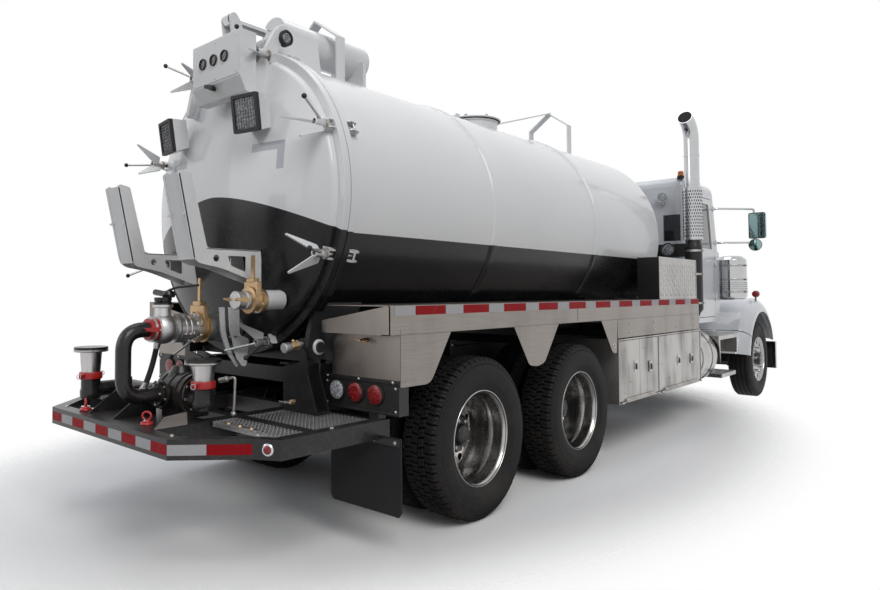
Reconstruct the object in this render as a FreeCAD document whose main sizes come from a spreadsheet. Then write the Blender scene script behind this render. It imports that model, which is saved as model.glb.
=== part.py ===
"""Three-axle tanker truck with a tipping water tank, built as separate rigid pieces.

Millimetres, +X forward, +Y left, +Z up. The origin lies on the ground, midway between
the rear bumper and the front bumper, on the truck's centre line.
"""
import FreeCAD, Part
import math
import os
import re
import Sketcher
from FreeCAD import Placement, Rotation, Vector

SIZES = {
    # wheels and axles
    "TyreRadius": 512, "TyreWidth": 279, "TyreSeat": 288, 
    "RimFlange": 302, "RimWall": 9, "RimWidth": 256,
    "DualPitch": 343, "RearTrackHalf": 921, "FrontTrackHalf": 1050,
    "RearAxleX": -2880, "BogieGap": 1368, "FrontAxleX": 3996,
    "HandHoles": 10, "HandHoleRadius": 25, "HandHoleCircle": 225,
    "RearHubRadius": 122, "RearHubReach": 150, "FrontHubRadius": 96, "FrontHubReach": 150,
    "DrumRadius": 196, "DrumWidth": 200, "SpindleRadius": 42, "RunGap": 0.3,
    "AxleTube": 70, "DiffRadius": 205, "KingPinY": 860, "KingPinRadius": 28,
    # ladder frame
    "RailTop": 1000, "RailDepth": 270, "RailHalf": 430, "RailFlange": 85, "RailWeb": 10,
    "FrameRearX": -3810, "FrameFrontX": 4640, "CrossDepth": 90, "CrossWidth": 80,
    "SpringWidth": 90, "SpringHalf": 640, "SpringOutY": 430,
    # engine and cooling
    "EngineRearX": 3000, "EngineFrontX": 4220, "EngineHalf": 300, "EngineBottomZ": 690,
    "EngineTopZ": 1600, "RadiatorX": 4480, "RadiatorDeep": 90,
    # cab
    "CabBackX": 1720, "CowlX": 2980, "CabHalf": 985, "CabFloorZ": 1060, "CabRoofZ": 2790,
    "CabWall": 40, "CabRound": 110, "BeltZ": 1960, "ScreenFootX": 2910, "ScreenTopX": 2740,
    "ScreenTopZ": 2650, "DoorRearX": 1890, "DoorFrontX": 2790, "DoorSillZ": 1120,
    "DoorTopZ": 2600, "DoorLean": 130, "DoorGap": 7, "FrameBar": 75, "GlassThick": 8, "HingeOut": 12,
    "RearLightHalf": 420, "CornerLightIn": 735, "CornerLightOut": 925,
    "RearLightLowZ": 2033, "RearLightTopZ": 2342,
    "SeatHalf": 260, "SeatY": 480, "SeatX": 2180, "WheelRingRadius": 228,
    # hood, fenders and bumper
    "HoodFrontX": 4620, "HoodRearHalf": 610, "HoodFrontHalf": 470, "HoodRearZ": 1930,
    "HoodFrontZ": 1790, "HoodLowZ": 1060, "HoodWall": 14, "HoodRound": 130, "HoodGap": 8,
    "FenderOut": 1235, "FenderCrown": 838, "FenderLip": 650, "FenderWall": 14,
    "HoodPivotX": 4665, "HoodPivotZ": 745, "HoodLugY": 330,
    "LampPodX": 4490, "LampPodY": 700, "LampPodZ": 1105,
    "BumperFrontX": 4785, "BumperHalf": 1230, "BumperLowZ": 330, "BumperTopZ": 715,
    "BumperWall": 10, "BumperDeep": 70,
    # air cleaners, stack and mirrors
    "CleanerX": 3165, "CleanerY": 1075, "CleanerRadius": 180, "CleanerLowZ": 1330,
    "CleanerTopZ": 1905,
    "StackX": 1475, "StackY": 1140, "StackRadius": 82, "ShieldRadius": 100, "StackTopZ": 3210,
    "StackBend": 150, "MufflerRadius": 90, "MufflerLowZ": 1170, "MufflerTopZ": 2010,
    "MirrorX": 3130, "MirrorY": 1400,
    # fuel tanks and steps
    "FuelRadius": 320, "FuelY": 905, "FuelZ": 700, "FuelRearX": 1340, "FuelFrontX": 1960,
    "StepX": 1990, "StepFrontX": 2780, "StepOut": 1235,
    # tank
    "TankAxisZ": 2015, "ShellRadius": 950, "ShellWall": 9, "SeamX": -3820, "TankFrontX": 950,
    "FlangeRadius": 985, "FlangeWide": 45, "HeadDepth": 270, "BandRadius": 966,
    "BandWide": 60, "BandRearX": -2270, "BandGap": 1700,
    "ManwayX": -1180, "ManwayRadius": 240, "ManwayNeck": 70, "LidRadius": 275,
    "TipPinX": -3810, "TipPinZ": 1112, "TipPinRadius": 32,
    "LugY": 680, "LugWide": 36, "LugRadius": 85,
    # rear door
    "DoorRadius": 930, "CrownDepth": 180, "CrownWall": 10, "DoorRing": 50, "DoorKnee": 30,
    "LiftPinX": -3800, "LiftPinZ": 3062, "LiftPinRadius": 26,
    "ArmY": 352, "ArmWide": 34, "EarY": 215, "EarWide": 16,
    "LiftRadius": 128, "LiftRearX": -3590, "LiftFrontX": -2750, "LiftEyeBack": 150,
    "LiftRodRadius": 30, "DoorSeal": 6,
    "HoistX": -2530, "HoistZ": 800, "HoistEyeX": -1130, "HoistEyeZ": 1005,
    "HoistRadius": 75, "HoistRam": 52, "HoistEye": 44,
    # fittings on the rear door
    "HookOut": 424, "HookIn": 266, "HookX": -4585, "HookTopZ": 2095, "GaugeX": -4180,
    "GaugeDeep": 119, "GaugeLowZ": 2620, "Clamps": 8, "ClampCircle": 955,
    # deck and boxes
    "DeckOut": 1257, "DeckIn": 790, "DeckLowZ": 1200, "DeckTopZ": 1361, "DeckRearX": -3815,
    "DeckFrontX": 1230, "DeckWall": 5, "BearerDepth": 60,
    "BoxRearX": -880, "BoxFrontX": 1270, "BoxSplitX": 50, "BoxLowZ": 481, "BoxTopZ": 1030,
    "BoxWall": 12, "BoxIn": 640, "BoxDoorGap": 6, "BoxHingeOut": 10,
    "GuardRearX": 250, "GuardFrontX": 1360, "GuardTopZ": 1780, "GuardOut": 1200, "GuardIn": 985,
    # rear platform
    "PlatTopZ": 725, "PlatDeep": 100, "PlatFrontX": -3650, "PlatSide": 1110,
    "PlatCornerX": -4415, "BumpRearX": -4785, "BumpHalf": 680, 
    "StandTopZ": 985, "LampBoxX": -3730, "LampBoxDeep": 80, "LampIn": 667, "LampOut": 1248,
    "LampLowZ": 761, "LampTopZ": 930, "LampRadius": 52, "FlapIn": 720, "FlapLowZ": 225,
    "FlapThick": 12,
}

TURN = {"x": Rotation(Vector(0, 1, 0), 90), "y": Rotation(Vector(1, 0, 0), -90), "z": Rotation()}
PLANES = {"XY": "XY_Plane", "XZ": "XZ_Plane", "YZ": "YZ_Plane"}

doc = FreeCAD.newDocument("tanker")
sheet = doc.addObject("Spreadsheet::Sheet", "Dims")
for row, (word, value) in enumerate(SIZES.items(), start=1):
    sheet.set(f"A{row}", word)
    sheet.set(f"B{row}", str(value))
    sheet.setAlias(f"B{row}", word)
doc.recompute()

nodes = []


def linked(text):
    """An expression with each size's name pointed at the sheet."""
    return re.sub(r"[A-Za-z]\w*", lambda hit: "Dims." + hit.group(0) if hit.group(0) in SIZES
                  else hit.group(0), str(text))


def bind(part, path, text):
    part.setExpression(path, linked(text))


def number(text):
    """The value that an expression has now, worked out by the sheet."""
    sheet.set("D1", "=" + str(text))
    sheet.recompute()
    return float(sheet.get("D1"))


def node(part, label):
    part.Label = label
    nodes.append(part)
    return part


def box(name, xs, ys, zs):
    part = doc.addObject("Part::Box", name)
    for axis, side, (low, high) in zip("xyz", ("Length", "Width", "Height"), (xs, ys, zs)):
        bind(part, side, f"({high}) - ({low})")
        bind(part, f"Placement.Base.{axis}", low)
    return part


def place_along(part, axis, start, centre):
    """Turn a round primitive onto an axis and put its start and centre where named."""
    part.Placement = Placement(Vector(), TURN[axis])
    spots = dict(zip([letter for letter in "xyz" if letter != axis], centre))
    spots[axis] = start
    for letter in "xyz":
        bind(part, f"Placement.Base.{letter}", spots[letter])


def rod(name, axis, radius, span, centre):
    part = doc.addObject("Part::Cylinder", name)
    bind(part, "Radius", radius)
    bind(part, "Height", f"({span[1]}) - ({span[0]})")
    place_along(part, axis, span[0], centre)
    return part


def cone(name, axis, radii, span, centre):
    part = doc.addObject("Part::Cone", name)
    bind(part, "Radius1", radii[0])
    bind(part, "Radius2", radii[1])
    bind(part, "Height", f"({span[1]}) - ({span[0]})")
    place_along(part, axis, span[0], centre)
    return part


def ring(name, axis, big, small, spot, centre):
    part = doc.addObject("Part::Torus", name)
    bind(part, "Radius1", big)
    bind(part, "Radius2", small)
    place_along(part, axis, spot, centre)
    return part


def ball(name, radius, centre):
    part = doc.addObject("Part::Sphere", name)
    bind(part, "Radius", radius)
    place_along(part, "z", centre[2], centre[:2])
    return part


def fuse(name, parts):
    joined = doc.addObject("Part::MultiFuse", name)
    joined.Shapes = parts
    joined.Refine = True
    return joined


def cut(name, base, tools):
    tools = tools if isinstance(tools, list) else [tools]
    piece = doc.addObject("Part::Cut", name)
    piece.Base = base
    piece.Tool = tools[0] if len(tools) == 1 else fuse(name + "_away", tools)
    return piece


def group(name, parts):
    """Solids of one node that do not touch each other."""
    pieces = doc.addObject("Part::Compound", name)
    pieces.Links = parts
    return pieces


def mirrored(name, part):
    twin = doc.addObject("Part::Mirroring", name)
    twin.Source = part
    twin.Normal = Vector(0, 1, 0)
    twin.Base = Vector()
    return twin


def pair(name, part):
    return group(name, [part, mirrored(name + "_twin", part)])


def sketch_on(body, plane, points):
    """A closed outline whose corners are bound to the sheet. A corner with three entries
    ends an arc whose radius is the third one."""
    sketch = body.newObject("Sketcher::SketchObject", body.Name + "_outline")
    origin = [item for item in body.Origin.OriginFeatures if item.Role == PLANES[plane]][0]
    sketch.AttachmentSupport = [(origin, "")]
    sketch.MapMode = "FlatFace"
    spots = [Vector(number(point[0]), number(point[1]), 0) for point in points]
    for index, point in enumerate(points):
        before = spots[index - 1]
        here = spots[index]
        if len(point) == 3:
            radius = number(point[2])
            chord = here - before
            side = Vector(-chord.y, chord.x, 0).normalize() * math.copysign(1, radius)
            sag = abs(radius) - math.sqrt(radius ** 2 - (chord.Length / 2) ** 2)
            middle = (before + here) / 2 + side * sag
            first, last = (here, before) if radius > 0 else (before, here)
            sketch.addGeometry(Part.Arc(first, middle, last))
        else:
            sketch.addGeometry(Part.LineSegment(before, here))
    for index, point in enumerate(points):
        curve = sketch.Geometry[index]
        end = 2 if (curve.EndPoint - spots[index]).Length < 1e-6 else 1
        following = (index + 1) % len(points)
        next_curve = sketch.Geometry[following]
        start = 1 if (next_curve.StartPoint - spots[index]).Length < 1e-6 else 2
        sketch.addConstraint(Sketcher.Constraint("Coincident", index, end, following, start))
        for kind, where in (("DistanceX", spots[index].x), ("DistanceY", spots[index].y)):
            made = sketch.addConstraint(Sketcher.Constraint(kind, -1, 1, index, end, where))
            text = point[0] if kind == "DistanceX" else point[1]
            sketch.setExpression(f"Constraints[{made}]", linked(text))
        if len(point) == 3:
            radius = abs(number(point[2]))
            made = sketch.addConstraint(Sketcher.Constraint("Radius", index, radius))
            sketch.setExpression(f"Constraints[{made}]", linked(f"abs({point[2]})"))
    return sketch


def slab(name, plane, points, span):
    """A flat outline padded between two stations along the axis it faces."""
    body = doc.addObject("PartDesign::Body", name)
    sketch = sketch_on(body, plane, points)
    pad = body.newObject("PartDesign::Pad", name + "_pad")
    pad.Profile = sketch
    bind(pad, "Length", f"({span[1]}) - ({span[0]})")
    axis = {"XY": "z", "XZ": "y", "YZ": "x"}[plane]
    bind(body, f"Placement.Base.{axis}", span[1] if plane == "XZ" else span[0])
    return body


def lathe(name, axis, points, centre):
    """An outline of (along, radius) corners turned about an axis."""
    body = doc.addObject("PartDesign::Body", name)
    if axis == "x":
        sketch = sketch_on(body, "XZ", points)
    else:
        turned = [(point[1], point[0], f"-({point[2]})") if len(point) == 3 else
                  (point[1], point[0]) for point in points]
        sketch = sketch_on(body, "XY" if axis == "y" else "XZ", turned)
    spin = body.newObject("PartDesign::Revolution", name + "_spin")
    spin.Profile = sketch
    spin.ReferenceAxis = (sketch, ["H_Axis"] if axis == "x" else ["V_Axis"])
    spin.Angle = 360
    for letter, spot in zip("xyz", centre):
        bind(body, f"Placement.Base.{letter}", spot)
    return body


def rounded(body, radius, pick):
    """Round those edges of a body that pick chooses by their shape."""
    doc.recompute()
    tip = body.Tip
    names = [f"Edge{index}" for index, edge in enumerate(tip.Shape.Edges, start=1) if pick(edge)]
    fillet = body.newObject("PartDesign::Fillet", body.Name + f"_round{len(body.Group)}")
    fillet.Base = (tip, names)
    bind(fillet, "Radius", radius)
    body.Tip = fillet
    return body


def runs_along(edge, axis):
    """True for a straight edge that lies along the named axis."""
    if not isinstance(edge.Curve, Part.Line):
        return False
    step = edge.Vertexes[-1].Point - edge.Vertexes[0].Point
    return abs(abs(getattr(step, axis)) - step.Length) < 1e-3


def hose(name, points, radius, bend):
    """A round tube along straight runs joined by arcs, for what has no flat outline."""
    corners = [Vector(*[number(value) for value in point]) for point in points]
    edges = []
    start = corners[0]
    for before, here, after in zip(corners, corners[1:], corners[2:]):
        way_in = (here - before).normalize()
        way_out = (after - here).normalize()
        turn = way_in.getAngle(way_out)
        back = number(bend) * math.tan(turn / 2)
        first = here - way_in * back
        last = here + way_out * back
        toward = (way_out - way_in).normalize()
        middle = here + toward * number(bend) * (1 / math.cos(turn / 2) - 1)
        edges += [Part.LineSegment(start, first).toShape(), Part.Arc(first, middle, last).toShape()]
        start = last
    edges.append(Part.LineSegment(start, corners[-1]).toShape())
    path = Part.Wire(edges)
    section = Part.Wire(Part.makeCircle(number(radius), corners[0],
                                        (corners[1] - corners[0]).normalize()))
    part = doc.addObject("Part::Feature", name)
    part.Shape = path.makePipeShell([section], True, False)
    return part


def frame_rails():
    inner = "RailHalf - RailWeb"
    lip = "RailTop - RailWeb"
    foot = "RailTop - RailDepth"
    channel = slab("rail_right", "YZ", [
        ("-RailHalf", "RailTop"), ("-RailHalf", foot), ("-RailHalf + RailFlange", foot),
        ("-RailHalf + RailFlange", f"{foot} + RailWeb"), (f"-({inner})", f"{foot} + RailWeb"),
        (f"-({inner})", lip), ("-RailHalf + RailFlange", lip),
        ("-RailHalf + RailFlange", "RailTop")], ("FrameRearX", "FrameFrontX"))
    members = [channel, mirrored("rail_left", channel)]
    stations = ["FrameRearX", "HoistX - 60 - CrossWidth",
                "RearAxleX + BogieGap + 520", "BoxRearX + 560", "CabBackX - 200",
                "FrameFrontX - CrossWidth"]
    for index, spot in enumerate(stations):
        members.append(box(f"cross_{index}", (spot, f"{spot} + CrossWidth"),
                           (f"-({inner})", inner), (f"{lip} - 20 - CrossDepth", f"{lip} - 20")))
    members.append(rod("hoist_pin", "y", "25", ("-HoistEye - 26", "HoistEye + 26"), ("HoistX", "HoistZ")))
    for index, (low, high) in enumerate((("-HoistEye - 24", "-HoistEye - 8"),
                                         ("HoistEye + 8", "HoistEye + 24"))):
        members.append(slab(f"hoist_base_ear_{index}", "XZ", [
            ("HoistX - 60", f"{lip} - 20"), ("HoistX - 60", "HoistZ - 45"), ("HoistX + 40", "HoistZ - 45"),
            ("HoistX + 40", "HoistZ + 20"), ("HoistX + 20", "HoistZ + 40"), ("HoistX - 30", "HoistZ + 52"),
            ("HoistX - 48", "HoistZ + 80"), ("HoistX - 48", f"{lip} - 20")], (low, high)))
    for index, spot in enumerate(["CabBackX + 60", "CowlX - 170"]):
        foot_pad = box(f"cab_mount_{index}", (spot, f"{spot} + 110"),
                       ("-RailHalf", "-RailHalf + RailFlange"), ("RailTop", "CabFloorZ"))
        members += [foot_pad, mirrored(f"cab_mount_{index}_left", foot_pad)]
    return node(fuse("frame_rails", members), "frame_rails")


def front_suspension():
    beam = slab("front_beam", "YZ", [
        ("-KingPinY + 45", "TyreRadius - 60"), ("-KingPinY + 45", "TyreRadius + 60"),
        ("-KingPinY + 110", "TyreRadius + 60"), ("-SpringOutY - 40", "TyreRadius - 20"),
        ("SpringOutY + 40", "TyreRadius - 20"), ("KingPinY - 110", "TyreRadius + 60"),
        ("KingPinY - 45", "TyreRadius + 60"), ("KingPinY - 45", "TyreRadius - 60"),
        ("KingPinY - 130", "TyreRadius - 60"), ("SpringOutY + 60", "TyreRadius - 110"),
        ("-SpringOutY - 60", "TyreRadius - 110"), ("-KingPinY + 130", "TyreRadius - 60")],
        ("FrontAxleX - 55", "FrontAxleX + 55"))
    eye = rod("pin_boss", "z", "KingPinRadius + 26", ("TyreRadius - 60", "TyreRadius + 60"),
              ("FrontAxleX", "-KingPinY"))
    eye_left = mirrored("pin_boss_left", eye)
    bores = rod("pin_bore", "z", "KingPinRadius + RunGap", ("TyreRadius - 70", "TyreRadius + 70"),
                ("FrontAxleX", "-KingPinY"))
    axle = cut("front_axle", fuse("front_axle_forged", [beam, eye, eye_left]),
               [bores, mirrored("pin_bore_left", bores)])
    spring = slab("spring_pack", "XZ", [
        ("FrontAxleX - SpringHalf", "RailTop - RailDepth - 62"),
        ("FrontAxleX - SpringHalf", "RailTop - RailDepth - 40"),
        ("FrontAxleX", "TyreRadius + 42"),
        ("FrontAxleX + SpringHalf", "RailTop - RailDepth - 40"),
        ("FrontAxleX + SpringHalf", "RailTop - RailDepth - 62"),
        ("FrontAxleX + 90", "TyreRadius - 20"), ("FrontAxleX - 90", "TyreRadius - 20")],
        ("-SpringOutY", "-SpringOutY + SpringWidth"))
    parts = [axle, spring, mirrored("spring_pack_left", spring)]
    for index, spot in enumerate(("FrontAxleX - SpringHalf", "FrontAxleX + SpringHalf - 60")):
        hanger = box(f"hanger_{index}", (spot, f"{spot} + 60"),
                     ("-SpringOutY", "-SpringOutY + SpringWidth"),
                     ("RailTop - RailDepth - 45", "RailTop - RailDepth"))
        parts += [hanger, mirrored(f"hanger_{index}_left", hanger)]
    return node(fuse("front_suspension", parts), "front_suspension")


def knuckle(side, sign):
    """Kingpin, upright and wheel spindle of one steered wheel."""
    def across(low, high):
        return (low, high) if sign > 0 else (f"-({high})", f"-({low})")
    hub_end = "FrontTrackHalf + FrontHubReach - 110"
    pin = rod(f"king_{side}", "z", "KingPinRadius", ("TyreRadius - 105", "TyreRadius + 105"),
              ("FrontAxleX", f"{sign} * KingPinY"))
    yoke_plate = box(f"yoke_{side}", ("FrontAxleX - 40", "FrontAxleX + 40"),
                     across("KingPinY + 60", "KingPinY + 88"), ("TyreRadius - 105", "TyreRadius + 105"))
    ears = [box(f"yoke_ear_{side}_{index}", ("FrontAxleX - 40", "FrontAxleX + 40"),
                across("KingPinY - 34", "KingPinY + 88"), (low, high))
            for index, (low, high) in enumerate((("TyreRadius - 105", "TyreRadius - 65"),
                                                 ("TyreRadius + 65", "TyreRadius + 105")))]
    spindle = rod(f"stub_{side}", "y", "SpindleRadius", across("KingPinY + 60", hub_end),
                  ("FrontAxleX", "TyreRadius"))
    arm = box(f"steer_arm_{side}", ("FrontAxleX - 190", "FrontAxleX - 30"),
              across("KingPinY - 30", "KingPinY + 10"), ("TyreRadius - 105", "TyreRadius - 75"))
    return node(fuse(f"knuckle_{side}", [pin, yoke_plate, spindle, arm] + ears), f"knuckle_{side}")


def tyre_outline(middle):
    """Half section of a tyre: (along the axle, radius) corners round its body."""
    half = "TyreWidth / 2"
    return [(f"{middle} - 96", "TyreSeat"), (f"{middle} - {half} + 18", "TyreSeat + 55"),
            (f"{middle} - {half}", "TyreSeat + 118"), (f"{middle} - {half} + 16", "TyreRadius - 32"),
            (f"{middle} - {half} + 34", "TyreRadius - 6"), (f"{middle} - 40", "TyreRadius"),
            (f"{middle} + 40", "TyreRadius"), (f"{middle} + {half} - 34", "TyreRadius - 6"),
            (f"{middle} + {half} - 16", "TyreRadius - 32"), (f"{middle} + {half}", "TyreSeat + 118"),
            (f"{middle} + {half} - 18", "TyreSeat + 55"), (f"{middle} + 96", "TyreSeat")]


def hand_holes(name, axle_x, span):
    """The ring of round hand holes through a wheel's disc."""
    holes = []
    count = int(number("HandHoles"))
    for index in range(count):
        turn = 360 * index / count
        spot = (f"{axle_x} + HandHoleCircle * cos({turn} deg)",
                f"TyreRadius + HandHoleCircle * sin({turn} deg)")
        holes.append(rod(f"{name}_hole_{index}", "y", "HandHoleRadius", span, spot))
    return holes


def front_wheel(side, sign):
    axle = ("FrontAxleX", f"{sign} * FrontTrackHalf", "TyreRadius")
    tyre = lathe(f"tyre_front_{side}", "y", tyre_outline("0"), axle)
    node(tyre, f"tyre_front_{side}")
    out = sign
    lip = "(RimWidth / 2)"
    seat = "TyreSeat - RunGap"
    rim = lathe(f"rim_front_{side}_turned", "y", [
        (f"{out} * {lip}", "RimFlange"), (f"{out} * {lip}", "RimFlange - RimWall"),
        (f"{out} * ({lip} - 18)", f"{seat} - RimWall"), (f"{out} * 60", f"{seat} - RimWall"),
        (f"{out} * 92", "HandHoleCircle + 22"), (f"{out} * 106", "HandHoleCircle - 40"),
        (f"{out} * 106", "FrontHubRadius + 8"), (f"{out} * 112", "FrontHubRadius"),
        (f"{out} * FrontHubReach", "FrontHubRadius - 20"),
        (f"{out} * (FrontHubReach + 8)", "0"), (f"{out} * (FrontHubReach - 100)", "0"),
        (f"{out} * (FrontHubReach - 100)", "SpindleRadius + RunGap"),
        (f"{out} * -70", "SpindleRadius + RunGap"), (f"{out} * -70", "FrontHubRadius - 20"),
        (f"{out} * 84", "FrontHubRadius"), (f"{out} * 84", "HandHoleCircle - 40"),
        (f"{out} * 76", "HandHoleCircle + 14"), (f"{out} * 30", f"{seat} - RimWall"),
        (f"{out} * (18 - {lip})", f"{seat} - RimWall"), (f"{out} * -{lip}", "RimFlange - RimWall"),
        (f"{out} * -{lip}", "RimFlange"), (f"{out} * (28 - {lip})", seat),
        (f"{out} * ({lip} - 28)", seat)], axle)
    span = ("FrontTrackHalf + 20", "FrontTrackHalf + 140") if sign > 0 else (
        "-FrontTrackHalf - 140", "-FrontTrackHalf - 20")
    node(cut(f"rim_front_{side}", rim, hand_holes(f"rim_front_{side}", "FrontAxleX", span)),
         f"rim_front_{side}")


def rear_wheels(spot, axle_x, side, sign):
    """One dual set: two tyres, both rims, brake drum and hub as a single turning body."""
    axle = (axle_x, f"{sign} * RearTrackHalf", "TyreRadius")
    name = f"{spot}_{side}"
    tyres = [lathe(f"tyre_{name}_{index}", "y", tyre_outline(f"{shift} * DualPitch / 2"), axle)
             for index, shift in enumerate((-1, 1))]
    node(group(f"tyres_{name}", tyres), f"tyres_{name}")
    out = sign
    seat = "TyreSeat - RunGap"
    lip = "(DualPitch / 2 + RimWidth / 2 - 10)"
    rim = lathe(f"rims_{name}_turned", "y", [
        (f"{out} * {lip}", "RimFlange"), (f"{out} * {lip}", "RimFlange - RimWall"),
        (f"{out} * (DualPitch / 2 + 98)", f"{seat} - RimWall"),
        (f"{out} * 60", f"{seat} - RimWall - 6"), (f"{out} * 26", "HandHoleCircle + 30"),
        (f"{out} * 14", "HandHoleCircle - 40"), (f"{out} * 14", "RearHubRadius + 6"),
        (f"{out} * 40", "RearHubRadius"), (f"{out} * RearHubReach", "RearHubRadius - 14"),
        (f"{out} * (RearHubReach + 10)", "RearHubRadius - 40"),
        (f"{out} * (RearHubReach + 10)", "0"), (f"{out} * (RearHubReach - 40)", "0"),
        (f"{out} * (RearHubReach - 40)", "AxleTube - 10 + RunGap"),
        (f"{out} * -220", "AxleTube - 10 + RunGap"), (f"{out} * -220", "RearHubRadius - 20"),
        (f"{out} * -90", "RearHubRadius - 20"), (f"{out} * -90", "DrumRadius - 16"),
        (f"{out} * (-90 - DrumWidth)", "DrumRadius - 16"), (f"{out} * (-90 - DrumWidth)", "DrumRadius"),
        (f"{out} * -80", "DrumRadius"), (f"{out} * -14", "HandHoleCircle - 45"),
        (f"{out} * -26", "HandHoleCircle + 30"), (f"{out} * -60", f"{seat} - RimWall - 6"),
        (f"{out} * -(DualPitch / 2 + 98)", f"{seat} - RimWall"),
        (f"{out} * -{lip}", "RimFlange - RimWall"), (f"{out} * -{lip}", "RimFlange"),
        (f"{out} * -(DualPitch / 2 + 96)", seat), (f"{out} * -(DualPitch / 2 - 96)", seat),
        (f"{out} * -(DualPitch / 2 - 112)", "RimFlange - 6"),
        (f"{out} * (DualPitch / 2 - 112)", "RimFlange - 6"),
        (f"{out} * (DualPitch / 2 - 96)", seat), (f"{out} * (DualPitch / 2 + 96)", seat)], axle)
    span = ("RearTrackHalf - 60", "RearTrackHalf + 60") if sign > 0 else (
        "-RearTrackHalf - 60", "-RearTrackHalf + 60")
    node(cut(f"rims_{name}", rim, hand_holes(f"rims_{name}", axle_x, span)), f"rims_{name}")


def rear_bogie():
    parts = []
    for index, axle_x in enumerate(("RearAxleX", "RearAxleX + BogieGap")):
        tube_end = "RearTrackHalf + RearHubReach - 60"
        parts.append(rod(f"axle_{index}", "y", "AxleTube - 10", (f"-({tube_end})", tube_end),
                         (axle_x, "TyreRadius")))
        parts.append(rod(f"axle_case_{index}", "y", "AxleTube + 12",
                         ("-RearTrackHalf + 300", "RearTrackHalf - 300"), (axle_x, "TyreRadius")))
        parts.append(ball(f"diff_{index}", "DiffRadius", (axle_x, "0", "TyreRadius")))
        parts.append(cone(f"pinion_{index}", "x", ("DiffRadius - 70", "60"),
                          (f"{axle_x} + 120", f"{axle_x} + 330"), ("0", "TyreRadius")))
    beam = slab("walking_beam", "XZ", [
        ("RearAxleX - 90", "TyreRadius - 70"), ("RearAxleX - 90", "TyreRadius + 60"),
        ("RearAxleX + 130", "TyreRadius + 60"), ("RearAxleX + BogieGap / 2 - 90", "TyreRadius + 20"),
        ("RearAxleX + BogieGap / 2 + 90", "TyreRadius + 20"),
        ("RearAxleX + BogieGap - 130", "TyreRadius + 60"), ("RearAxleX + BogieGap + 90", "TyreRadius + 60"),
        ("RearAxleX + BogieGap + 90", "TyreRadius - 70"),
        ("RearAxleX + BogieGap / 2 + 110", "TyreRadius - 130"),
        ("RearAxleX + BogieGap / 2 - 110", "TyreRadius - 130")], ("-RailHalf - 40", "-RailHalf + 35"))
    hanger = slab("bogie_hanger", "XZ", [
        ("RearAxleX + BogieGap / 2 - 80", "TyreRadius"), ("RearAxleX + BogieGap / 2 - 190", "RailTop - RailDepth"),
        ("RearAxleX + BogieGap / 2 + 190", "RailTop - RailDepth"),
        ("RearAxleX + BogieGap / 2 + 80", "TyreRadius")], ("-RailHalf", "-RailHalf + 30"))
    parts += [beam, mirrored("walking_beam_left", beam), hanger, mirrored("bogie_hanger_left", hanger)]
    shaft = hose("drive_shaft", [("RearAxleX + BogieGap + 320", "0", "TyreRadius"),
                                 ("EngineRearX - 704", "0", "EngineBottomZ + 70")], "50", "1")
    short = rod("inter_shaft", "x", "45", ("RearAxleX + 325", "RearAxleX + BogieGap - 150"),
                ("0", "TyreRadius"))
    parts += [shaft, short]
    return node(fuse("rear_bogie", parts), "rear_bogie")


def engine_radiator():
    block = box("engine_block", ("EngineRearX", "EngineFrontX"), ("-EngineHalf", "EngineHalf"),
                ("EngineBottomZ", "EngineTopZ"))
    bell = cone("gearbox", "x", ("110", "210"), ("EngineRearX - 700", "EngineRearX"),
                ("0", "EngineBottomZ + 70"))
    core = box("radiator", ("RadiatorX", "RadiatorX + RadiatorDeep"), ("-RailHalf + 35", "RailHalf - 35"),
               ("RailTop", "HoodFrontZ - 90"))
    fan = rod("fan_hub", "x", "60", ("EngineFrontX", "RadiatorX"), ("0", "1280"))
    feet = box("engine_feet", ("EngineRearX + 300", "EngineRearX + 420"),
               ("-RailHalf + RailWeb", "RailHalf - RailWeb"), ("RailTop - 180", "RailTop - 60"))
    return node(fuse("engine_radiator", [block, bell, core, fan, feet]), "engine_radiator")


def cab_block(name, inset):
    """The cab's outline across its width, set in by a wall's thickness, with round edges."""
    body = slab(name, "XZ", [
        (f"CabBackX + {inset}", f"CabFloorZ + {inset}"), (f"CabBackX + {inset}", f"CabRoofZ - {inset}"),
        (f"ScreenTopX - 60 - {inset}", f"CabRoofZ - {inset}"),
        (f"ScreenTopX - {inset}", f"ScreenTopZ - {inset} / 2"),
        (f"ScreenFootX - {inset}", f"BeltZ - {inset}"), (f"CowlX - {inset}", f"BeltZ - 25 - {inset}"),
        (f"CowlX - {inset}", f"CabFloorZ + {inset}")],
        (f"-CabHalf + {inset}", f"CabHalf - {inset}"))
    top = number(f"CabRoofZ - {inset}")
    back = number(f"CabBackX + {inset}")
    def roof_or_corner(edge):
        ends = [vertex.Point for vertex in edge.Vertexes]
        high = all(abs(end.z - top) < 1 for end in ends)
        corner = runs_along(edge, "z") and all(abs(end.x - back) < 1 for end in ends)
        return high or corner
    return rounded(body, f"CabRound - {inset}", roof_or_corner)


def door_outline(gap):
    return [(f"DoorRearX + {gap}", f"DoorSillZ + {gap}"), (f"DoorRearX + {gap}", f"DoorTopZ - {gap}"),
            (f"DoorFrontX - DoorLean - {gap}", f"DoorTopZ - {gap}"),
            (f"DoorFrontX - {gap}", f"BeltZ + 60"), (f"DoorFrontX - {gap}", f"DoorSillZ + {gap}")]


def door_window(inset):
    bar = f"(FrameBar + {inset})"
    return [(f"DoorRearX + {bar}", f"BeltZ + 10 + {inset}"), (f"DoorRearX + {bar}", f"DoorTopZ - {bar}"),
            (f"DoorFrontX - DoorLean - {bar}", f"DoorTopZ - {bar}"),
            (f"DoorFrontX - {bar} - 12", f"BeltZ + 10 + {inset}")]


def rectangle(lows, highs):
    return [(lows[0], lows[1]), (highs[0], lows[1]), (highs[0], highs[1]), (lows[0], highs[1])]


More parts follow.
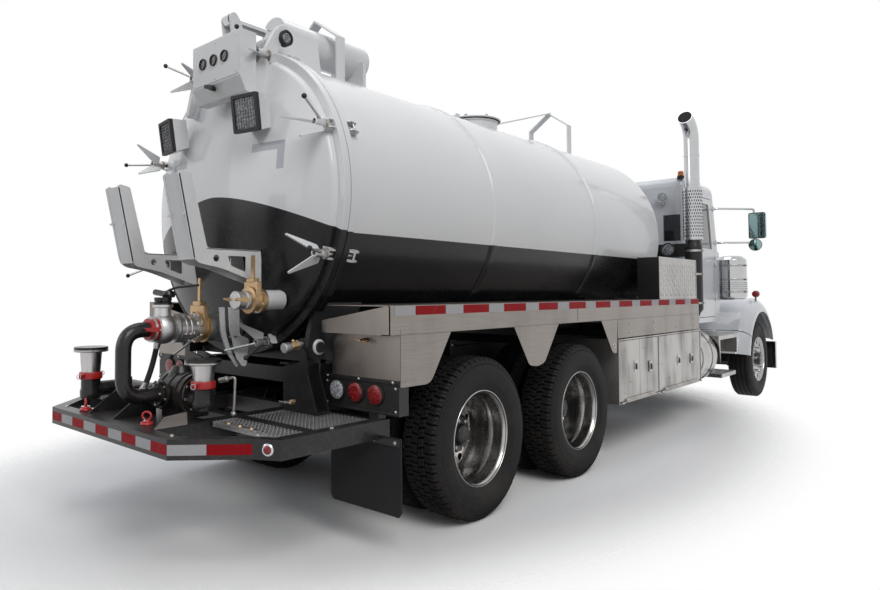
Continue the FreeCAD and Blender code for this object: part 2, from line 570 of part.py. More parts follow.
def cab():
    shell = cut("cab_hollow", cab_block("cab_outer", "0"), cab_block("cab_inner", "CabWall"))
    sides = slab("door_openings", "XZ", door_outline("0"), ("-CabHalf - 50", "CabHalf + 50"))
    holes = [sides]
    glass = []
    screen_low, screen_top = "BeltZ + 70", "ScreenTopZ - 45"
    slope = "(ScreenFootX - ScreenTopX) / (ScreenTopZ - BeltZ)"
    for index, (low, high) in enumerate((("-CabHalf + 95", "-28"), ("28", "CabHalf - 95"))):
        holes.append(slab(f"screen_hole_{index}", "YZ", rectangle((low, screen_low), (high, screen_top)),
                          ("ScreenTopX - 130", "CowlX + 60")))
        foot_x = f"ScreenFootX - 70 * {slope}"
        top_x = f"ScreenTopX + 45 * {slope}"
        glass.append(slab(f"screen_pane_{index}", "XZ", [
            (f"{foot_x} - 20", f"{screen_low} + RunGap"), (f"{foot_x} - 20 + GlassThick", f"{screen_low} + RunGap"),
            (f"{top_x} - 20 + GlassThick", f"{screen_top} - RunGap"), (f"{top_x} - 20", f"{screen_top} - RunGap")],
            (f"{low} + RunGap", f"{high} - RunGap")))
    panes = [("-RearLightHalf", "RearLightHalf"), ("-CornerLightOut", "-CornerLightIn"),
             ("CornerLightIn", "CornerLightOut")]
    for index, (low, high) in enumerate(panes):
        holes.append(slab(f"back_hole_{index}", "YZ",
                          rectangle((low, "RearLightLowZ"), (high, "RearLightTopZ")),
                          ("CabBackX - 30", "CabBackX + 200")))
        glass.append(box(f"back_pane_{index}", ("CabBackX + 16", "CabBackX + 16 + GlassThick"),
                         (f"{low} + RunGap", f"{high} - RunGap"),
                         ("RearLightLowZ + RunGap", "RearLightTopZ - RunGap")))
    hinges = hinge_parts("cab_hinge_right", -1, False) + hinge_parts("cab_hinge_left", 1, False)
    node(fuse("cab_shell", [cut("cab_opened", shell, holes)] + hinges), "cab_shell")
    node(group("cab_glass", glass), "cab_glass")


def cab_interior():
    floor = "CabFloorZ + CabWall"
    parts = []
    for index, sign in enumerate((-1, 1)):
        middle = f"{sign} * SeatY"
        parts.append(box(f"seat_base_{index}", ("SeatX - 60", "SeatX + 330"),
                         (f"{middle} - SeatHalf + 60", f"{middle} + SeatHalf - 60"),
                         (floor, f"{floor} + 300")))
        parts.append(box(f"seat_pad_{index}", ("SeatX - 120", "SeatX + 390"),
                         (f"{middle} - SeatHalf", f"{middle} + SeatHalf"), (f"{floor} + 300", f"{floor} + 430")))
        parts.append(slab(f"seat_back_{index}", "XZ", [
            ("SeatX - 120", f"{floor} + 430"), ("SeatX", f"{floor} + 430"),
            ("SeatX - 110", f"{floor} + 1080"), ("SeatX - 210", f"{floor} + 1080")],
            (f"{middle} - SeatHalf", f"{middle} + SeatHalf")))
    dash = slab("dash", "XZ", [
        ("CowlX - CabWall - 20 - RunGap", f"{floor} + 480"), ("CowlX - 330", f"{floor} + 480"),
        ("CowlX - 370", "BeltZ - 130"), ("CowlX - 300", "BeltZ - 60"),
        ("CowlX - CabWall - 20 - RunGap", "BeltZ - 90")],
        ("-CabHalf + CabWall + 30", "CabHalf - CabWall - 30"))
    stay = box("dash_stay", ("CowlX - 250", "CowlX - CabWall - 20 - RunGap"), ("-120", "120"),
               (floor, f"{floor} + 480"))
    column = rod("column", "x", "28", ("CowlX - 560", "CowlX - 330"), ("SeatY", "BeltZ - 170"))
    wheel = ring("steering_ring", "x", "WheelRingRadius", "15", "CowlX - 550", ("SeatY", "BeltZ - 170"))
    spokes = [box("spoke_across", ("CowlX - 556", "CowlX - 544"),
                  ("SeatY - WheelRingRadius", "SeatY + WheelRingRadius"), ("BeltZ - 190", "BeltZ - 150")),
              box("spoke_up", ("CowlX - 556", "CowlX - 544"), ("SeatY - 20", "SeatY + 20"),
                  ("BeltZ - 170 - WheelRingRadius", "BeltZ - 170"))]
    seats = [fuse(f"seat_{index}", parts[3 * index:3 * index + 3]) for index in (0, 1)]
    node(group("cab_interior", seats + [fuse("dash_and_wheel", [dash, stay, column, wheel] + spokes)]),
         "cab_interior")


def hinge_parts(name, sign, moving):
    """Knuckles and leaves of the two outside hinges of a cab door: the door's half or the cab's."""
    parts = []
    axis_y = f"{sign} * (CabHalf + HingeOut)"
    leaf_y = ("CabHalf", "CabHalf + 6") if sign > 0 else ("-CabHalf - 6", "-CabHalf")
    for index, level in enumerate(("DoorSillZ + 260", "BeltZ - 140")):
        spot = ("DoorFrontX", axis_y)
        if moving:
            knuckle_part = rod(f"{name}_knuckle_{index}", "z", "HingeOut - 0.5", (f"{level} - 30", f"{level} + 30"), spot)
            leaf = box(f"{name}_leaf_{index}", ("DoorFrontX - 64", "DoorFrontX - 4"), leaf_y,
                       (f"{level} - 30", f"{level} + 30"))
            bore = rod(f"{name}_bore_{index}", "z", "6 + RunGap", (f"{level} - 40", f"{level} + 40"), spot)
            parts.append(cut(f"{name}_{index}", fuse(f"{name}_solid_{index}", [knuckle_part, leaf]), bore))
        else:
            parts.append(rod(f"{name}_pin_{index}", "z", "6", (f"{level} - 56", f"{level} + 56"), spot))
            for end, (low, high) in enumerate((("-56", "-31"), ("31", "56"))):
                span = (f"{level} + {low}", f"{level} + {high}")
                parts.append(rod(f"{name}_knuckle_{index}{end}", "z", "HingeOut - 0.5", span, spot))
                parts.append(box(f"{name}_leaf_{index}{end}", ("DoorFrontX + 2", "DoorFrontX + 64"), leaf_y, span))
    return parts


def cab_door(side, sign):
    span = ("CabHalf - CabWall", "CabHalf") if sign > 0 else ("-CabHalf", "-CabHalf + CabWall")
    panel = slab(f"door_{side}_panel", "XZ", door_outline("DoorGap"), span)
    hole = slab(f"door_{side}_window", "XZ", door_window("0"),
                ("CabHalf - CabWall - 40", "CabHalf + 40") if sign > 0
                else ("-CabHalf - 40", "-CabHalf + CabWall + 40"))
    out = ("CabHalf", "CabHalf + 42") if sign > 0 else ("-CabHalf - 42", "-CabHalf")
    grip = box(f"door_{side}_handle", ("DoorRearX + 60", "DoorRearX + 190"), out,
               ("BeltZ - 110", "BeltZ - 80"))
    node(fuse(f"cab_door_{side}", [cut(f"door_{side}_cut", panel, hole), grip]
              + hinge_parts(f"door_{side}_hinge", sign, True)), f"cab_door_{side}")
    middle = "CabHalf - CabWall / 2" if sign > 0 else "-CabHalf + CabWall / 2 - GlassThick"
    node(slab(f"door_glass_{side}", "XZ", door_window("RunGap"), (middle, f"{middle} + GlassThick")),
         f"door_glass_{side}")


def hood():
    """A tapering hollow nose with an arched fender over each steered wheel."""
    def section(x_spot, half, top, low, round_radius):
        points = [Vector(x_spot, -half, low), Vector(x_spot, -half, top - round_radius),
                  Vector(x_spot, -half + round_radius * 0.29, top - round_radius * 0.29),
                  Vector(x_spot, -half + round_radius, top), Vector(x_spot, half - round_radius, top),
                  Vector(x_spot, half - round_radius * 0.29, top - round_radius * 0.29),
                  Vector(x_spot, half, top - round_radius), Vector(x_spot, half, low)]
        edges = [Part.LineSegment(points[0], points[1]).toShape(),
                 Part.Arc(points[1], points[2], points[3]).toShape(),
                 Part.LineSegment(points[3], points[4]).toShape(),
                 Part.Arc(points[4], points[5], points[6]).toShape(),
                 Part.LineSegment(points[6], points[7]).toShape(),
                 Part.LineSegment(points[7], points[0]).toShape()]
        return Part.Wire(edges)
    rear, front = number("CowlX + HoodGap"), number("HoodFrontX")
    wall, low = number("HoodWall"), number("HoodLowZ")
    rear_half, front_half = number("HoodRearHalf"), number("HoodFrontHalf")
    rear_top, front_top = number("HoodRearZ"), number("HoodFrontZ")
    corner = number("HoodRound")
    outer = Part.makeLoft([section(rear, rear_half, rear_top, low, corner),
                           section(front, front_half, front_top, low, corner)], True, True)
    inner = Part.makeLoft([section(rear - 1, rear_half - wall, rear_top - wall, low - 1, corner - wall),
                           section(front + 1, front_half - wall, front_top - wall, low - 1,
                                   corner - wall)], True, True)
    nose = doc.addObject("Part::Feature", "hood_nose")
    nose.Shape = outer.cut(inner)
    fender = doc.addObject("Part::Feature", "fender_right")
    fender.Shape = fender_shape((22, 45, 68, 90, 112, 135, 150))
    pod = box("lamp_pod", ("LampPodX - 190", "LampPodX"), ("-LampPodY - 145", "-LampPodY + 145"),
              ("LampPodZ", "LampPodZ + 160"))
    parts = [nose, fender, mirrored("fender_left", fender), pod, mirrored("lamp_pod_left", pod)]
    return node(fuse("hood_shell", parts), "hood_shell")


def fender_shape(angles):
    """Fender skin lofted round the wheel: the crown is rounded down to a lip at the side."""
    wall = number("FenderWall")
    out, lip = number("FenderOut"), number("FenderLip")
    inner_y = number("HoodFrontHalf - 5")
    axle_x, axle_z = number("FrontAxleX"), number("TyreRadius")
    crown = number("FenderCrown")

    def band(angle, reach):
        """A closed section of the skin in the plane through the axle at this angle."""
        side_y = out - 120
        def spot(y_value, radius):
            return Vector(axle_x + radius * math.cos(angle), -y_value, axle_z + radius * math.sin(angle))
        lip_radius = min(lip, reach - 60)
        drop = reach - lip_radius
        mid_y = side_y + 120 * math.sin(math.radians(50))
        mid_r = reach - drop * (1 - math.cos(math.radians(50)))
        edges = [Part.LineSegment(spot(inner_y, reach), spot(side_y, reach)).toShape(),
                 Part.Arc(spot(side_y, reach), spot(mid_y, mid_r), spot(out, lip_radius)).toShape(),
                 Part.LineSegment(spot(out, lip_radius), spot(out - wall, lip_radius)).toShape(),
                 Part.Arc(spot(out - wall, lip_radius), spot(mid_y - wall, mid_r - wall),
                          spot(side_y, reach - wall)).toShape(),
                 Part.LineSegment(spot(side_y, reach - wall), spot(inner_y, reach - wall)).toShape(),
                 Part.LineSegment(spot(inner_y, reach - wall), spot(inner_y, reach)).toShape()]
        return Part.Wire(edges)
    nose_reach = number("HoodFrontX - FrontAxleX + 60")
    sections = []
    for degrees in angles:
        share = min(1.0, max(0.0, (degrees - 22) / 68))
        smooth = share * share * (3 - 2 * share)
        reach = nose_reach + (crown - nose_reach) * smooth + max(0, degrees - 150) * 2.8
        sections.append(band(math.radians(degrees), reach))
    return Part.makeLoft(sections, True, False)


def fender_tails():
    """Fixed splash panels that carry the fender line down behind the wheels."""
    tail = doc.addObject("Part::Feature", "tail_right")
    tail.Shape = fender_shape((151, 158, 165, 172))
    stay = box("tail_stay", ("FrontAxleX - FenderCrown + 50", "FrontAxleX - FenderCrown + 88"),
               ("-FenderOut + 160", "-RailHalf"), ("RailTop - 130", "RailTop - 90"))
    return node(pair("fender_tails", fuse("tail_stayed", [tail, stay])), "fender_tails")


def hood_trim():
    """Grille set in the nose, headlamps and signal lamps."""
    grille_frame = box("grille_frame", ("HoodFrontX + RunGap", "HoodFrontX + 28"),
                       ("-HoodFrontHalf", "HoodFrontHalf"), ("RailTop + 12", "HoodFrontZ"))
    opening = box("grille_opening", ("HoodFrontX - 20", "HoodFrontX + 60"),
                  ("-HoodFrontHalf + 45", "HoodFrontHalf - 45"), ("RailTop + 62", "HoodFrontZ - 60"))
    bars = [box(f"grille_bar_{index}", ("HoodFrontX + 8", "HoodFrontX + 20"),
                (f"-HoodFrontHalf + 40 + {index} * (HoodFrontHalf - 45) / 5",
                 f"-HoodFrontHalf + 54 + {index} * (HoodFrontHalf - 45) / 5"),
                ("RailTop + 55", "HoodFrontZ - 50")) for index in range(1, 10)]
    lugs = []
    for index, sign in enumerate((-1, 1)):
        lug = box(f"hood_lug_{index}", ("HoodPivotX - 22", "HoodPivotX + 16"),
                  (f"{sign} * HoodLugY - 7", f"{sign} * HoodLugY + 7"), ("HoodPivotZ - 16", "RailTop + 40"))
        lugs.append(cut(f"hood_lug_bored_{index}", lug,
                        rod(f"hood_bore_{index}", "y", "12 + RunGap", (f"{sign} * HoodLugY - 20", f"{sign} * HoodLugY + 20"),
                            ("HoodPivotX", "HoodPivotZ"))))
    lenses = [box(f"headlamp_{index}", ("LampPodX", "LampPodX + 10"),
                  (f"{sign} * LampPodY - 130", f"{sign} * LampPodY + 130"), ("LampPodZ + 15", "LampPodZ + 145"))
              for index, sign in enumerate((-1, 1))]
    grille = fuse("grille", [cut("grille_rim", grille_frame, opening)] + bars + lugs)
    return node(group("hood_trim", [grille] + lenses), "hood_trim")


def front_bumper():
    face = box("bumper_face", ("BumperFrontX - BumperDeep", "BumperFrontX"), ("-BumperHalf", "BumperHalf"),
               ("BumperLowZ", "BumperTopZ"))
    hollow = box("bumper_hollow", ("BumperFrontX - BumperDeep - 10", "BumperFrontX - BumperWall"),
                 ("-BumperHalf + BumperWall", "BumperHalf - BumperWall"),
                 ("BumperLowZ + BumperWall", "BumperTopZ - BumperWall"))
    stay = box("bumper_stay", ("FrameFrontX", "BumperFrontX - BumperWall"), ("-RailHalf", "-RailHalf + 60"),
               ("BumperTopZ - 180", "BumperTopZ - BumperWall"))
    hanger = box("bumper_hanger", ("FrameFrontX", "BumperFrontX - BumperDeep - 1"),
                 ("-RailHalf", "-RailHalf + 60"), ("BumperTopZ - 180", "RailTop - 200"))
    ear = box("hood_ear", ("HoodPivotX - 18", "HoodPivotX + 18"), ("-370", "-356"),
              ("BumperTopZ - 60", "HoodPivotZ + 18"))
    pin = rod("hood_pin", "y", "12", ("-372", "-HoodLugY + 14"), ("HoodPivotX", "HoodPivotZ"))
    parts = [cut("bumper_skin", face, hollow)]
    for piece in (stay, hanger, ear, pin):
        parts += [piece, mirrored(piece.Name + "_left", piece)]
    return node(fuse("front_bumper", parts), "front_bumper")


def fuel_tanks():
    drum = rod("fuel_drum", "x", "FuelRadius", ("FuelRearX", "FuelFrontX"), ("-FuelY", "FuelZ"))
    straps = [rod(f"fuel_strap_{index}", "x", "FuelRadius + 6",
                  (f"FuelRearX + {spot}", f"FuelRearX + {spot} + 60"), ("-FuelY", "FuelZ"))
              for index, spot in enumerate((110, 450))]
    shelf = box("fuel_shelf", ("FuelRearX + 110", "FuelFrontX - 110"), ("-FuelY + 40", "-RailHalf"),
                ("RailTop - RailDepth + 20", "RailTop - RailDepth + 160"))
    side = fuse("fuel_tank_right", [drum, shelf] + straps)
    return node(pair("fuel_tanks", side), "fuel_tanks")


def cab_steps():
    upper = slab("step_upper", "XZ", [
        ("StepX", "CabFloorZ - 140"), ("StepFrontX", "CabFloorZ - 140"), ("StepFrontX", "CabFloorZ - 180"),
        ("StepFrontX - 130", "470"), ("StepFrontX - 130", "430"), ("StepX + 90", "430"), ("StepX + 90", "470"),
        ("StepX", "CabFloorZ - 180")], ("-StepOut", "-StepOut + 300"))
    notch = box("step_notch", ("StepX + 60", "StepFrontX - 60"), ("-StepOut - 20", "-StepOut + 240"),
                ("475", "CabFloorZ - 185"))
    stay = box("step_stay", ("StepX + 150", "StepFrontX - 150"), ("-StepOut + 290", "-RailHalf"),
               ("RailTop - 160", "RailTop - 100"))
    side = fuse("steps_right", [cut("step_right_cut", upper, notch), stay])
    return node(pair("cab_steps", side), "cab_steps")


def air_cleaners():
    can = lathe("cleaner_can", "z", [
        ("CleanerLowZ", "0"), ("CleanerLowZ", "CleanerRadius - 40"), ("CleanerLowZ + 40", "CleanerRadius"),
        ("CleanerTopZ - 60", "CleanerRadius"), ("CleanerTopZ - 15", "CleanerRadius - 45"),
        ("CleanerTopZ", "0")], ("CleanerX", "-CleanerY", "0"))
    bands = [rod(f"cleaner_band_{index}", "z", "CleanerRadius + 4",
                 (f"CleanerLowZ + {spot}", f"CleanerLowZ + {spot} + 26"), ("CleanerX", "-CleanerY"))
             for index, spot in enumerate((90, 250, 430))]
    stay = box("cleaner_stay", ("CowlX", "CleanerX"), ("-CabHalf + 20", "-CabHalf + 120"),
               ("CleanerLowZ + 180", "CleanerLowZ + 380"))
    side = fuse("cleaner_right", [can, stay] + bands)
    return node(pair("air_cleaners", side), "air_cleaners")


def exhaust_stack():
    middle = ("StackX", "-StackY")
    pipe = hose("stack_pipe", [("StackX", "-StackY", "MufflerTopZ - 40"),
                               ("StackX", "-StackY", "StackTopZ + 60"),
                               ("StackX - 200", "-StackY", "StackTopZ + 150")], "StackRadius", "StackBend")
    muffler = rod("muffler", "z", "MufflerRadius", ("MufflerLowZ", "MufflerTopZ"), middle)
    shield = rod("heat_shield", "z", "ShieldRadius", ("MufflerTopZ + 4", "MufflerTopZ + 590"), middle)
    shelf = box("stack_shelf", ("StackX - 60", "StackX + 80"), ("-StackY", "-420"),
                ("MufflerTopZ - 180", "MufflerTopZ - 30"))
    post = box("stack_post", ("StackX - 40", "StackX + 40"), ("-500", "-420"), ("RailTop", "MufflerTopZ - 30"))
    lamp = rod("stack_lamp", "x", "78", ("StackX - 110", "StackX - 60"), ("-900", "MufflerTopZ - 100"))
    return node(fuse("exhaust_stack", [pipe, muffler, shield, shelf, post, lamp]), "exhaust_stack")


def mirrors():
    arms = [hose(f"mirror_arm_{index}", [(root, "-CabHalf", level), (root, f"-CabHalf - {out}", level),
                                        ("MirrorX + 10", "-MirrorY + 40", level),
                                        ("MirrorX + 10", "-MirrorY + 40", finish)], "14", "24")
            for index, (root, out, level, finish) in enumerate((
                ("DoorFrontX - 30", "40", "2490", "2380"), ("DoorFrontX + 60", "70", "2060", "2180")))]
    head = box("mirror_head", ("MirrorX - 35", "MirrorX + 35"), ("-MirrorY - 95", "-MirrorY + 95"),
               ("2110", "2440"))
    cup = rod("mirror_round", "x", "78", ("MirrorX - 50", "MirrorX + 20"), ("-MirrorY + 20", "2030"))
    side = fuse("mirror_right", arms + [head, cup])
    return node(pair("mirrors", side), "mirrors")


def deck_sides():
    """Stainless walkway edge with hanging skirts, its bearers and rear end panels."""
    edge = slab("deck_edge", "YZ", [
        ("-DeckOut", "DeckLowZ"), ("-DeckOut", "DeckTopZ"), ("-DeckIn", "DeckTopZ"),
        ("-DeckIn", "DeckTopZ - DeckWall"), ("-DeckOut + DeckWall", "DeckTopZ - DeckWall"),
        ("-DeckOut + DeckWall", "DeckLowZ + DeckWall"), ("-DeckOut + 60", "DeckLowZ + DeckWall"),
        ("-DeckOut + 60", "DeckLowZ")], ("DeckRearX", "DeckFrontX"))
    end = slab("deck_end", "YZ", [
        ("-DeckOut", "DeckLowZ"), ("-DeckOut", "DeckTopZ"), ("-DeckIn + 60", "DeckLowZ + 69"),
        ("-DeckIn + 60", "DeckLowZ")], ("DeckRearX", "DeckRearX + DeckWall"))
    parts = [edge, end]
    bearers = ["SeamX + 400", "RearAxleX + BogieGap / 2 - 25", "BoxRearX - 120", "BoxSplitX + 60",
               "DeckFrontX - 120"]
    for index, spot in enumerate(bearers):
        parts.append(box(f"bearer_{index}", (spot, f"{spot} + 50"), ("-DeckOut + DeckWall", "-RailHalf"),
                         ("DeckLowZ - 80 - BearerDepth", "DeckLowZ - 80")))
        parts.append(box(f"bearer_post_{index}", (spot, f"{spot} + 50"),
                         ("-DeckOut + DeckWall", "-DeckOut + 60"), ("DeckLowZ - 80 - BearerDepth", "DeckLowZ")))
        parts.append(box(f"bearer_foot_{index}", (spot, f"{spot} + 50"), ("-RailHalf - 60", "-RailHalf"),
                         ("RailTop - 120", "DeckLowZ - 80")))
    rear = [("LampBoxX + 7", "DeckLowZ"), ("LampBoxX + 462", "DeckLowZ"), ("LampBoxX + 264", "916"),
            ("LampBoxX + 9", "919")]
    centre = "RearAxleX + BogieGap / 2"
    middle = [(f"{centre} - 362", "DeckLowZ"), (f"{centre} + 260", "DeckLowZ"), (f"{centre} + 46", "937"),
              (f"{centre} - 55", "916"), (f"{centre} - 167", "932")]
    front = [("BoxRearX - 330", "DeckLowZ"), ("BoxRearX - 13", "DeckLowZ"), ("BoxRearX - 34", "920"),
             ("BoxRearX - 115", "925")]
    for index, outline in enumerate((rear, middle, front)):
        parts.append(slab(f"skirt_{index}", "XZ", outline, ("-DeckOut", "-DeckOut + DeckWall")))
    parts.append(box("long_panel", ("BoxRearX - 10", "DeckFrontX"), ("-DeckOut", "-DeckOut + DeckWall"),
                     ("BoxTopZ + 10", "DeckLowZ")))
    parts.append(box("rear_panel", ("LampBoxX", "LampBoxX + DeckWall"), ("-DeckOut", "-LampIn - 63"),
                     ("LampTopZ", "DeckLowZ + 30")))
    parts.append(box("panel_gusset", ("LampBoxX", "LampBoxX + 60"), ("-DeckOut", "-DeckOut + DeckWall"),
                     ("LampTopZ", "DeckLowZ + 30")))
    side = fuse("deck_right", parts)
    return node(pair("deck_sides", side), "deck_sides")


def tool_boxes():
    whole = box("box_outer", ("BoxRearX", "BoxFrontX"), ("-DeckOut", "-BoxIn"), ("BoxLowZ", "BoxTopZ"))
    rooms = [box("box_room_rear", ("BoxRearX + BoxWall", "BoxSplitX - BoxWall / 2"),
                 ("-DeckOut - 10", "-BoxIn - BoxWall"), ("BoxLowZ + BoxWall", "BoxTopZ - BoxWall")),
             box("box_room_front", ("BoxSplitX + BoxWall / 2", "BoxFrontX - BoxWall"),
                 ("-DeckOut - 10", "-BoxIn - BoxWall"), ("BoxLowZ + BoxWall", "BoxTopZ - BoxWall"))]
    stays = [box(f"box_stay_{index}", (spot, f"{spot} + 60"), ("-BoxIn", "-RailHalf"),
                 ("RailTop - 200", "RailTop - 60"))
             for index, spot in enumerate(("BoxRearX + 200", "BoxFrontX - 260"))]
    hinge_z = "BoxLowZ + BoxWall - 1"
    pins = [rod(f"box_hinge_{index}", "x", "5", span, ("-DeckOut - BoxHingeOut", hinge_z))
            for index, span in enumerate((("BoxRearX + 30", "BoxSplitX - 30"), ("BoxSplitX + 30", "BoxFrontX - 30")))]
    tabs = [box(f"box_tab_{index}", (spot, f"{spot} + 40"), ("-DeckOut - BoxHingeOut - 7", "-DeckOut"),
                (f"{hinge_z} - 10", f"{hinge_z} - 1"))
            for index, spot in enumerate(("BoxRearX + 30", "BoxSplitX - 70", "BoxSplitX + 30", "BoxFrontX - 70"))]
    side = fuse("tool_box_right", [cut("box_shell", whole, rooms)] + stays + pins + tabs)
    return node(pair("tool_boxes", side), "tool_boxes")


def box_door(side, sign):
    """The two drop doors of one side, with their hinge knuckles along the lower edge."""
    gap = "BoxDoorGap"
    hinge_z = "BoxLowZ + BoxWall - 1"
    def across(low, high):
        return (low, high) if sign > 0 else (f"-({high})", f"-({low})")
    doors = []
    for index, (low, high) in enumerate((
            (f"BoxRearX + BoxWall + {gap}", f"BoxSplitX - BoxWall / 2 - {gap}"),
            (f"BoxSplitX + BoxWall / 2 + {gap}", f"BoxFrontX - BoxWall - {gap}"))):
        panel = box(f"lid_{side}_{index}", (low, high), across("DeckOut - BoxWall", "DeckOut"),
                    (f"BoxLowZ + BoxWall + {gap}", f"BoxTopZ - BoxWall - {gap}"))
        spot = (f"{sign} * (DeckOut + BoxHingeOut)", hinge_z)
        leaf = box(f"lid_leaf_{side}_{index}", (f"{low} + 120", f"{high} - 120"),
                   across("DeckOut", "DeckOut + BoxHingeOut"), (f"{hinge_z} + 4", f"{hinge_z} + 26"))
        barrel = rod(f"lid_barrel_{side}_{index}", "x", "BoxHingeOut - 0.5", (f"{low} + 120", f"{high} - 120"), spot)
        bore = rod(f"lid_bore_{side}_{index}", "x", "5 + RunGap", (f"{low} + 100", f"{high} - 100"), spot)
        doors.append(cut(f"lid_door_{side}_{index}", fuse(f"lid_raw_{side}_{index}", [panel, leaf, barrel]), bore))
    return doors


def tool_doors():
    for side, sign in (("right", -1), ("left", 1)):
        node(group(f"tool_doors_{side}", box_door(side, sign)), f"tool_doors_{side}")


def guard_boxes():
    outer = box("guard_outer", ("GuardRearX", "GuardFrontX"), ("-GuardOut", "-GuardIn"),
                ("DeckTopZ", "GuardTopZ"))
    return node(pair("guard_boxes", outer), "guard_boxes")


def platform_cross(name):
    return box(name, ("RearAxleX - 1330", "RearAxleX - 1260"), ("-PlatSide + 60", "PlatSide - 60"),
               ("PlatTopZ - PlatDeep", "PlatTopZ"))


def rear_platform():
    half = [("PlatFrontX", "PlatSide"), ("PlatCornerX", "PlatSide - 20"), ("PlatCornerX - 65", "PlatSide - 140"),
            ("BumpRearX", "BumpHalf")]
    inner = [("PlatFrontX - 70", "PlatSide - 70"), ("PlatCornerX + 20", "PlatSide - 86"),
             ("PlatCornerX - 20", "PlatSide - 170"), ("BumpRearX + 80", "BumpHalf - 30")]
    def ring_of(points):
        return points + [(x_text, f"-({y_text})") for x_text, y_text in reversed(points)]
    outer = slab("plat_outer", "XY", ring_of(half), ("PlatTopZ - PlatDeep", "PlatTopZ"))
    hollow = slab("plat_hollow", "XY", ring_of(inner), ("PlatTopZ - PlatDeep - 10", "PlatTopZ + 10"))
    parts = [cut("plat_ring", outer, hollow)]
    for index, (low, high) in enumerate((("-RailHalf", "-RailHalf + 80"), ("RailHalf - 80", "RailHalf"))):
        parts.append(box(f"plat_bar_{index}", ("BumpRearX + 40", "PlatFrontX"), (low, high),
                         ("PlatTopZ - PlatDeep", "PlatTopZ")))
    parts.append(platform_cross("plat_cross"))
    drop = box("frame_drop", ("FrameRearX + 10", "PlatFrontX + 60"), ("-RailHalf - 14", "-RailHalf"),
               ("PlatTopZ - PlatDeep", "RailTop - 30"))
    foot = box("frame_drop_foot", ("FrameRearX + 10", "PlatFrontX - 5"), ("-RailHalf - 14", "-RailHalf + 40"),
               ("PlatTopZ - PlatDeep", "PlatTopZ"))
    stand = slab("tip_stand", "YZ", [
        ("-RailHalf - 14", "PlatTopZ"), ("-RailHalf - 14", "StandTopZ"),
        ("-LugY + LugWide / 2 + 66", "TipPinZ - 95"), ("-LugY + LugWide / 2 + 6", "TipPinZ - 95"),
        ("-LugY + LugWide / 2 + 6", "TipPinZ - 160"), ("-LugY - 60", "PlatTopZ")],
        ("TipPinX - 55", "TipPinX - 43"))
    stand_front = slab("tip_stand_front", "YZ", [
        ("-RailHalf - 14", "PlatTopZ"), ("-RailHalf - 14", "StandTopZ"),
        ("-LugY + LugWide / 2 + 66", "TipPinZ - 95"), ("-LugY + LugWide / 2 + 6", "TipPinZ - 95"),
        ("-LugY + LugWide / 2 + 6", "TipPinZ - 160"), ("-LugY - 60", "PlatTopZ")],
        ("TipPinX + 43", "TipPinX + 55"))
    block = box("tip_block", ("TipPinX - 55", "TipPinX + 55"),
                ("-LugY + LugWide / 2 + 6", "-LugY + LugWide / 2 + 66"), ("TipPinZ - 100", "TipPinZ + 50"))
    bridge = box("tip_bridge", ("TipPinX - 55", "TipPinX + 55"), ("-LugY - 60", "-RailHalf - 14"),
                 ("PlatTopZ", "PlatTopZ + 12"))
    pin = rod("tip_pin", "y", "TipPinRadius", ("-LugY - LugWide / 2 - 24", "-LugY + LugWide / 2 + 60"),
              ("TipPinX", "TipPinZ"))
    for piece in (drop, foot, stand, stand_front, block, bridge, pin):
        parts += [piece, mirrored(piece.Name + "_left", piece)]
    for index, spot in enumerate(("6", "RailHalf - 130")):
        parts.append(slab(f"tow_gusset_{index}", "XZ", [
            ("BumpRearX + 60", "PlatTopZ"), ("BumpRearX + 330", "PlatTopZ"),
            ("BumpRearX + 330", "PlatTopZ + 190")], (spot, f"{spot} + 12")))
    parts.append(box("plat_plate", ("BumpRearX + 40", "BumpRearX + 420"), ("-RailHalf", "RailHalf"),
                     ("PlatTopZ - 8", "PlatTopZ")))
    return node(fuse("rear_platform", parts), "rear_platform")


def platform_grating():
    """Serrated walkway bars laid in the platform's side bays."""
    bars = []
    for index in range(12):
        bars.append(box(f"grate_bar_{index}", (f"PlatCornerX + 60 + {index} * 56", f"PlatCornerX + 72 + {index} * 56"),
                        ("-PlatSide + 88", "-RailHalf - 14"), ("PlatTopZ - 32", "PlatTopZ")))
    for index, spot in enumerate((0.25, 0.5, 0.75)):
        middle = f"-PlatSide + 88 + {spot} * (PlatSide - 88 - RailHalf)"
        bars.append(box(f"grate_rod_{index}", ("PlatCornerX + 60", "PlatCornerX + 688"),
                        (f"{middle} - 5", f"{middle} + 5"), ("PlatTopZ - 30", "PlatTopZ - 14")))
    side = cut("grate_right", fuse("grate_bars", bars), platform_cross("grate_room"))
    return node(pair("platform_grating", side), "platform_grating")


def tail_lights():
    case = box("lamp_case", ("LampBoxX", "LampBoxX + LampBoxDeep"), ("-LampOut", "-LampIn"),
               ("LampLowZ", "LampTopZ"))
    lamps = [rod(f"lamp_{index}", "x", "LampRadius", ("LampBoxX - 12", "LampBoxX + 20"),
                 (f"-LampIn - 113 - {index} * 150", "(LampLowZ + LampTopZ) / 2 + 20"))
             for index in range(3)]
    post = box("lamp_post", ("LampBoxX + 10", "LampBoxX + LampBoxDeep - 10"), ("-PlatSide + 20", "-PlatSide + 90"),
               ("PlatTopZ", "LampLowZ"))
    side = fuse("lamp_box_right", [case, post] + lamps)
    return node(pair("tail_lights", side), "tail_lights")


def mud_flaps():
    flap = box("flap_right", ("LampBoxX", "LampBoxX + FlapThick"), ("-DeckOut", "-FlapIn"),
               ("FlapLowZ", "PlatTopZ - PlatDeep"))
    return node(pair("mud_flaps", flap), "mud_flaps")


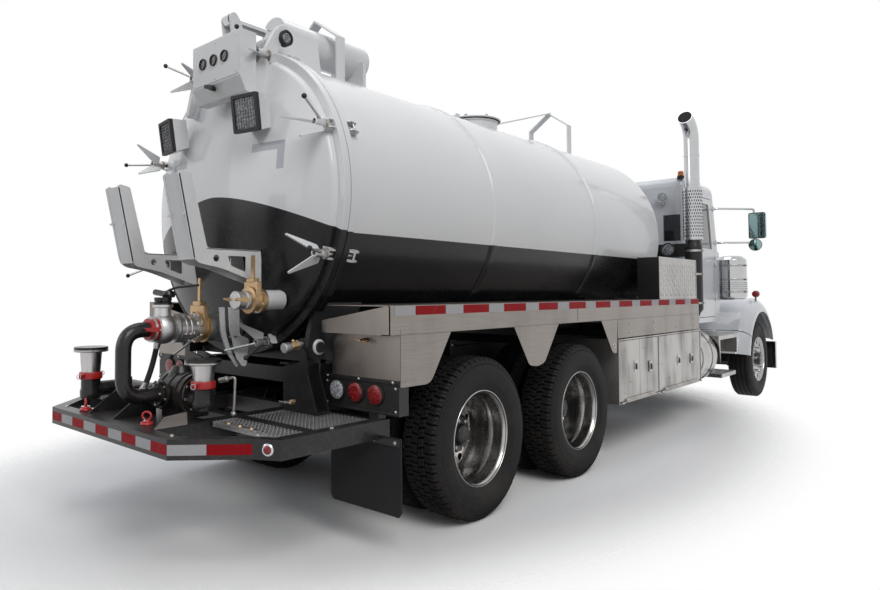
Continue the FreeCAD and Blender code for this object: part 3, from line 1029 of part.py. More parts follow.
def pump_set():
    """Black transfer pump on the platform, with its two capped fill ports."""
    level = "PlatTopZ"
    main = "BumpRearX + 420"
    parts = [rod("pump_case", "y", "118", ("-290", "-26"), (main, f"{level} + 130")),
             rod("pump_inlet", "x", "58", ("BumpRearX + 268", main), ("-134", f"{level} + 130")),
             cone("pump_neck", "z", ("90", "45"), (f"{level} + 200", f"{level} + 280"), (main, "-110")),
             box("pump_foot", (f"{main} - 80", f"{main} + 80"), ("-280", "-40"), (level, f"{level} + 60")),
             rod("port_run_right", "y", "48", ("-400", "-200"), ("BumpRearX + 385", f"{level} + 110")),
             rod("port_run_left", "y", "48", ("-60", "480"), ("BumpRearX + 385", f"{level} + 110")),
             rod("port_run_back", "x", "48", ("BumpRearX + 150", "BumpRearX + 385"),
                 ("480", f"{level} + 110"))]
    for index, (spot_x, spot_y, rise) in enumerate((("BumpRearX + 385", "-400", "325"),
                                                    ("BumpRearX + 150", "480", "360"))):
        parts += [rod(f"port_body_{index}", "z", "56", (f"{level} + 60", f"{level} + 210"),
                      (spot_x, spot_y)),
                  cone(f"port_cone_{index}", "z", ("50", "60"), (f"{level} + 210", f"{level} + {rise}"),
                       (spot_x, spot_y)),
                  rod(f"port_cap_{index}", "z", "100", (f"{level} + {rise}", f"{level} + {rise} + 14"),
                      (spot_x, spot_y))]
    return node(fuse("pump_set", parts), "pump_set")


def shell_keepout(name):
    """The space of the tank's shell and bands, which parts resting on it are trimmed to."""
    spans = [("ShellRadius", "SeamX", "TankFrontX + 400"), ("FlangeRadius", "SeamX - 100", "SeamX + FlangeWide")]
    for middle in ("BandRearX", "(BandRearX + BandGap)"):
        spans.append(("BandRadius", f"{middle} - BandWide / 2", f"{middle} + BandWide / 2"))
    return fuse(name, [rod(f"{name}_{index}", "x", f"{radius} + RunGap", (f"{low} - RunGap", f"{high} + RunGap"),
                           ("0", "TankAxisZ")) for index, (radius, low, high) in enumerate(spans)])


def tank():
    second = "(BandRearX + BandGap)"
    flange = "SeamX + FlangeWide"
    skin = lathe("tank_skin", "x", [
        ("SeamX", "0"), ("SeamX", "FlangeRadius"), (flange, "FlangeRadius"), (flange, "ShellRadius"),
        ("BandRearX - BandWide / 2", "ShellRadius"), ("BandRearX - BandWide / 2", "BandRadius"),
        ("BandRearX + BandWide / 2", "BandRadius"), ("BandRearX + BandWide / 2", "ShellRadius"),
        (f"{second} - BandWide / 2", "ShellRadius"), (f"{second} - BandWide / 2", "BandRadius"),
        (f"{second} + BandWide / 2", "BandRadius"), (f"{second} + BandWide / 2", "ShellRadius"),
        ("TankFrontX", "ShellRadius"), ("TankFrontX", "0")], ("0", "0", "TankAxisZ"))
    crown = "TankAxisZ + ShellRadius"
    neck = rod("manway_neck", "z", "ManwayRadius", (f"{crown} - 80", f"{crown} + ManwayNeck"), ("ManwayX", "0"))
    inside = rod("tank_inside", "x", "ShellRadius - ShellWall", ("SeamX - 10", "TankFrontX + 10"),
                 ("0", "TankAxisZ"))
    bore = rod("manway_bore", "z", "ManwayRadius - 12", ("TankAxisZ", f"{crown} + ManwayNeck + 10"),
               ("ManwayX", "0"))
    node(cut("tank_shell", fuse("tank_solid", [skin, neck]), [inside, bore]), "tank_shell")
    dish = "(ShellRadius ^ 2 + HeadDepth ^ 2) / (2 * HeadDepth)"
    low, deep = "(ShellRadius - ShellWall)", "(HeadDepth - ShellWall)"
    inner = f"({low} ^ 2 + {deep} ^ 2) / (2 * {deep})"
    knuckle_x = "TankFrontX + 40"
    node(lathe("tank_head", "x", [
        ("TankFrontX", low), ("TankFrontX", "ShellRadius"), (knuckle_x, "ShellRadius"),
        (f"{knuckle_x} + HeadDepth", "0", dish), (f"{knuckle_x} + HeadDepth - ShellWall", "0"),
        (knuckle_x, low, f"-({inner})")], ("0", "0", "TankAxisZ")), "tank_head")


def tank_subframe():
    """Rails under the shell, their cross beam and the lugs that turn on the tipping pins."""
    foot = "RailTop + 8"
    rail = box("sub_rail", ("TipPinX + 130", "TankFrontX"), ("-RailHalf", "-RailHalf + RailFlange"),
               (foot, "TankAxisZ - ShellRadius + 140"))
    beam = box("sub_beam", ("TipPinX + 75", "TipPinX + 135"), ("-LugY", "LugY"), (foot, "TankAxisZ - 600"))
    lug = slab("tip_lug", "XZ", [
        ("TipPinX - LugRadius * 0.5", "TipPinZ - LugRadius * 0.86"), ("TipPinX - LugRadius", "TipPinZ"),
        ("TipPinX - LugRadius * 0.8", "TipPinZ + LugRadius"), ("TipPinX + 5", "TankAxisZ - 600"),
        ("TipPinX + 400", "TankAxisZ - 600"), ("TipPinX + 150", foot),
        ("TipPinX + LugRadius * 0.5", "TipPinZ - LugRadius * 0.86")],
        ("-LugY - LugWide / 2", "-LugY + LugWide / 2"))
    bore = rod("tip_bore", "y", "TipPinRadius + RunGap", ("-LugY - 80", "-LugY + 80"), ("TipPinX", "TipPinZ"))
    lug_cut = cut("tip_lug_bored", lug, bore)
    ear = box("hoist_ear", ("HoistEyeX - 40", "HoistEyeX + 40"), ("-HoistEye - 24", "-HoistEye - 8"),
              ("HoistEyeZ - 40", "TankAxisZ - ShellRadius + 60"))
    tie = box("hoist_tie", ("HoistEyeX - 40", "HoistEyeX + 40"), ("-RailHalf + RailFlange", "-HoistEye - 8"),
              (foot, "TankAxisZ - ShellRadius + 60"))
    parts = [beam]
    for piece in (rail, lug_cut, ear, tie):
        parts += [piece, mirrored(piece.Name + "_left", piece)]
    trimmed = cut("tank_subframe", fuse("subframe_raw", parts), shell_keepout("subframe_room"))
    return node(trimmed, "tank_subframe")


def tank_top_gear():
    """Door hinge ears, lift cylinder cradle, guard arches and rail along the tank's top."""
    crown = "TankAxisZ + ShellRadius"
    ear = slab("lift_ear", "XZ", [
        ("LiftPinX - 40", "LiftPinZ"), ("LiftPinX - 20", "LiftPinZ + 45"), ("LiftPinX + 60", "LiftPinZ + 100"),
        ("LiftPinX + 420", "LiftPinZ + 100"), ("LiftPinX + 460", f"{crown} - 60"),
        ("SeamX + FlangeWide + 4", f"{crown} - 60"), ("SeamX + FlangeWide + 4", "LiftPinZ - 30"),
        ("LiftPinX - 20", "LiftPinZ - 36")], ("-EarY - EarWide / 2", "-EarY + EarWide / 2"))
    pin = rod("lift_pin", "y", "LiftPinRadius", ("-ArmY - ArmWide / 2 - 16", "ArmY + ArmWide / 2 + 16"),
              ("LiftPinX", "LiftPinZ"))
    saddles = [box(f"lift_saddle_{index}", (spot, f"{spot} + 30"), ("-EarY + 40", "EarY - 40"),
                   (f"{crown} - 60", "LiftPinZ + LiftEyeBack - 40"))
               for index, spot in enumerate(("LiftRearX + 60", "LiftFrontX - 120"))]
    arches = []
    for index, spot in enumerate(("LiftRearX + 380", "LiftRearX + 3910")):
        outline = [("-235", f"{crown} - 60"), ("-235", f"{crown} + 300"), ("0", f"{crown} + 470"),
                   ("235", f"{crown} + 300"), ("235", f"{crown} - 60"), ("223", f"{crown} - 60"),
                   ("223", f"{crown} + 292"), ("0", f"{crown} + 455"), ("-223", f"{crown} + 292"),
                   ("-223", f"{crown} - 60")]
        arches.append(slab(f"guard_arch_{index}", "YZ", outline, (spot, f"{spot} + 85")))
    rail = slab("guard_rail", "XZ", [
        ("ManwayX + LidRadius + 45", f"{crown} - 60"), ("ManwayX + LidRadius + 45", f"{crown} + 40"),
        ("ManwayX + LidRadius + 110", f"{crown} + 140"), ("LiftRearX + 3912", f"{crown} + 468"),
        ("LiftRearX + 3912", f"{crown} + 455"), ("ManwayX + LidRadius + 118", f"{crown} + 128"),
        ("ManwayX + LidRadius + 57", f"{crown} + 36"), ("ManwayX + LidRadius + 57", f"{crown} - 60")],
        ("-40", "40"))
    brackets = [box(f"lid_bracket_{index}", ("ManwayX - LidRadius - 55", "ManwayX - LidRadius - 6"),
                    (low, high), (f"{crown} - 60", f"{crown} + ManwayNeck + 32"))
                for index, (low, high) in enumerate((("-62", "-50"), ("50", "62")))]
    lid_pin = rod("lid_pin", "y", "9", ("-66", "66"), ("ManwayX - LidRadius - 30", f"{crown} + ManwayNeck + 12"))
    rooms = [shell_keepout("top_room"),
             rod("lift_room", "x", "LiftRadius + RunGap", ("LiftRearX", "LiftFrontX"),
                 ("0", "LiftPinZ + LiftEyeBack"))]
    pieces = [fuse("ears_and_pin", [ear, mirrored("lift_ear_left", ear), pin]),
              fuse("rail_and_arch", [rail, arches[1]]), arches[0], fuse("lid_hinge", brackets + [lid_pin])]
    trimmed = [cut(f"top_gear_{index}", piece, rod_away) for index, (piece, rod_away) in enumerate(
        zip(pieces, [shell_keepout(f"top_room_{index}") for index in range(4)]))]
    trimmed.append(cut("saddles", fuse("saddles_raw", saddles), rooms))
    return node(group("tank_top_gear", trimmed), "tank_top_gear")


def lift_cylinder():
    axis_z = "LiftPinZ + LiftEyeBack"
    bore = "LiftRodRadius + RunGap"
    node(lathe("lift_barrel", "x", [
        ("LiftRearX", bore), ("LiftRearX", "LiftRadius"), ("LiftFrontX", "LiftRadius"), ("LiftFrontX", "0"),
        ("LiftRearX + 490", "0"), ("LiftRearX + 490", bore)], ("0", "0", axis_z)), "lift_barrel")
    ram = rod("lift_ram", "x", "LiftRodRadius", ("LiftPinX - LiftEyeBack", "LiftRearX + 140"), ("0", axis_z))
    eye = rod("lift_eye", "y", "LiftRodRadius + 12", ("-28", "28"), ("LiftPinX - LiftEyeBack", axis_z))
    node(fuse("lift_rod", [ram, eye]), "lift_rod")


def aimed(body, start, finish):
    """Turn a body lying along X so that it points from start to finish in the XZ plane."""
    body.Placement = Placement(Vector(), Rotation(Vector(0, -1, 0), 10))
    bind(body, "Placement.Base.x", start[0])
    bind(body, "Placement.Base.z", start[1])
    bind(body, "Placement.Rotation.Angle",
         f"atan2(({finish[1]}) - ({start[1]}); ({finish[0]}) - ({start[0]}))")
    return body


def hoist():
    """Ram under the tank: its base turns on the frame and its eye lifts the subframe."""
    base, eye_at = ("HoistX", "HoistZ"), ("HoistEyeX", "HoistEyeZ")
    reach = "sqrt((HoistEyeX - HoistX) ^ 2 + (HoistEyeZ - HoistZ) ^ 2)"
    bore = "HoistRam + RunGap"
    tube = lathe("hoist_tube", "x", [
        ("30", "0"), ("60", "HoistRadius"), (f"{reach} - 110", "HoistRadius"), (f"{reach} - 110", bore),
        ("150", bore), ("150", "0")], ("0", "0", "0"))
    eye = rod("hoist_base_eye", "y", "HoistEye", ("-HoistEye", "HoistEye"), base)
    hole = rod("hoist_base_bore", "y", "25 + RunGap", ("-HoistEye - 10", "HoistEye + 10"), base)
    node(cut("hoist_barrel", fuse("hoist_barrel_solid", [aimed(tube, base, eye_at), eye]), hole), "hoist_barrel")
    ram = lathe("hoist_ram", "x", [("180", "0"), ("180", "HoistRam"), (f"{reach} - 20", "HoistRam"),
                                   (f"{reach} - 20", "0")], ("0", "0", "0"))
    top = rod("hoist_top_eye", "y", "HoistEye", ("-HoistEye", "HoistEye"), eye_at)
    node(fuse("hoist_rod", [aimed(ram, base, eye_at), top]), "hoist_rod")


def manway_lid():
    top = "TankAxisZ + ShellRadius + ManwayNeck"
    disc = lathe("lid_disc", "z", [
        (f"{top} + 6", "0"), (f"{top} + 6", "LidRadius"), (f"{top} + 18", "LidRadius"),
        (f"{top} + 34", "LidRadius - 60"), (f"{top} + 40", "0")], ("ManwayX", "0", "0"))
    knob = rod("lid_knob", "z", "24", (f"{top} + 30", f"{top} + 78"), ("ManwayX", "0"))
    tab = box("lid_tab", ("ManwayX - LidRadius - 48", "ManwayX - LidRadius + 40"), ("-44", "44"),
              (f"{top} + 6", f"{top} + 18"))
    knuckle_bore = rod("lid_bore", "y", "9 + RunGap", ("-60", "60"), ("ManwayX - LidRadius - 30", f"{top} + 12"))
    barrel = rod("lid_knuckle", "y", "16", ("-44", "44"), ("ManwayX - LidRadius - 30", f"{top} + 12"))
    return node(cut("manway_lid", fuse("lid_solid", [disc, knob, tab, barrel]), knuckle_bore), "manway_lid")


def dish_outline(grow, closed):
    """Outer line of the rear door from its seam to its middle, moved out by grow."""
    seam = "SeamX - DoorSeal"
    ring_x = f"{seam} - DoorRing - {grow}"
    knee = f"{ring_x} - DoorKnee"
    wide = f"(DoorRadius + {grow})"
    dish = f"({wide} ^ 2 + CrownDepth ^ 2) / (2 * CrownDepth)"
    start = [(f"{seam} + 60", "0"), (f"{seam} + 60", f"FlangeRadius + {grow}")] if closed else [
        (seam, "DoorRadius - CrownWall"), (seam, "FlangeRadius")]
    return start + [(ring_x, f"FlangeRadius + {grow}"), (ring_x, wide), (knee, wide),
                    (f"{knee} - CrownDepth", "0", f"-({dish})")]


def trimmed_to_door(name, parts):
    """Fittings cut back to the outside of the door's dish."""
    room = lathe(name + "_room", "x", dish_outline("RunGap", True), ("0", "0", "TankAxisZ"))
    return cut(name, fuse(name + "_raw", parts), room)


def rear_door():
    knee = "SeamX - DoorSeal - DoorRing - DoorKnee"
    low = "(DoorRadius - CrownWall)"
    inner = f"({low} ^ 2 + (CrownDepth - 2) ^ 2) / (2 * (CrownDepth - 2))"
    door = lathe("door_dish", "x", dish_outline("0", False) + [
        (f"{knee} - CrownDepth + CrownWall", "0"), (f"{knee} + CrownWall - 2", low, inner)],
        ("0", "0", "TankAxisZ"))
    arm = slab("hinge_arm", "XZ", [
        ("LiftPinX + 44", "LiftPinZ + 10"), ("LiftPinX + 10", "LiftPinZ + 44"), ("LiftPinX - 60", "LiftPinZ + 30"),
        ("SeamX - 190", "LiftPinZ - 230"), ("SeamX - 235", "LiftPinZ - 440"), ("SeamX - 130", "LiftPinZ - 440"),
        ("SeamX - 70", "LiftPinZ - 230"), ("SeamX - 20", "LiftPinZ - 80"), ("LiftPinX + 30", "LiftPinZ - 40")],
        ("-ArmY - ArmWide / 2", "-ArmY + ArmWide / 2"))
    bore = rod("hinge_bore", "y", "LiftPinRadius + RunGap", ("-ArmY - 60", "-ArmY + 60"), ("LiftPinX", "LiftPinZ"))
    arm_cut = cut("hinge_arm_bored", arm, bore)
    horn = slab("lift_horn", "XZ", [
        ("LiftPinX - LiftEyeBack - 40", "LiftPinZ + LiftEyeBack + 8"),
        ("LiftPinX - LiftEyeBack + 8", "LiftPinZ + LiftEyeBack + 42"),
        ("LiftPinX - LiftEyeBack + 50", "LiftPinZ + LiftEyeBack - 10"), ("LiftPinX - 60", "LiftPinZ - 20"),
        ("SeamX - 20", "TankAxisZ + FlangeRadius - 20"), ("SeamX - 110", "TankAxisZ + DoorRadius - 110")],
        ("LiftRodRadius + 6", "LiftRodRadius + 22"))
    clamps = []
    count = int(number("Clamps"))
    for index in range(count):
        turn = 360 * (index + 0.5) / count
        across, up = f"ClampCircle * cos({turn} deg)", f"TankAxisZ + ClampCircle * sin({turn} deg)"
        bolt = rod(f"clamp_bolt_{index}", "x", "13", ("SeamX - DoorSeal - DoorRing - 100", "SeamX - DoorSeal - DoorRing"),
                   (across, up))
        wing = box(f"clamp_wing_{index}", ("SeamX - DoorSeal - DoorRing - 88", "SeamX - DoorSeal - DoorRing - 66"),
                   (f"{across} - 60", f"{across} + 60"), (f"{up} - 9", f"{up} + 9"))
        clamps.append(fuse(f"clamp_{index}", [bolt, wing]))
    parts = [door, arm_cut, mirrored("hinge_arm_left", arm_cut), horn, mirrored("lift_horn_right", horn)]
    return node(fuse("rear_door", parts + clamps), "rear_door")


def door_fittings():
    """Hose hooks, valves, elbow and suction pipe, gauge box, work lights and clamps."""
    back = "SeamX - DoorSeal - DoorRing - DoorKnee - CrownDepth"
    hook_root = "TankAxisZ - 435"
    plates = []
    for index, spot in enumerate(("-HookOut", "-HookIn")):
        plate = slab(f"hook_plate_{index}", "XZ", [
            (f"{back} + 60", f"{hook_root} - 100"), (f"{back} - 210", f"{hook_root} - 10"),
            ("HookX + 105", f"{hook_root} + 20"), ("HookX", "HookTopZ - 15"), ("HookX + 20", "HookTopZ"),
            ("HookX + 85", "HookTopZ - 12"), ("HookX + 190", f"{hook_root} + 100"),
            (f"{back} + 60", f"{hook_root} + 100")], (spot, f"{spot} + 8"))
        hole = rod(f"hook_hole_{index}", "y", "20", (f"{spot} - 10", f"{spot} + 20"),
                   (f"{back} - 249", f"{hook_root} + 45"))
        wedge = slab(f"hook_wedge_{index}", "XZ", [
            (f"{back} - 174", f"{hook_root} + 62"), (f"{back} - 149", f"{hook_root} + 5"),
            (f"{back} - 44", f"{hook_root} - 30"), (f"{back} - 44", f"{hook_root} + 62")],
            (f"{spot} - 10", f"{spot} + 20"))
        plates.append(cut(f"hook_side_{index}", plate, [hole, wedge]))
    web = slab("hook_web", "XZ", [
        ("HookX + 107", f"{hook_root} + 35"), ("HookX + 8", "HookTopZ - 30"), ("HookX + 17", "HookTopZ - 30"),
        ("HookX + 116", f"{hook_root} + 35")], ("-HookOut", "-HookIn"))
    shelf = box("hook_shelf", ("HookX + 195", f"{back} + 60"), ("-HookOut", "-HookIn"),
                (f"{hook_root} + 92", f"{hook_root} + 100"))
    hooks = trimmed_to_door("hooks_right", plates + [web, shelf])
    node(pair("door_hooks", hooks), "door_hooks")

    right_z, left_z = "TankAxisZ - 626", "TankAxisZ - 790"
    right = [rod("stub_right", "x", "57", (f"{back} - 110", f"{back} + 120"), ("-518", right_z)),
             rod("valve_right", "x", "74", (f"{back} - 158", f"{back} - 110"), ("-518", right_z)),
             rod("cap_right", "x", "50", (f"{back} - 230", f"{back} - 158"), ("-518", right_z)),
             box("lever_right", (f"{back} - 150", f"{back} - 128"), ("-532", "-504"),
                 (right_z, "TankAxisZ - 420"))]
    left = [rod("stub_left", "x", "75", (f"{back} - 120", f"{back} + 120"), ("-90", left_z)),
            rod("valve_left", "x", "92", (f"{back} - 172", f"{back} - 120"), ("-90", left_z)),
            box("lever_left", (f"{back} - 160", f"{back} - 136"), ("-104", "-76"),
                (left_z, "TankAxisZ - 600"))]
    node(group("door_valves", [trimmed_to_door("valve_set_right", right),
                               trimmed_to_door("valve_set_left", left)]), "door_valves")

    elbow_x = "BumpRearX + 270"
    pipe_z = "PlatTopZ + 130"
    run = hose("suction_pipe", [(elbow_x, "-134", left_z), ("BumpRearX + 50", "-134", left_z),
                                ("BumpRearX + 50", "-134", pipe_z), ("BumpRearX + 262", "-134", pipe_z)],
               "42", "80")
    parts = [run, rod("coupling", "x", "70", (f"{back} - 330", f"{back} - 172 - RunGap"), ("-90", left_z)),
             ball("elbow_body", "92", (f"{back} - 395", "-104", left_z)),
             rod("camlock", "x", "60", (f"{elbow_x} - 60", f"{elbow_x} + 20"), ("-134", left_z)),
             rod("elbow_riser", "z", "46", (left_z, f"{left_z} + 150"), (f"{back} - 395", "-104")),
             rod("riser_cap", "z", "56", (f"{left_z} + 150", f"{left_z} + 180"), (f"{back} - 395", "-104")),
             rod("elbow_branch", "y", "48", ("-104", "60"), (f"{back} - 395", left_z)),
             rod("pipe_flange", "x", "66", ("BumpRearX + 244", "BumpRearX + 262"), ("-134", pipe_z))]
    node(fuse("door_piping", parts), "door_piping")

    case = box("gauge_case", ("GaugeX", "GaugeX + GaugeDeep"), ("-420", "78"), ("GaugeLowZ", "GaugeLowZ + 365"))
    mount = box("gauge_mount", ("GaugeX + GaugeDeep", "SeamX - 80"), ("-260", "-100"),
                ("GaugeLowZ + 60", "GaugeLowZ + 210"))
    dials = [rod(f"dial_{index}", "x", "35", ("GaugeX - 12", "GaugeX + 10"),
                 (f"-271 + {index} * 114", "GaugeLowZ + 233")) for index in range(3)]
    node(trimmed_to_door("gauge_box", [case, mount] + dials), "gauge_box")

    lamps = []
    for index, (low, high) in enumerate((("-540", "-340"), ("340", "540"))):
        lamps.append(trimmed_to_door(f"work_light_{index}", [
            box(f"light_hood_{index}", (f"{back} - 80", f"{back} + 30"), (low, high),
                ("TankAxisZ + 355", "TankAxisZ + 575")),
            box(f"light_arm_{index}", (f"{back} + 25", f"{back} + 140"), (f"{low} + 80", f"{low} + 120"),
                ("TankAxisZ + 420", "TankAxisZ + 480"))]))
    node(group("work_lights", lamps), "work_lights")


PIECES = [frame_rails, front_suspension, rear_bogie, engine_radiator, cab, cab_interior, front_bumper,
          fender_tails, fuel_tanks, cab_steps, air_cleaners, exhaust_stack, mirrors, deck_sides, tool_boxes,
          guard_boxes, rear_platform, platform_grating, tail_lights, mud_flaps, pump_set, tool_doors, hood,
          hood_trim, tank, tank_subframe, tank_top_gear, lift_cylinder, hoist, manway_lid, rear_door,
          door_fittings]
for piece in PIECES:
    piece()
    print("made", piece.__name__, flush=True)
for side, sign in (("right", -1), ("left", 1)):
    knuckle(side, sign)
    front_wheel(side, sign)
    cab_door(side, sign)
    rear_wheels("rear", "RearAxleX", side, sign)
    rear_wheels("mid", "RearAxleX + BogieGap", side, sign)

doc.recompute()
faults = []
for item in doc.Objects:
    if "Invalid" in item.State or "Error" in item.State:
        faults.append(item.Name)
for item in nodes:
    if item.Shape.isNull() or not item.Shape.isValid():
        faults.append(item.Label + " shape")
if faults:
    raise ValueError("faulty pieces: " + ", ".join(faults))

os.makedirs("parts", exist_ok=True)
for item in nodes:
    item.Shape.exportStep(os.path.join("parts", item.Label + ".step"))
print(len(nodes), "pieces written")
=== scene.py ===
import math

import bmesh
import bpy
from mathutils import Matrix, Vector
from mathutils.geometry import tessellate_polygon


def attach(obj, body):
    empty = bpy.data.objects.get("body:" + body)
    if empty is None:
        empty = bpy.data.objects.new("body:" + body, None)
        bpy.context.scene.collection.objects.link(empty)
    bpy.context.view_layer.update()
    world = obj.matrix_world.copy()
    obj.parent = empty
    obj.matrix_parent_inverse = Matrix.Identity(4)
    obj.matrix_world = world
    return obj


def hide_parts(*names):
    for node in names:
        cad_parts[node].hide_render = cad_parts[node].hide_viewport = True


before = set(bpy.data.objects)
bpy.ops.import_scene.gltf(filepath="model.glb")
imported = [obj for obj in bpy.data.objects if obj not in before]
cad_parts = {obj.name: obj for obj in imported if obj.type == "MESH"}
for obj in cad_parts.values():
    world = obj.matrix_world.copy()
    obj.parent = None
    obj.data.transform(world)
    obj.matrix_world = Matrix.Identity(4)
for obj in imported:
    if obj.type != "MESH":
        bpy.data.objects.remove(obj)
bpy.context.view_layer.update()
print("frame loaded")


# graphs of finishes and of repeated shapes

class Wire:
    def __init__(self, graph, socket):
        self.graph = graph
        self.socket = socket

    def maths(self, operation, *values):
        return self.graph.node("ShaderNodeMath", {"operation": operation}, dict(enumerate(values)))

    def __add__(self, other):
        return self.maths("ADD", self, other)

    def __radd__(self, other):
        return self.maths("ADD", other, self)

    def __sub__(self, other):
        return self.maths("SUBTRACT", self, other)

    def __rsub__(self, other):
        return self.maths("SUBTRACT", other, self)

    def __mul__(self, other):
        return self.maths("MULTIPLY", self, other)

    def __rmul__(self, other):
        return self.maths("MULTIPLY", other, self)

    def __truediv__(self, other):
        return self.maths("DIVIDE", self, other)

    def __mod__(self, other):
        return self.maths("FLOORED_MODULO", self, other)

    def __pow__(self, other):
        return self.maths("POWER", self, other)

    def __gt__(self, other):
        return self.maths("GREATER_THAN", self, other)

    def __lt__(self, other):
        return self.maths("LESS_THAN", self, other)

    def __abs__(self):
        return self.maths("ABSOLUTE", self)


class Graph:
    def __init__(self, tree):
        self.tree = tree

    def node(self, kind, settings=None, values=None, out=0):
        made = self.tree.nodes.new(kind)
        for key, value in (settings or {}).items():
            setattr(made, key, value)
        for key, value in (values or {}).items():
            socket = made.inputs[key]
            if isinstance(value, Wire):
                self.tree.links.new(value.socket, socket)
            elif socket.type == "RGBA" and len(value) == 3:
                socket.default_value = (*value, 1)
            else:
                socket.default_value = value
        return Wire(self, made.outputs[out]) if made.outputs else None

    def where(self):
        return self.node("ShaderNodeTexCoord", out="Object")

    def along(self, where):
        split = self.node("ShaderNodeSeparateXYZ", {}, {"Vector": where})
        return [Wire(self, split.socket.node.outputs[axis]) for axis in "XYZ"]

    def noise(self, where, scale, detail, stretch=None):
        if stretch:
            where = self.node("ShaderNodeMapping", {}, {"Vector": where, "Scale": stretch})
        return self.node("ShaderNodeTexNoise", {}, {"Vector": where, "Scale": scale, "Detail": detail})

    def rise(self, value, low, high, start=0.0, end=1.0):
        return self.node("ShaderNodeMapRange", {"interpolation_type": "SMOOTHSTEP"}, {
            "Value": value, "From Min": low, "From Max": high, "To Min": start, "To Max": end})

    def blend(self, share, first, second):
        return self.node("ShaderNodeMix", {"data_type": "RGBA"}, {0: share, 6: first, 7: second}, 2)

    def relief(self, height, depth, under=None):
        values = {"Strength": 1.0, "Distance": depth, "Height": height}
        if under:
            values["Normal"] = under
        return self.node("ShaderNodeBump", {}, values)

    def surface(self, values):
        shader = self.node("ShaderNodeBsdfPrincipled", {}, values)
        self.node("ShaderNodeOutputMaterial", {}, {"Surface": shader})


def freshMaterial(name):
    material = bpy.data.materials.new(name)
    material.use_nodes = True
    material.node_tree.nodes.clear()
    return material, Graph(material.node_tree)


# finishes: every colour is linear

# colour, roughness, coat, dust, height the dust thins out at, depth of the skin
paints = {
    "cabPaint": ((0.70, 0.72, 0.76), 0.24, 0.7, 0.25, 1.3, 0.00015),
    "whiteEnamel": ((0.74, 0.75, 0.76), 0.30, 0.4, 0.18, 4.0, 0.0003),
    "frameBlack": ((0.012, 0.012, 0.014), 0.38, 0.05, 0.40, 1.1, 0.0004),
    "deckBlack": ((0.016, 0.016, 0.018), 0.32, 0.06, 0.40, 1.2, 0.0004),
    "pumpBlack": ((0.010, 0.010, 0.011), 0.26, 0.15, 0.3, 1.4, 0.0012),
    "safetyRed": ((0.50, 0.015, 0.02), 0.35, 0.3, 0.3, 2.0, 0.0005),
    "gunGrey": ((0.16, 0.17, 0.19), 0.4, 0.1, 0.3, 2.0, 0.0005),
    "moulded": ((0.018, 0.018, 0.02), 0.55, 0.0, 0.2, 1.2, 0.0006),
}
# colour, roughness, stretch of the grain, its depth, colour of the stains, how stained
metals = {
    # the stainless colour is set dark and warm: painted reflection of dark, warm surroundings
    "stainless": ((0.195, 0.168, 0.148), 0.30, (1.5, 60, 60), 0.00006, (0.13, 0.108, 0.092), 0.5),
    "boxAlloy": ((0.42, 0.40, 0.385), 0.38, (3, 30, 22), 0.0004, (0.10, 0.09, 0.085), 0.75),
    "treadAlloy": ((0.34, 0.33, 0.322), 0.26, (20, 20, 20), 0.0002, (0.22, 0.20, 0.18), 0.5),
    "polished": ((0.34, 0.333, 0.327), 0.20, (30, 3, 30), 0.00002, (0.20, 0.18, 0.165), 0.65),
    "chrome": ((0.48, 0.49, 0.50), 0.05, (4, 4, 4), 0.0, (0.36, 0.36, 0.37), 0.35),
    "castAlloy": ((0.42, 0.42, 0.425), 0.42, (50, 50, 50), 0.0012, (0.38, 0.37, 0.36), 0.5),
    "machined": ((0.45, 0.44, 0.44), 0.30, (90, 8, 8), 0.0002, (0.20, 0.19, 0.18), 0.55),
    "brass": ((0.42, 0.27, 0.12), 0.42, (40, 40, 40), 0.0010, (0.16, 0.09, 0.045), 0.65),
    "boltSteel": ((0.38, 0.37, 0.36), 0.36, (60, 60, 60), 0.0004, (0.14, 0.11, 0.09), 0.6),
    "galvanised": ((0.34, 0.34, 0.35), 0.45, (25, 25, 25), 0.0006, (0.10, 0.085, 0.07), 0.7),
}
# colour, dust, height the dust thins out at, depth of the skin
rubbers = {
    "tyreRubber": ((0.011, 0.011, 0.012), 0.28, 1.1, 0.0006),
    "flapRubber": ((0.022, 0.022, 0.025), 0.16, 0.7, 0.0008),
    "gasket": ((0.012, 0.012, 0.012), 0.1, 3.0, 0.0003),
    "hoseRubber": ((0.014, 0.014, 0.015), 0.2, 2.0, 0.0003),
}
# colour, colour of the cells, their number in a metre, roughness, coat, gloss
lenses = {
    "redLens": ((0.45, 0.012, 0.015), (0.16, 0.004, 0.006), 95, 0.16, 0.4, 0.3),
    "clearLens": ((0.60, 0.62, 0.64), (0.25, 0.26, 0.28), 95, 0.16, 0.4, 0.3),
    "amberLens": ((0.85, 0.22, 0.01), (0.45, 0.09, 0.004), 80, 0.16, 0.4, 0.3),
    "lampLens": ((0.30, 0.31, 0.34), (0.12, 0.125, 0.14), 55, 0.16, 0.4, 0.3),
    "redTape": ((0.36, 0.006, 0.012), (0.26, 0.004, 0.008), 300, 0.5, 0.0, 0.15),
    "whiteTape": ((0.52, 0.52, 0.53), (0.42, 0.42, 0.44), 300, 0.5, 0.0, 0.15),
}


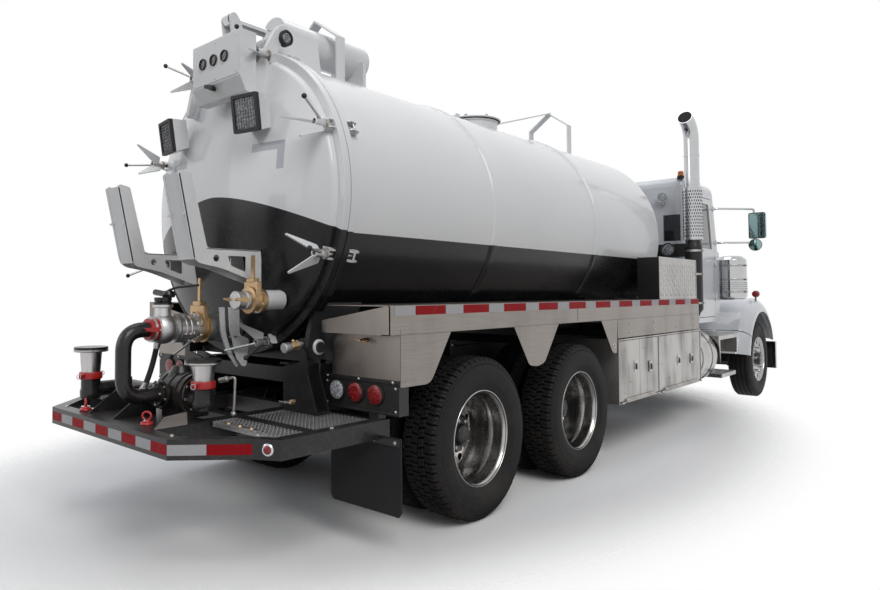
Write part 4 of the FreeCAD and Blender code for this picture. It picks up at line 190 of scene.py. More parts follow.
def paintFinish(name, look):
    colour, rough, coat, dust, dustTop, peel = look
    material, graph = freshMaterial(name)
    where = graph.where()
    height = graph.along(where)[2]
    mottle = graph.noise(where, 2.3, 5)
    speck = graph.noise(where, 38, 4)
    low = graph.rise(height, 0.1, dustTop, 1.0, 0.12)
    dusty = graph.rise(mottle * 0.6 + speck * 0.4, 0.42, 0.72) * low * dust
    base = graph.blend(graph.rise(mottle, 0.3, 0.7), colour, tuple(0.90 * part for part in colour))
    graph.surface({
        "Base Color": graph.blend(dusty, base, (0.17, 0.14, 0.115)),
        "Roughness": rough + 0.10 * mottle - 0.05 + dusty * 0.35,
        "Coat Weight": coat, "Coat Roughness": 0.06, "Specular IOR Level": 0.3,
        "Normal": graph.relief(graph.noise(where, 110, 2), peel)})
    return material


def metalFinish(name, look):
    colour, rough, stretch, depth, stain, share = look
    material, graph = freshMaterial(name)
    where = graph.where()
    grain = graph.noise(where, 3.0, 4, stretch)
    cloud = graph.noise(where, 1.7, 5)
    run = graph.noise(where, 2.2, 5, (3.0, 3.0, 0.7))
    stained = graph.rise(cloud * 0.5 + run * 0.5, 0.44, 0.70) * share
    base = graph.blend(stained, colour, stain)
    graph.surface({
        "Base Color": graph.blend(grain * 0.16, base, (0.9, 0.9, 0.9)),
        "Metallic": 1.0 - 0.35 * stained,
        "Roughness": rough + 0.16 * (grain - 0.5) + 0.22 * stained,
        "Normal": graph.relief(grain, depth)})
    return material


tankLook = {"white": (0.76, 0.77, 0.78), "black": (0.010, 0.010, 0.012), "shellLine": 1.775,
            "doorLine": 2.033, "doorFall": 0.27, "doorX": -3.823, "markLow": 2.155, "markHigh": 2.325,
            "markIn": 0.36, "markOut": 0.61, "markWide": 0.052}


def tankFinish(name):
    look = tankLook
    material, graph = freshMaterial(name)
    where = graph.where()
    x, y, z = graph.along(where)
    onDoor = x < look["doorX"]
    line = look["shellLine"] + onDoor * (look["doorLine"] - look["shellLine"]
                                         - look["doorFall"] * abs(y) ** 1.6)
    upper = graph.rise(z - line, -0.0015, 0.0015)
    mottle = graph.noise(where, 1.1, 5)
    film = graph.noise(where, 2.0, 6, (0.5, 1.0, 2.2))
    speck = graph.noise(where, 46, 4)
    grime = graph.rise(film, 0.5, 0.78) * graph.rise(z, 1.0, 2.3, 0.55, 0.12)
    white = graph.blend(grime * 0.5, look["white"], (0.52, 0.50, 0.47))
    white = graph.blend(graph.rise(mottle, 0.35, 0.7) * 0.5, white, (0.70, 0.715, 0.74))
    across = abs(y)
    bar = (z > look["markHigh"] - look["markWide"]) * (z < look["markHigh"])
    leg = (across > look["markOut"] - look["markWide"]) * (z > look["markLow"]) * (z < look["markHigh"])
    span = (across > look["markIn"]) * (across < look["markOut"]) * onDoor * (x < -3.9)
    mark = graph.rise((bar + leg) * span, 0.2, 0.8)
    white = graph.blend(mark * 0.85, white, (0.36, 0.38, 0.43))
    dusty = graph.rise(film * 0.7 + speck * 0.3, 0.45, 0.75)
    black = graph.blend(dusty * 0.20, look["black"], (0.060, 0.056, 0.054))
    base = graph.blend(upper, black, white)
    skin = graph.relief(graph.noise(where, 90, 2), 0.00012)
    buckle = graph.relief(graph.noise(where, 1.6, 2, (1.0, 1.0, 1.0)), 0.004, skin)
    graph.surface({
        "Base Color": base, "Roughness": 0.20 + 0.10 * mottle + 0.12 * dusty * (1 - upper),
        "Coat Weight": 0.04 + 0.40 * upper, "Coat Roughness": 0.05, "Specular IOR Level": 0.22,
        "Normal": buckle})
    return material


def rubberFinish(name, look):
    colour, dust, dustTop, depth = look
    material, graph = freshMaterial(name)
    where = graph.where()
    fine = graph.noise(where, 70, 4)
    cloud = graph.noise(where, 4.5, 5)
    low = graph.rise(graph.along(where)[2], 0.0, dustTop, 1.0, 0.25)
    dusty = graph.rise(cloud * 0.7 + fine * 0.3, 0.40, 0.66) * low * dust
    graph.surface({"Base Color": graph.blend(dusty, colour, (0.105, 0.088, 0.072)),
                   "Roughness": 0.62 + 0.25 * cloud - 0.06, "Specular IOR Level": 0.2,
                   "Normal": graph.relief(fine, depth)})
    return material


def lensFinish(name, look):
    colour, dark, cells, rough, coat, gloss = look
    material, graph = freshMaterial(name)
    where = graph.where()
    cell = graph.node("ShaderNodeTexVoronoi", {"feature": "F1"}, {"Vector": where, "Scale": cells})
    worn = graph.noise(where, 9, 4)
    base = graph.blend(graph.rise(cell, 0.25, 0.6), colour, dark)
    base = graph.blend(graph.rise(worn, 0.55, 0.8) * 0.15, base, (0.32, 0.29, 0.27))
    graph.surface({"Base Color": base, "Roughness": rough + 0.2 * worn, "Coat Weight": coat,
                   "Coat Roughness": 0.05, "Specular IOR Level": gloss,
                   "Normal": graph.relief(cell, 0.0009)})
    return material


def glassFinish(name):
    material, graph = freshMaterial(name)
    film = graph.rise(graph.noise(graph.where(), 3.0, 5), 0.45, 0.8)
    graph.surface({"Base Color": (0.10, 0.115, 0.12), "Roughness": 0.02 + 0.10 * film, "IOR": 1.5,
                   "Transmission Weight": 1.0, "Coat Weight": 0.3})
    return material


def mirrorFinish(name):
    material, graph = freshMaterial(name)
    film = graph.rise(graph.noise(graph.where(), 14, 4), 0.4, 0.8)
    graph.surface({"Base Color": (0.26, 0.38, 0.38), "Metallic": 1.0, "Roughness": 0.02 + 0.08 * film})
    return material


def clothFinish(name):
    colour = (0.035, 0.036, 0.042)
    material, graph = freshMaterial(name)
    where = graph.where()
    x, y, z = graph.along(where)
    weave = ((x + z) * 420).maths("SINE", (x + z) * 420) * (y * 420).maths("SINE", y * 420)
    cloud = graph.noise(where, 6, 4)
    base = graph.blend(graph.rise(weave, -1, 1) * 0.5, colour, tuple(1.7 * part for part in colour))
    graph.surface({"Base Color": base, "Roughness": 0.8 + 0.12 * cloud - 0.06,
                   "Normal": graph.relief(weave, 0.0005)})
    return material


def dialFinish(name):
    material, graph = freshMaterial(name)
    speck = graph.noise(graph.where(), 60, 3)
    graph.surface({"Base Color": graph.blend(speck, (0.02, 0.022, 0.026), (0.05, 0.052, 0.06)),
                   "Roughness": 0.12 + 0.1 * speck, "Coat Weight": 0.8})
    return material


finishes = {}
for finish, table in ((paintFinish, paints), (metalFinish, metals), (rubberFinish, rubbers),
                      (lensFinish, lenses)):
    for name, look in table.items():
        finishes[name] = finish(name, look)
for finish, name in ((tankFinish, "tankPaint"), (glassFinish, "cabGlass"), (mirrorFinish, "mirrorGlass"),
                     (clothFinish, "seatCloth"), (dialFinish, "dialFace")):
    finishes[name] = finish(name)
print("finishes made:", len(finishes))


# shapes

sharpAngle = math.radians(38)
upright = Matrix.Rotation(-math.pi / 2, 4, "Y")
bothSides = (("right", -1), ("left", 1))


def sketch(*sizes):
    # points of a flat outline or a profile, given in millimetres
    return [(first / 1000, second / 1000) for first, second in zip(sizes[::2], sizes[1::2])]


def track(*sizes):
    return [tuple(size / 1000 for size in sizes[start:start + 3]) for start in range(0, len(sizes), 3)]


def brick(*sizes):
    # a soft-edged box between two corners, given in millimetres, and at the end its edge
    low, high = track(*sizes[:6])
    return corners(low, high, *[size / 1000 for size in sizes[6:]])


def corners(low, high, edge=0.003):
    shape = bmesh.new()
    bmesh.ops.create_cube(shape, size=1.0)
    size = [top - bottom for bottom, top in zip(low, high)]
    for vert in shape.verts:
        vert.co = Vector([bottom + (vert.co[i] + 0.5) * size[i] for i, bottom in enumerate(low)])
    edge = min([edge] + [0.3 * length for length in size])
    if edge > 0:
        bmesh.ops.bevel(shape, geom=list(shape.edges), offset=edge, segments=2, profile=0.5,
                        affect="EDGES")
    return unpacked(shape)


def unpacked(shape):
    shape.verts.index_update()
    points = [vert.co.copy() for vert in shape.verts]
    faces = [tuple(vert.index for vert in face.verts) for face in shape.faces]
    shape.free()
    return points, faces


def turned(profile, steps, closed=False):
    points, faces, rings = [], [], []
    for along, radius in profile:
        if radius < 1e-6:
            rings.append([len(points)])
            points.append(Vector((along, 0, 0)))
            continue
        rings.append(list(range(len(points), len(points) + steps)))
        for index in range(steps):
            angle = math.tau * index / steps
            points.append(Vector((along, radius * math.cos(angle), radius * math.sin(angle))))
    pairs = list(zip(rings, rings[1:])) + ([(rings[-1], rings[0])] if closed else [])
    for first, second in pairs:
        for index in range(steps):
            after = (index + 1) % steps
            if len(first) == 1:
                faces.append((first[0], second[index], second[after]))
            elif len(second) == 1:
                faces.append((first[index], first[after], second[0]))
            else:
                faces.append((first[index], first[after], second[after], second[index]))
    return points, faces


def pin(length, radius, edge=0.002, steps=24):
    edge = min(edge, 0.4 * radius, 0.4 * abs(length))
    side = math.copysign(edge, length)
    return turned([(0, 0), (0, radius - edge), (side, radius), (length - side, radius),
                   (length, radius - edge), (length, 0)], steps)


def hoop(start, wide, inner, outer, steps=48):
    return turned([(start, inner), (start, outer), (start + wide, outer), (start + wide, inner)], steps,
                  True)


def pipe(length, radius, wall, steps):
    return hoop(0, length, radius - wall, radius, steps)


def hexagon(length, radius):
    return turned([(0, 0), (0, radius), (length * 0.85, radius), (length, radius * 0.86), (length, 0)], 6)


def globe(radius, steps):
    rows = steps // 2
    profile = [(-radius * math.cos(math.pi * i / rows), radius * math.sin(math.pi * i / rows))
               for i in range(rows + 1)]
    return turned([(along, 0 if i in (0, rows) else r) for i, (along, r) in enumerate(profile)], steps)


def swept(path, radius, steps, closed=False):
    path = [Vector(point) for point in path]
    last = len(path) - 1
    tangents = []
    for index, point in enumerate(path):
        before = path[index - 1] if index or closed else point
        after = path[(index + 1) % len(path)] if index < last or closed else point
        tangents.append((after - before).normalized())
    side = tangents[0].orthogonal().normalized()
    points, faces = [], []
    for index, point in enumerate(path):
        if index:
            side = tangents[index - 1].rotation_difference(tangents[index]) @ side
        other = tangents[index].cross(side)
        for step in range(steps):
            angle = math.tau * step / steps
            points.append(point + radius * (math.cos(angle) * side + math.sin(angle) * other))
    rings = range(last + 1 if closed else last)
    for index in rings:
        base, following = index * steps, ((index + 1) % (last + 1)) * steps
        for step in range(steps):
            after = (step + 1) % steps
            faces.append((base + step, base + after, following + after, following + step))
    if not closed:
        faces.append(tuple(reversed(range(steps))))
        faces.append(tuple(range(last * steps, (last + 1) * steps)))
    return points, faces


def bent(stops, bend, steps=6):
    # straight runs with an arc at each corner
    stops = [Vector(stop) for stop in stops]
    line = [stops[0]]
    for before, here, after in zip(stops, stops[1:], stops[2:]):
        first = here + (before - here).normalized() * bend
        last = here + (after - here).normalized() * bend
        for step in range(steps + 1):
            share = step / steps
            line.append(first.lerp(here, share).lerp(here.lerp(last, share), share))
    return line + [stops[-1]]


def soft(outline, radius, steps=4):
    # a flat outline with its corners rounded
    line = []
    count = len(outline)
    for index in range(count):
        here = Vector(outline[index])
        before, after = Vector(outline[index - 1]), Vector(outline[(index + 1) % count])
        reach = radius[index] if isinstance(radius, (list, tuple)) else radius
        if reach <= 0:
            line.append(tuple(here))
            continue
        cut = min(reach, 0.45 * (before - here).length, 0.45 * (after - here).length)
        first = here + (before - here).normalized() * cut
        last = here + (after - here).normalized() * cut
        for step in range(steps + 1):
            share = step / steps
            line.append(tuple(first.lerp(here, share).lerp(here.lerp(last, share), share)))
    return line


def circle(centre, radius, steps):
    return [(centre[0] + radius * math.cos(math.tau * i / steps),
             centre[1] + radius * math.sin(math.tau * i / steps)) for i in range(steps)]


def oval(along, wide, tall, rise, steps):
    # a closed line across the X axis
    return [(along, wide * math.cos(math.tau * i / steps), rise + tall * math.sin(math.tau * i / steps))
            for i in range(steps)]


def stacked(loops):
    # loops of equal length joined one above another and closed at both ends
    wide = len(loops[0])
    points = [Vector(point) for loop in loops for point in loop]
    faces = [tuple(reversed(range(wide))), tuple(range(len(points) - wide, len(points)))]
    for base in range(0, len(points) - wide, wide):
        faces += [(base + i, base + (i + 1) % wide, base + wide + (i + 1) % wide, base + wide + i)
                  for i in range(wide)]
    return points, faces


def plate(outline, thick, holes=()):
    loops = [list(outline)] + [list(hole) for hole in holes]
    ends = [spot for loop in loops for spot in loop]
    triangles = tessellate_polygon([[Vector((*spot, 0)) for spot in loop] for loop in loops])
    count = len(ends)
    points = [Vector((*spot, rise)) for rise in (0, thick) for spot in ends]
    faces = [tuple(reversed(triangle)) for triangle in triangles]
    faces += [tuple(index + count for index in triangle) for triangle in triangles]
    start = 0
    for loop in loops:
        for index in range(len(loop)):
            first, second = start + index, start + (index + 1) % len(loop)
            faces.append((first, second, second + count, first + count))
        start += len(loop)
    return points, faces


def shell(rows, columns, spot):
    # a thin closed shell of two gridded layers, joined round their rim
    points = [Vector(spot(layer, column / columns, row / rows))
              for layer in (0, 1) for row in range(rows + 1) for column in range(columns + 1)]
    wide, count = columns + 1, len(points) // 2
    faces = []
    for first in (row * wide + column for row in range(rows) for column in range(columns)):
        quad = (first, first + 1, first + wide + 1, first + wide)
        faces += [quad, tuple(count + index for index in reversed(quad))]
    rim = ([*range(wide)] + [row * wide + columns for row in range(1, rows + 1)]
           + [rows * wide + column for column in range(columns - 1, -1, -1)]
           + [row * wide for row in range(rows - 1, 0, -1)])
    for first, second in zip(rim, rim[1:] + rim[:1]):
        faces.append((second, first, first + count, second + count))
    return points, faces


def moved(x, y, z):
    return Matrix.Translation((x, y, z))


def aim(origin, direction, roll=0.0):
    direction = Vector(direction)
    up = "Y" if abs(direction.normalized().z) > 0.9 else "Z"
    turn = direction.to_track_quat("X", up).to_matrix().to_4x4()
    return Matrix.Translation(origin) @ turn @ Matrix.Rotation(roll, 4, "X")


def fromAxes(origin, first, second, third):
    # flat shapes drawn on the first two axes, their thickness along the third
    matrix = Matrix((first, second, third)).transposed().to_4x4()
    return Matrix.Translation(origin) @ matrix


def standingAt(y):
    return fromAxes((0, y, 0), (1, 0, 0), (0, 0, 1), (0, 1, 0))


def facingAt(x, y=0, z=0):
    return fromAxes((x, y, z), (0, 1, 0), (0, 0, 1), (1, 0, 0))


def lyingAt(z):
    return fromAxes((0, 0, z), (1, 0, 0), (0, 1, 0), (0, 0, 1))


class Piece:
    # one visible piece, gathered from many small shapes
    def __init__(self, name):
        self.name = name
        self.points, self.faces, self.marks, self.used = [], [], [], []

    def add(self, shape, finish, place=None):
        points, faces = shape
        base = len(self.points)
        if finish not in self.used:
            self.used.append(finish)
        mark = self.used.index(finish)
        self.points += [place @ point for point in points] if place else list(points)
        self.faces += [tuple(index + base for index in face) for face in faces]
        self.marks += [mark] * len(faces)
        return self

    def lathe(self, finish, place, steps, *sizes, closed=False):
        # a shape turned about the X axis, its profile given in millimetres
        return self.add(turned(sketch(*sizes), steps, closed), finish, place)

    def ring(self, finish, place, steps, *sizes):
        return self.lathe(finish, place, steps, *sizes, closed=True)

    def both(self):
        # the same shapes again on the other side of the truck
        base = len(self.points)
        self.points += [Vector((point.x, -point.y, point.z)) for point in self.points]
        self.faces += [tuple(reversed([index + base for index in face])) for face in self.faces]
        self.marks += self.marks
        return self

    def built(self):
        mesh = bpy.data.meshes.new(self.name)
        mesh.from_pydata(self.points, [], self.faces)
        mesh.polygons.foreach_set("material_index", self.marks)
        shape = bmesh.new()
        shape.from_mesh(mesh)
        bmesh.ops.recalc_face_normals(shape, faces=shape.faces)
        shape.to_mesh(mesh)
        shape.free()
        for finish in self.used:
            mesh.materials.append(finishes[finish])
        mesh.shade_smooth()
        mesh.set_sharp_from_angle(angle=sharpAngle)
        return linked(self.name, mesh)

    def rides(self, body, slot, *nodes):
        return mounted(self.built(), body, slot, *nodes)


def linked(name, data):
    made = bpy.data.objects.new(name, data)
    bpy.context.scene.collection.objects.link(made)
    return made


def mounted(made, body, slot, *nodes):
    # the finished piece rides on its body and takes the place of the plain ones named
    weighted = made.modifiers.new("even shading", "WEIGHTED_NORMAL")
    weighted.keep_sharp = True
    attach(made, body)
    if nodes:
        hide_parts(*nodes)
    return made


# repeated shapes

def startTree(name, inputs):
    tree = bpy.data.node_groups.new(name, "GeometryNodeTree")
    tree.interface.new_socket("Item", in_out="INPUT", socket_type="NodeSocketGeometry")
    for label, kind in inputs:
        tree.interface.new_socket(label, in_out="INPUT", socket_type="NodeSocket" + kind)
    tree.interface.new_socket("Result", in_out="OUTPUT", socket_type="NodeSocketGeometry")
    graph = Graph(tree)
    entry = graph.node("NodeGroupInput").socket.node
    return tree, graph, {socket.name: Wire(graph, socket) for socket in entry.outputs if socket.name}


def endTree(graph, points, given, turn):
    copies = graph.node("GeometryNodeInstanceOnPoints", {}, {
        "Points": points, "Instance": given["Item"], "Rotation": turn})
    real = graph.node("GeometryNodeRealizeInstances", {}, {"Geometry": copies})
    dressed = graph.node("GeometryNodeSetMaterial", {}, {"Geometry": real, "Material": given["Finish"]})
    graph.node("NodeGroupOutput", {}, {"Result": dressed})


def roundTree():
    # copies turned about the X axis
    tree, graph, given = startTree("repeatRound", [
        ("Count", "Int"), ("Start", "Float"), ("Finish", "Material")])
    index = graph.node("GeometryNodeInputIndex")
    angle = index * math.tau / given["Count"] + given["Start"]
    turn = graph.node("ShaderNodeCombineXYZ", {}, {"X": angle})
    points = graph.node("GeometryNodePoints", {}, {"Count": given["Count"]})
    endTree(graph, points, given, turn)
    return tree


def gridTree():
    # rows along X and Y, neighbours leaning to either side
    tree, graph, given = startTree("repeatGrid", [
        ("Columns", "Int"), ("Rows", "Int"), ("Pitch X", "Float"), ("Pitch Y", "Float"),
        ("Lean", "Float"), ("Finish", "Material")])
    index = graph.node("GeometryNodeInputIndex")
    column = index % given["Columns"]
    row = (index / given["Columns"]).maths("FLOOR", index / given["Columns"])
    place = graph.node("ShaderNodeCombineXYZ", {}, {"X": column * given["Pitch X"],
                                                    "Y": row * given["Pitch Y"]})
    lean = given["Lean"] * (1 - 2 * ((column + row) % 2))
    turn = graph.node("ShaderNodeCombineXYZ", {}, {"Z": lean})
    points = graph.node("GeometryNodePoints", {}, {
        "Count": given["Columns"] * given["Rows"], "Position": place})
    endTree(graph, points, given, turn)
    return tree


trees = {"round": roundTree(), "grid": gridTree()}


def repeated(kind, item, settings, finish):
    tree = trees[kind]
    mesh = bpy.data.meshes.new("item")
    mesh.from_pydata(item[0], [], item[1])
    holder = linked("item", mesh)
    modifier = holder.modifiers.new("repeat", "NODES")
    modifier.node_group = tree
    sockets = {item.name: item.identifier for item in tree.interface.items_tree
               if item.item_type == "SOCKET" and item.in_out == "INPUT"}
    for label, value in {**settings, "Finish": finishes[finish]}.items():
        modifier[sockets[label]] = value
    ready = holder.evaluated_get(bpy.context.evaluated_depsgraph_get())
    result = bpy.data.meshes.new_from_object(ready)
    holder.modifiers.remove(modifier)
    points = [vert.co.copy() for vert in result.vertices]
    faces = [tuple(face.vertices) for face in result.polygons]
    bpy.data.objects.remove(holder)
    bpy.data.meshes.remove(result)
    bpy.data.meshes.remove(mesh)
    return points, faces


def ringOf(item, shift, count, start, finish):
    # copies of a shape round the X axis, first moved off it
    placed = ([point + Vector(shift) for point in item[0]], item[1])
    return repeated("round", placed, {"Count": count, "Start": start}, finish)


print("makers ready")


# tank

tank = {"axis": 2.015, "radius": 0.95, "wall": 0.009, "rear": -3.82, "front": 0.95, "flange": 0.985,
        "flangeWide": 0.045, "bands": (-2.27, -0.57),
        "domeReach": 1.26, "domeRound": 1.8063, "knuckle": 0.08, "manwayX": -1.18, "manwayRadius": 0.24,
        "manwayTop": 3.035, "steps": 160}


def arc(centreX, centreR, radius, start, end, steps):
    spots = []
    for step in range(steps + 1):
        angle = math.radians(start + (end - start) * step / steps)
        spots.append((centreX + radius * math.cos(angle), centreR + radius * math.sin(angle)))
    return spots


def domeLine(side, middle, big, knuckleX, knuckleR, small, wall, toPole):
    # a crowned end: its knuckle, then its dish down to the axis
    join = math.degrees(math.atan2(knuckleR, side * (knuckleX - middle)))
    turnedJoin = join if side > 0 else 180 - join
    line = arc(knuckleX, knuckleR, small - wall, 90, turnedJoin, 8)
    reach = big - wall
    for step in range(1, 19):
        angle = math.radians(join * (1 - step / 18))
        line.append((middle + side * reach * math.cos(angle), reach * math.sin(angle)))
    line[-1] = (line[-1][0], 0)
    return line if toPole else line[::-1]


def makeTank():
    t = tank
    middle = t["domeReach"] - t["domeRound"]
    kneeR = t["radius"] - t["knuckle"]
    kneeX = middle + math.sqrt((t["domeRound"] - t["knuckle"]) ** 2 - kneeR ** 2)
    outer = domeLine(1, middle, t["domeRound"], kneeX, kneeR, t["knuckle"], 0, False)
    inner = domeLine(1, middle, t["domeRound"], kneeX, kneeR, t["knuckle"], t["wall"], True)
    side = [(t["front"] - 0.4, t["radius"])]
    for spot in reversed(t["bands"]):
        for shift, rise in ((0.046, 0), (0.037, 0.004), (0.03, 0.014), (0.02, 0.016), (-0.02, 0.016),
                            (-0.03, 0.014), (-0.037, 0.004), (-0.046, 0)):
            side.append((spot + shift, t["radius"] + rise))
    seat = t["rear"] + t["flangeWide"]
    side += [(seat + 0.014, t["radius"]), (seat + 0.005, t["radius"] + 0.004), (seat, t["radius"] + 0.012),
             (seat, t["flange"] - 0.003), (seat - 0.003, t["flange"]), (t["rear"] + 0.003, t["flange"]),
             (t["rear"], t["flange"] - 0.003), (t["rear"], t["radius"] - t["wall"])]
    body = Piece("tankBody")
    body.add(turned(outer + side + inner, t["steps"]), "tankPaint", moved(0, 0, t["axis"]))
    whole = body.built()
    cutter = Piece("manwayCutter")
    cutter.add(pin(0.9, t["manwayRadius"] - 0.012, 0, 64), "tankPaint",
               aim((t["manwayX"], 0, t["axis"] + 0.5), (0, 0, 1)))
    tool = cutter.built()
    hole = whole.modifiers.new("manway hole", "BOOLEAN")
    hole.operation = "DIFFERENCE"
    hole.solver = "EXACT"
    hole.object = tool
    ready = whole.evaluated_get(bpy.context.evaluated_depsgraph_get())
    pierced = bpy.data.meshes.new_from_object(ready)
    whole.modifiers.clear()
    bpy.data.objects.remove(tool)
    whole.data = pierced
    pierced.set_sharp_from_angle(angle=sharpAngle)
    mounted(whole, "tank", "white_paint", "tank_shell", "tank_head")

    neck = Piece("manwayNeck")
    r = t["manwayRadius"]
    top = t["manwayTop"]
    neck.add(turned([(2.93, r - 0.012), (2.93, r), (top - 0.016, r), (top - 0.012, r + 0.012),
                     (top, r + 0.012), (top, r - 0.012)], 64, True), "whiteEnamel",
             aim((t["manwayX"], 0, 0), (0, 0, 1)))
    saddle = []
    for step in range(72):
        angle = math.tau * step / 72
        across = (r + 0.004) * math.sin(angle)
        saddle.append((t["manwayX"] + (r + 0.004) * math.cos(angle), across,
                       t["axis"] + math.sqrt(t["radius"] ** 2 - across ** 2) + 0.002))
    neck.add(swept(saddle, 0.007, 8, True), "whiteEnamel")
    neck.rides("tank", "white_paint")

    lid = Piece("manwayLid")
    place = aim((t["manwayX"], 0, 0), (0, 0, 1))
    low = top + 0.006
    lid.add(turned([(low, 0), (low, 0.268), (low + 0.003, 0.275), (low + 0.010, 0.275), (low + 0.014, 0.268),
                    (low + 0.018, 0.215), (low + 0.028, 0.205), (low + 0.034, 0)], 72), "whiteEnamel", place)
    lid.add(turned([(top + 0.0005, 0.228), (top + 0.0005, 0.262), (low + 0.001, 0.266),
                    (low + 0.001, 0.226)], 72, True), "gasket", place)
    lid.add(turned([(low + 0.03, 0), (low + 0.03, 0.016), (low + 0.05, 0.014), (low + 0.056, 0.024),
                    (low + 0.068, 0.024), (low + 0.072, 0.018), (low + 0.072, 0)], 32), "castAlloy", place)
    hingeX = t["manwayX"] - 0.305
    lid.add(corners((hingeX - 0.02, -0.044, low), (t["manwayX"] - 0.235, 0.044, low + 0.012)), "whiteEnamel")
    lid.add(pin(0.088, 0.016), "whiteEnamel", aim((hingeX, -0.044, top + 0.012), (0, 1, 0)))
    lid.add(ringOf(hexagon(0.02, 0.014), (low + 0.012, 0, 0.247), 8, 0.39, "boltSteel"), "boltSteel", place)
    lid.rides("manway_cover", "white_paint", "manway_lid")


door = {"round": 2.4925, "middle": -1.5935, "kneeX": -3.87882, "kneeR": 0.89, "knee": 0.04,
        "wall": 0.010, "ringRear": -3.876, "seam": -3.826, "ringRadius": 0.985, "clamps": 8,
        "clampCircle": 0.955, "armY": 0.352, "armWide": 0.034, "pinX": -3.80, "pinZ": 3.062}


def clampShapes(piece, place):
    # a swing bolt with a forked seat and a three-armed hand nut, along local X towards the rear
    piece.add(pin(0.17, 0.013), "boltSteel", place @ aim((-0.05, 0, 0), (1, 0, 0)))
    piece.add(hexagon(0.03, 0.026), "boltSteel", place @ aim((0.058, 0, 0), (1, 0, 0)))
    piece.ring("boltSteel", place, 24, 50, 14, 50, 32, 58, 32, 58, 14)
    piece.add(pipe(0.05, 0.024, 0.009, 24), "castAlloy", place @ aim((0.088, 0, 0), (1, 0, 0)))
    for side in (-1, 1):
        cheek = plate(soft(sketch(-2, -45, 50, -40, 50, 12, 36, 22, -2, 22), 0.006), 0.008)
        piece.add(cheek, "whiteEnamel", place @ standingAt(side * 0.026 - 0.004))
    for index, kind in enumerate(("bar", "blade", "blade")):
        spin = Matrix.Rotation(math.tau * index / 3 + 0.5, 4, "X")
        if kind == "bar":
            piece.add(swept(track(100, 0, 18, 270, 0, 115), 0.0075, 12), "boltSteel", place @ spin)
            piece.add(globe(0.015, 16), "moulded", place @ spin @ moved(0.278, 0, 0.12))
        else:
            blade = plate(soft(sketch(85, 12, 135, 12, 285, 118, 279, 128, 88, 58), 0.006), 0.008)
            piece.add(blade, "whiteEnamel", place @ spin @ standingAt(-0.004))


def makeRearDoor():
    d = door
    outer = domeLine(-1, d["middle"], d["round"], d["kneeX"], d["kneeR"], d["knee"], 0, False)
    inner = domeLine(-1, d["middle"], d["round"], d["kneeX"], d["kneeR"], d["knee"], d["wall"], True)
    ring = [(d["ringRear"] + 0.001, 0.932), (d["ringRear"], 0.942), (d["ringRear"], d["ringRadius"] - 0.004),
            (d["ringRear"] + 0.004, d["ringRadius"]), (d["seam"] - 0.003, d["ringRadius"]),
            (d["seam"], d["ringRadius"] - 0.003), (d["seam"], 0.921), (d["ringRear"] + 0.02, 0.921)]
    piece = Piece("rearDoor")
    axis = moved(0, 0, tank["axis"])
    piece.add(turned(outer + ring + inner, tank["steps"]), "tankPaint", axis)
    piece.add(turned([(d["seam"] - 0.001, 0.942), (d["seam"] - 0.001, 0.976), (d["seam"] + 0.0055, 0.976),
                      (d["seam"] + 0.0055, 0.942)], tank["steps"], True), "gasket", axis)
    arm = soft(sketch(-3756, 3072, -3790, 3106, -3860, 3092, -4010, 2832, -4055, 2622, -3950, 2622,
                      -3890, 2832, -3840, 2982, -3770, 3022), 0.03)
    horn = soft(sketch(-3990, 3220, -3975, 3250, -3942, 3254, -3900, 3202, -3860, 3042, -3840, 2980,
                       -3930, 2835), 0.016)
    for side in (-1, 1):
        piece.add(plate(arm, d["armWide"]), "whiteEnamel", standingAt(side * d["armY"] - d["armWide"] / 2))
        piece.add(pin(0.046, 0.062, 0.004), "whiteEnamel",
                  aim((d["pinX"], side * (d["armY"] - 0.023), d["pinZ"]), (0, side, 0)))
        piece.add(pin(0.014, 0.034, 0.003), "boltSteel",
                  aim((d["pinX"], side * (d["armY"] + 0.024), d["pinZ"]), (0, side, 0)))
        piece.add(plate(horn, 0.016), "whiteEnamel", standingAt(side * 0.044 - 0.008))
        gusset = plate(sketch(-4030, 2600, -3900, 2620, -3950, 2800), 0.01)
        piece.add(gusset, "whiteEnamel", standingAt(side * (d["armY"] - 0.05) - 0.005))
    piece.rides("rear_door_set", "white_paint", "rear_door")

    clamps = Piece("doorClamps")
    for index in range(d["clamps"]):
        angle = math.tau * (index + 0.5) / d["clamps"]
        spot = (d["ringRear"], d["clampCircle"] * math.cos(angle),
                tank["axis"] + d["clampCircle"] * math.sin(angle))
        outward = (0, math.cos(angle), math.sin(angle))
        across = (0, -math.sin(angle), math.cos(angle))
        place = fromAxes(spot, (-1, 0, 0), across, outward)
        clampShapes(clamps, place)
    clamps.rides("rear_door_set", "lift_steel")

    seats = Piece("clampSeats")
    for index in range(d["clamps"]):
        angle = math.tau * (index + 0.5) / d["clamps"]
        outward = Vector((0, math.cos(angle), math.sin(angle)))
        across = Vector((0, -math.sin(angle), math.cos(angle)))
        base = Vector((-3.775, 0, tank["axis"])) + outward * 0.951
        for side in (-1, 1):
            ear = plate(soft(sketch(0, 0, 85, 0, 75, 42, 20, 50, 0, 36), 0.008), 0.009)
            seats.add(ear, "whiteEnamel", fromAxes(base + across * (side * 0.028 - 0.0045), (1, 0, 0),
                                                   outward, across))
        seats.add(pin(0.078, 0.009), "boltSteel", aim(base + outward * 0.03 + Vector((0.05, 0, 0))
                                                      - across * 0.039, across))
        seats.add(pin(0.06, 0.011), "boltSteel", aim(base + outward * 0.014 + Vector((-0.01, 0, 0)),
                                                     (1, 0, 0)))
    seats.rides("tank", "lift_steel")


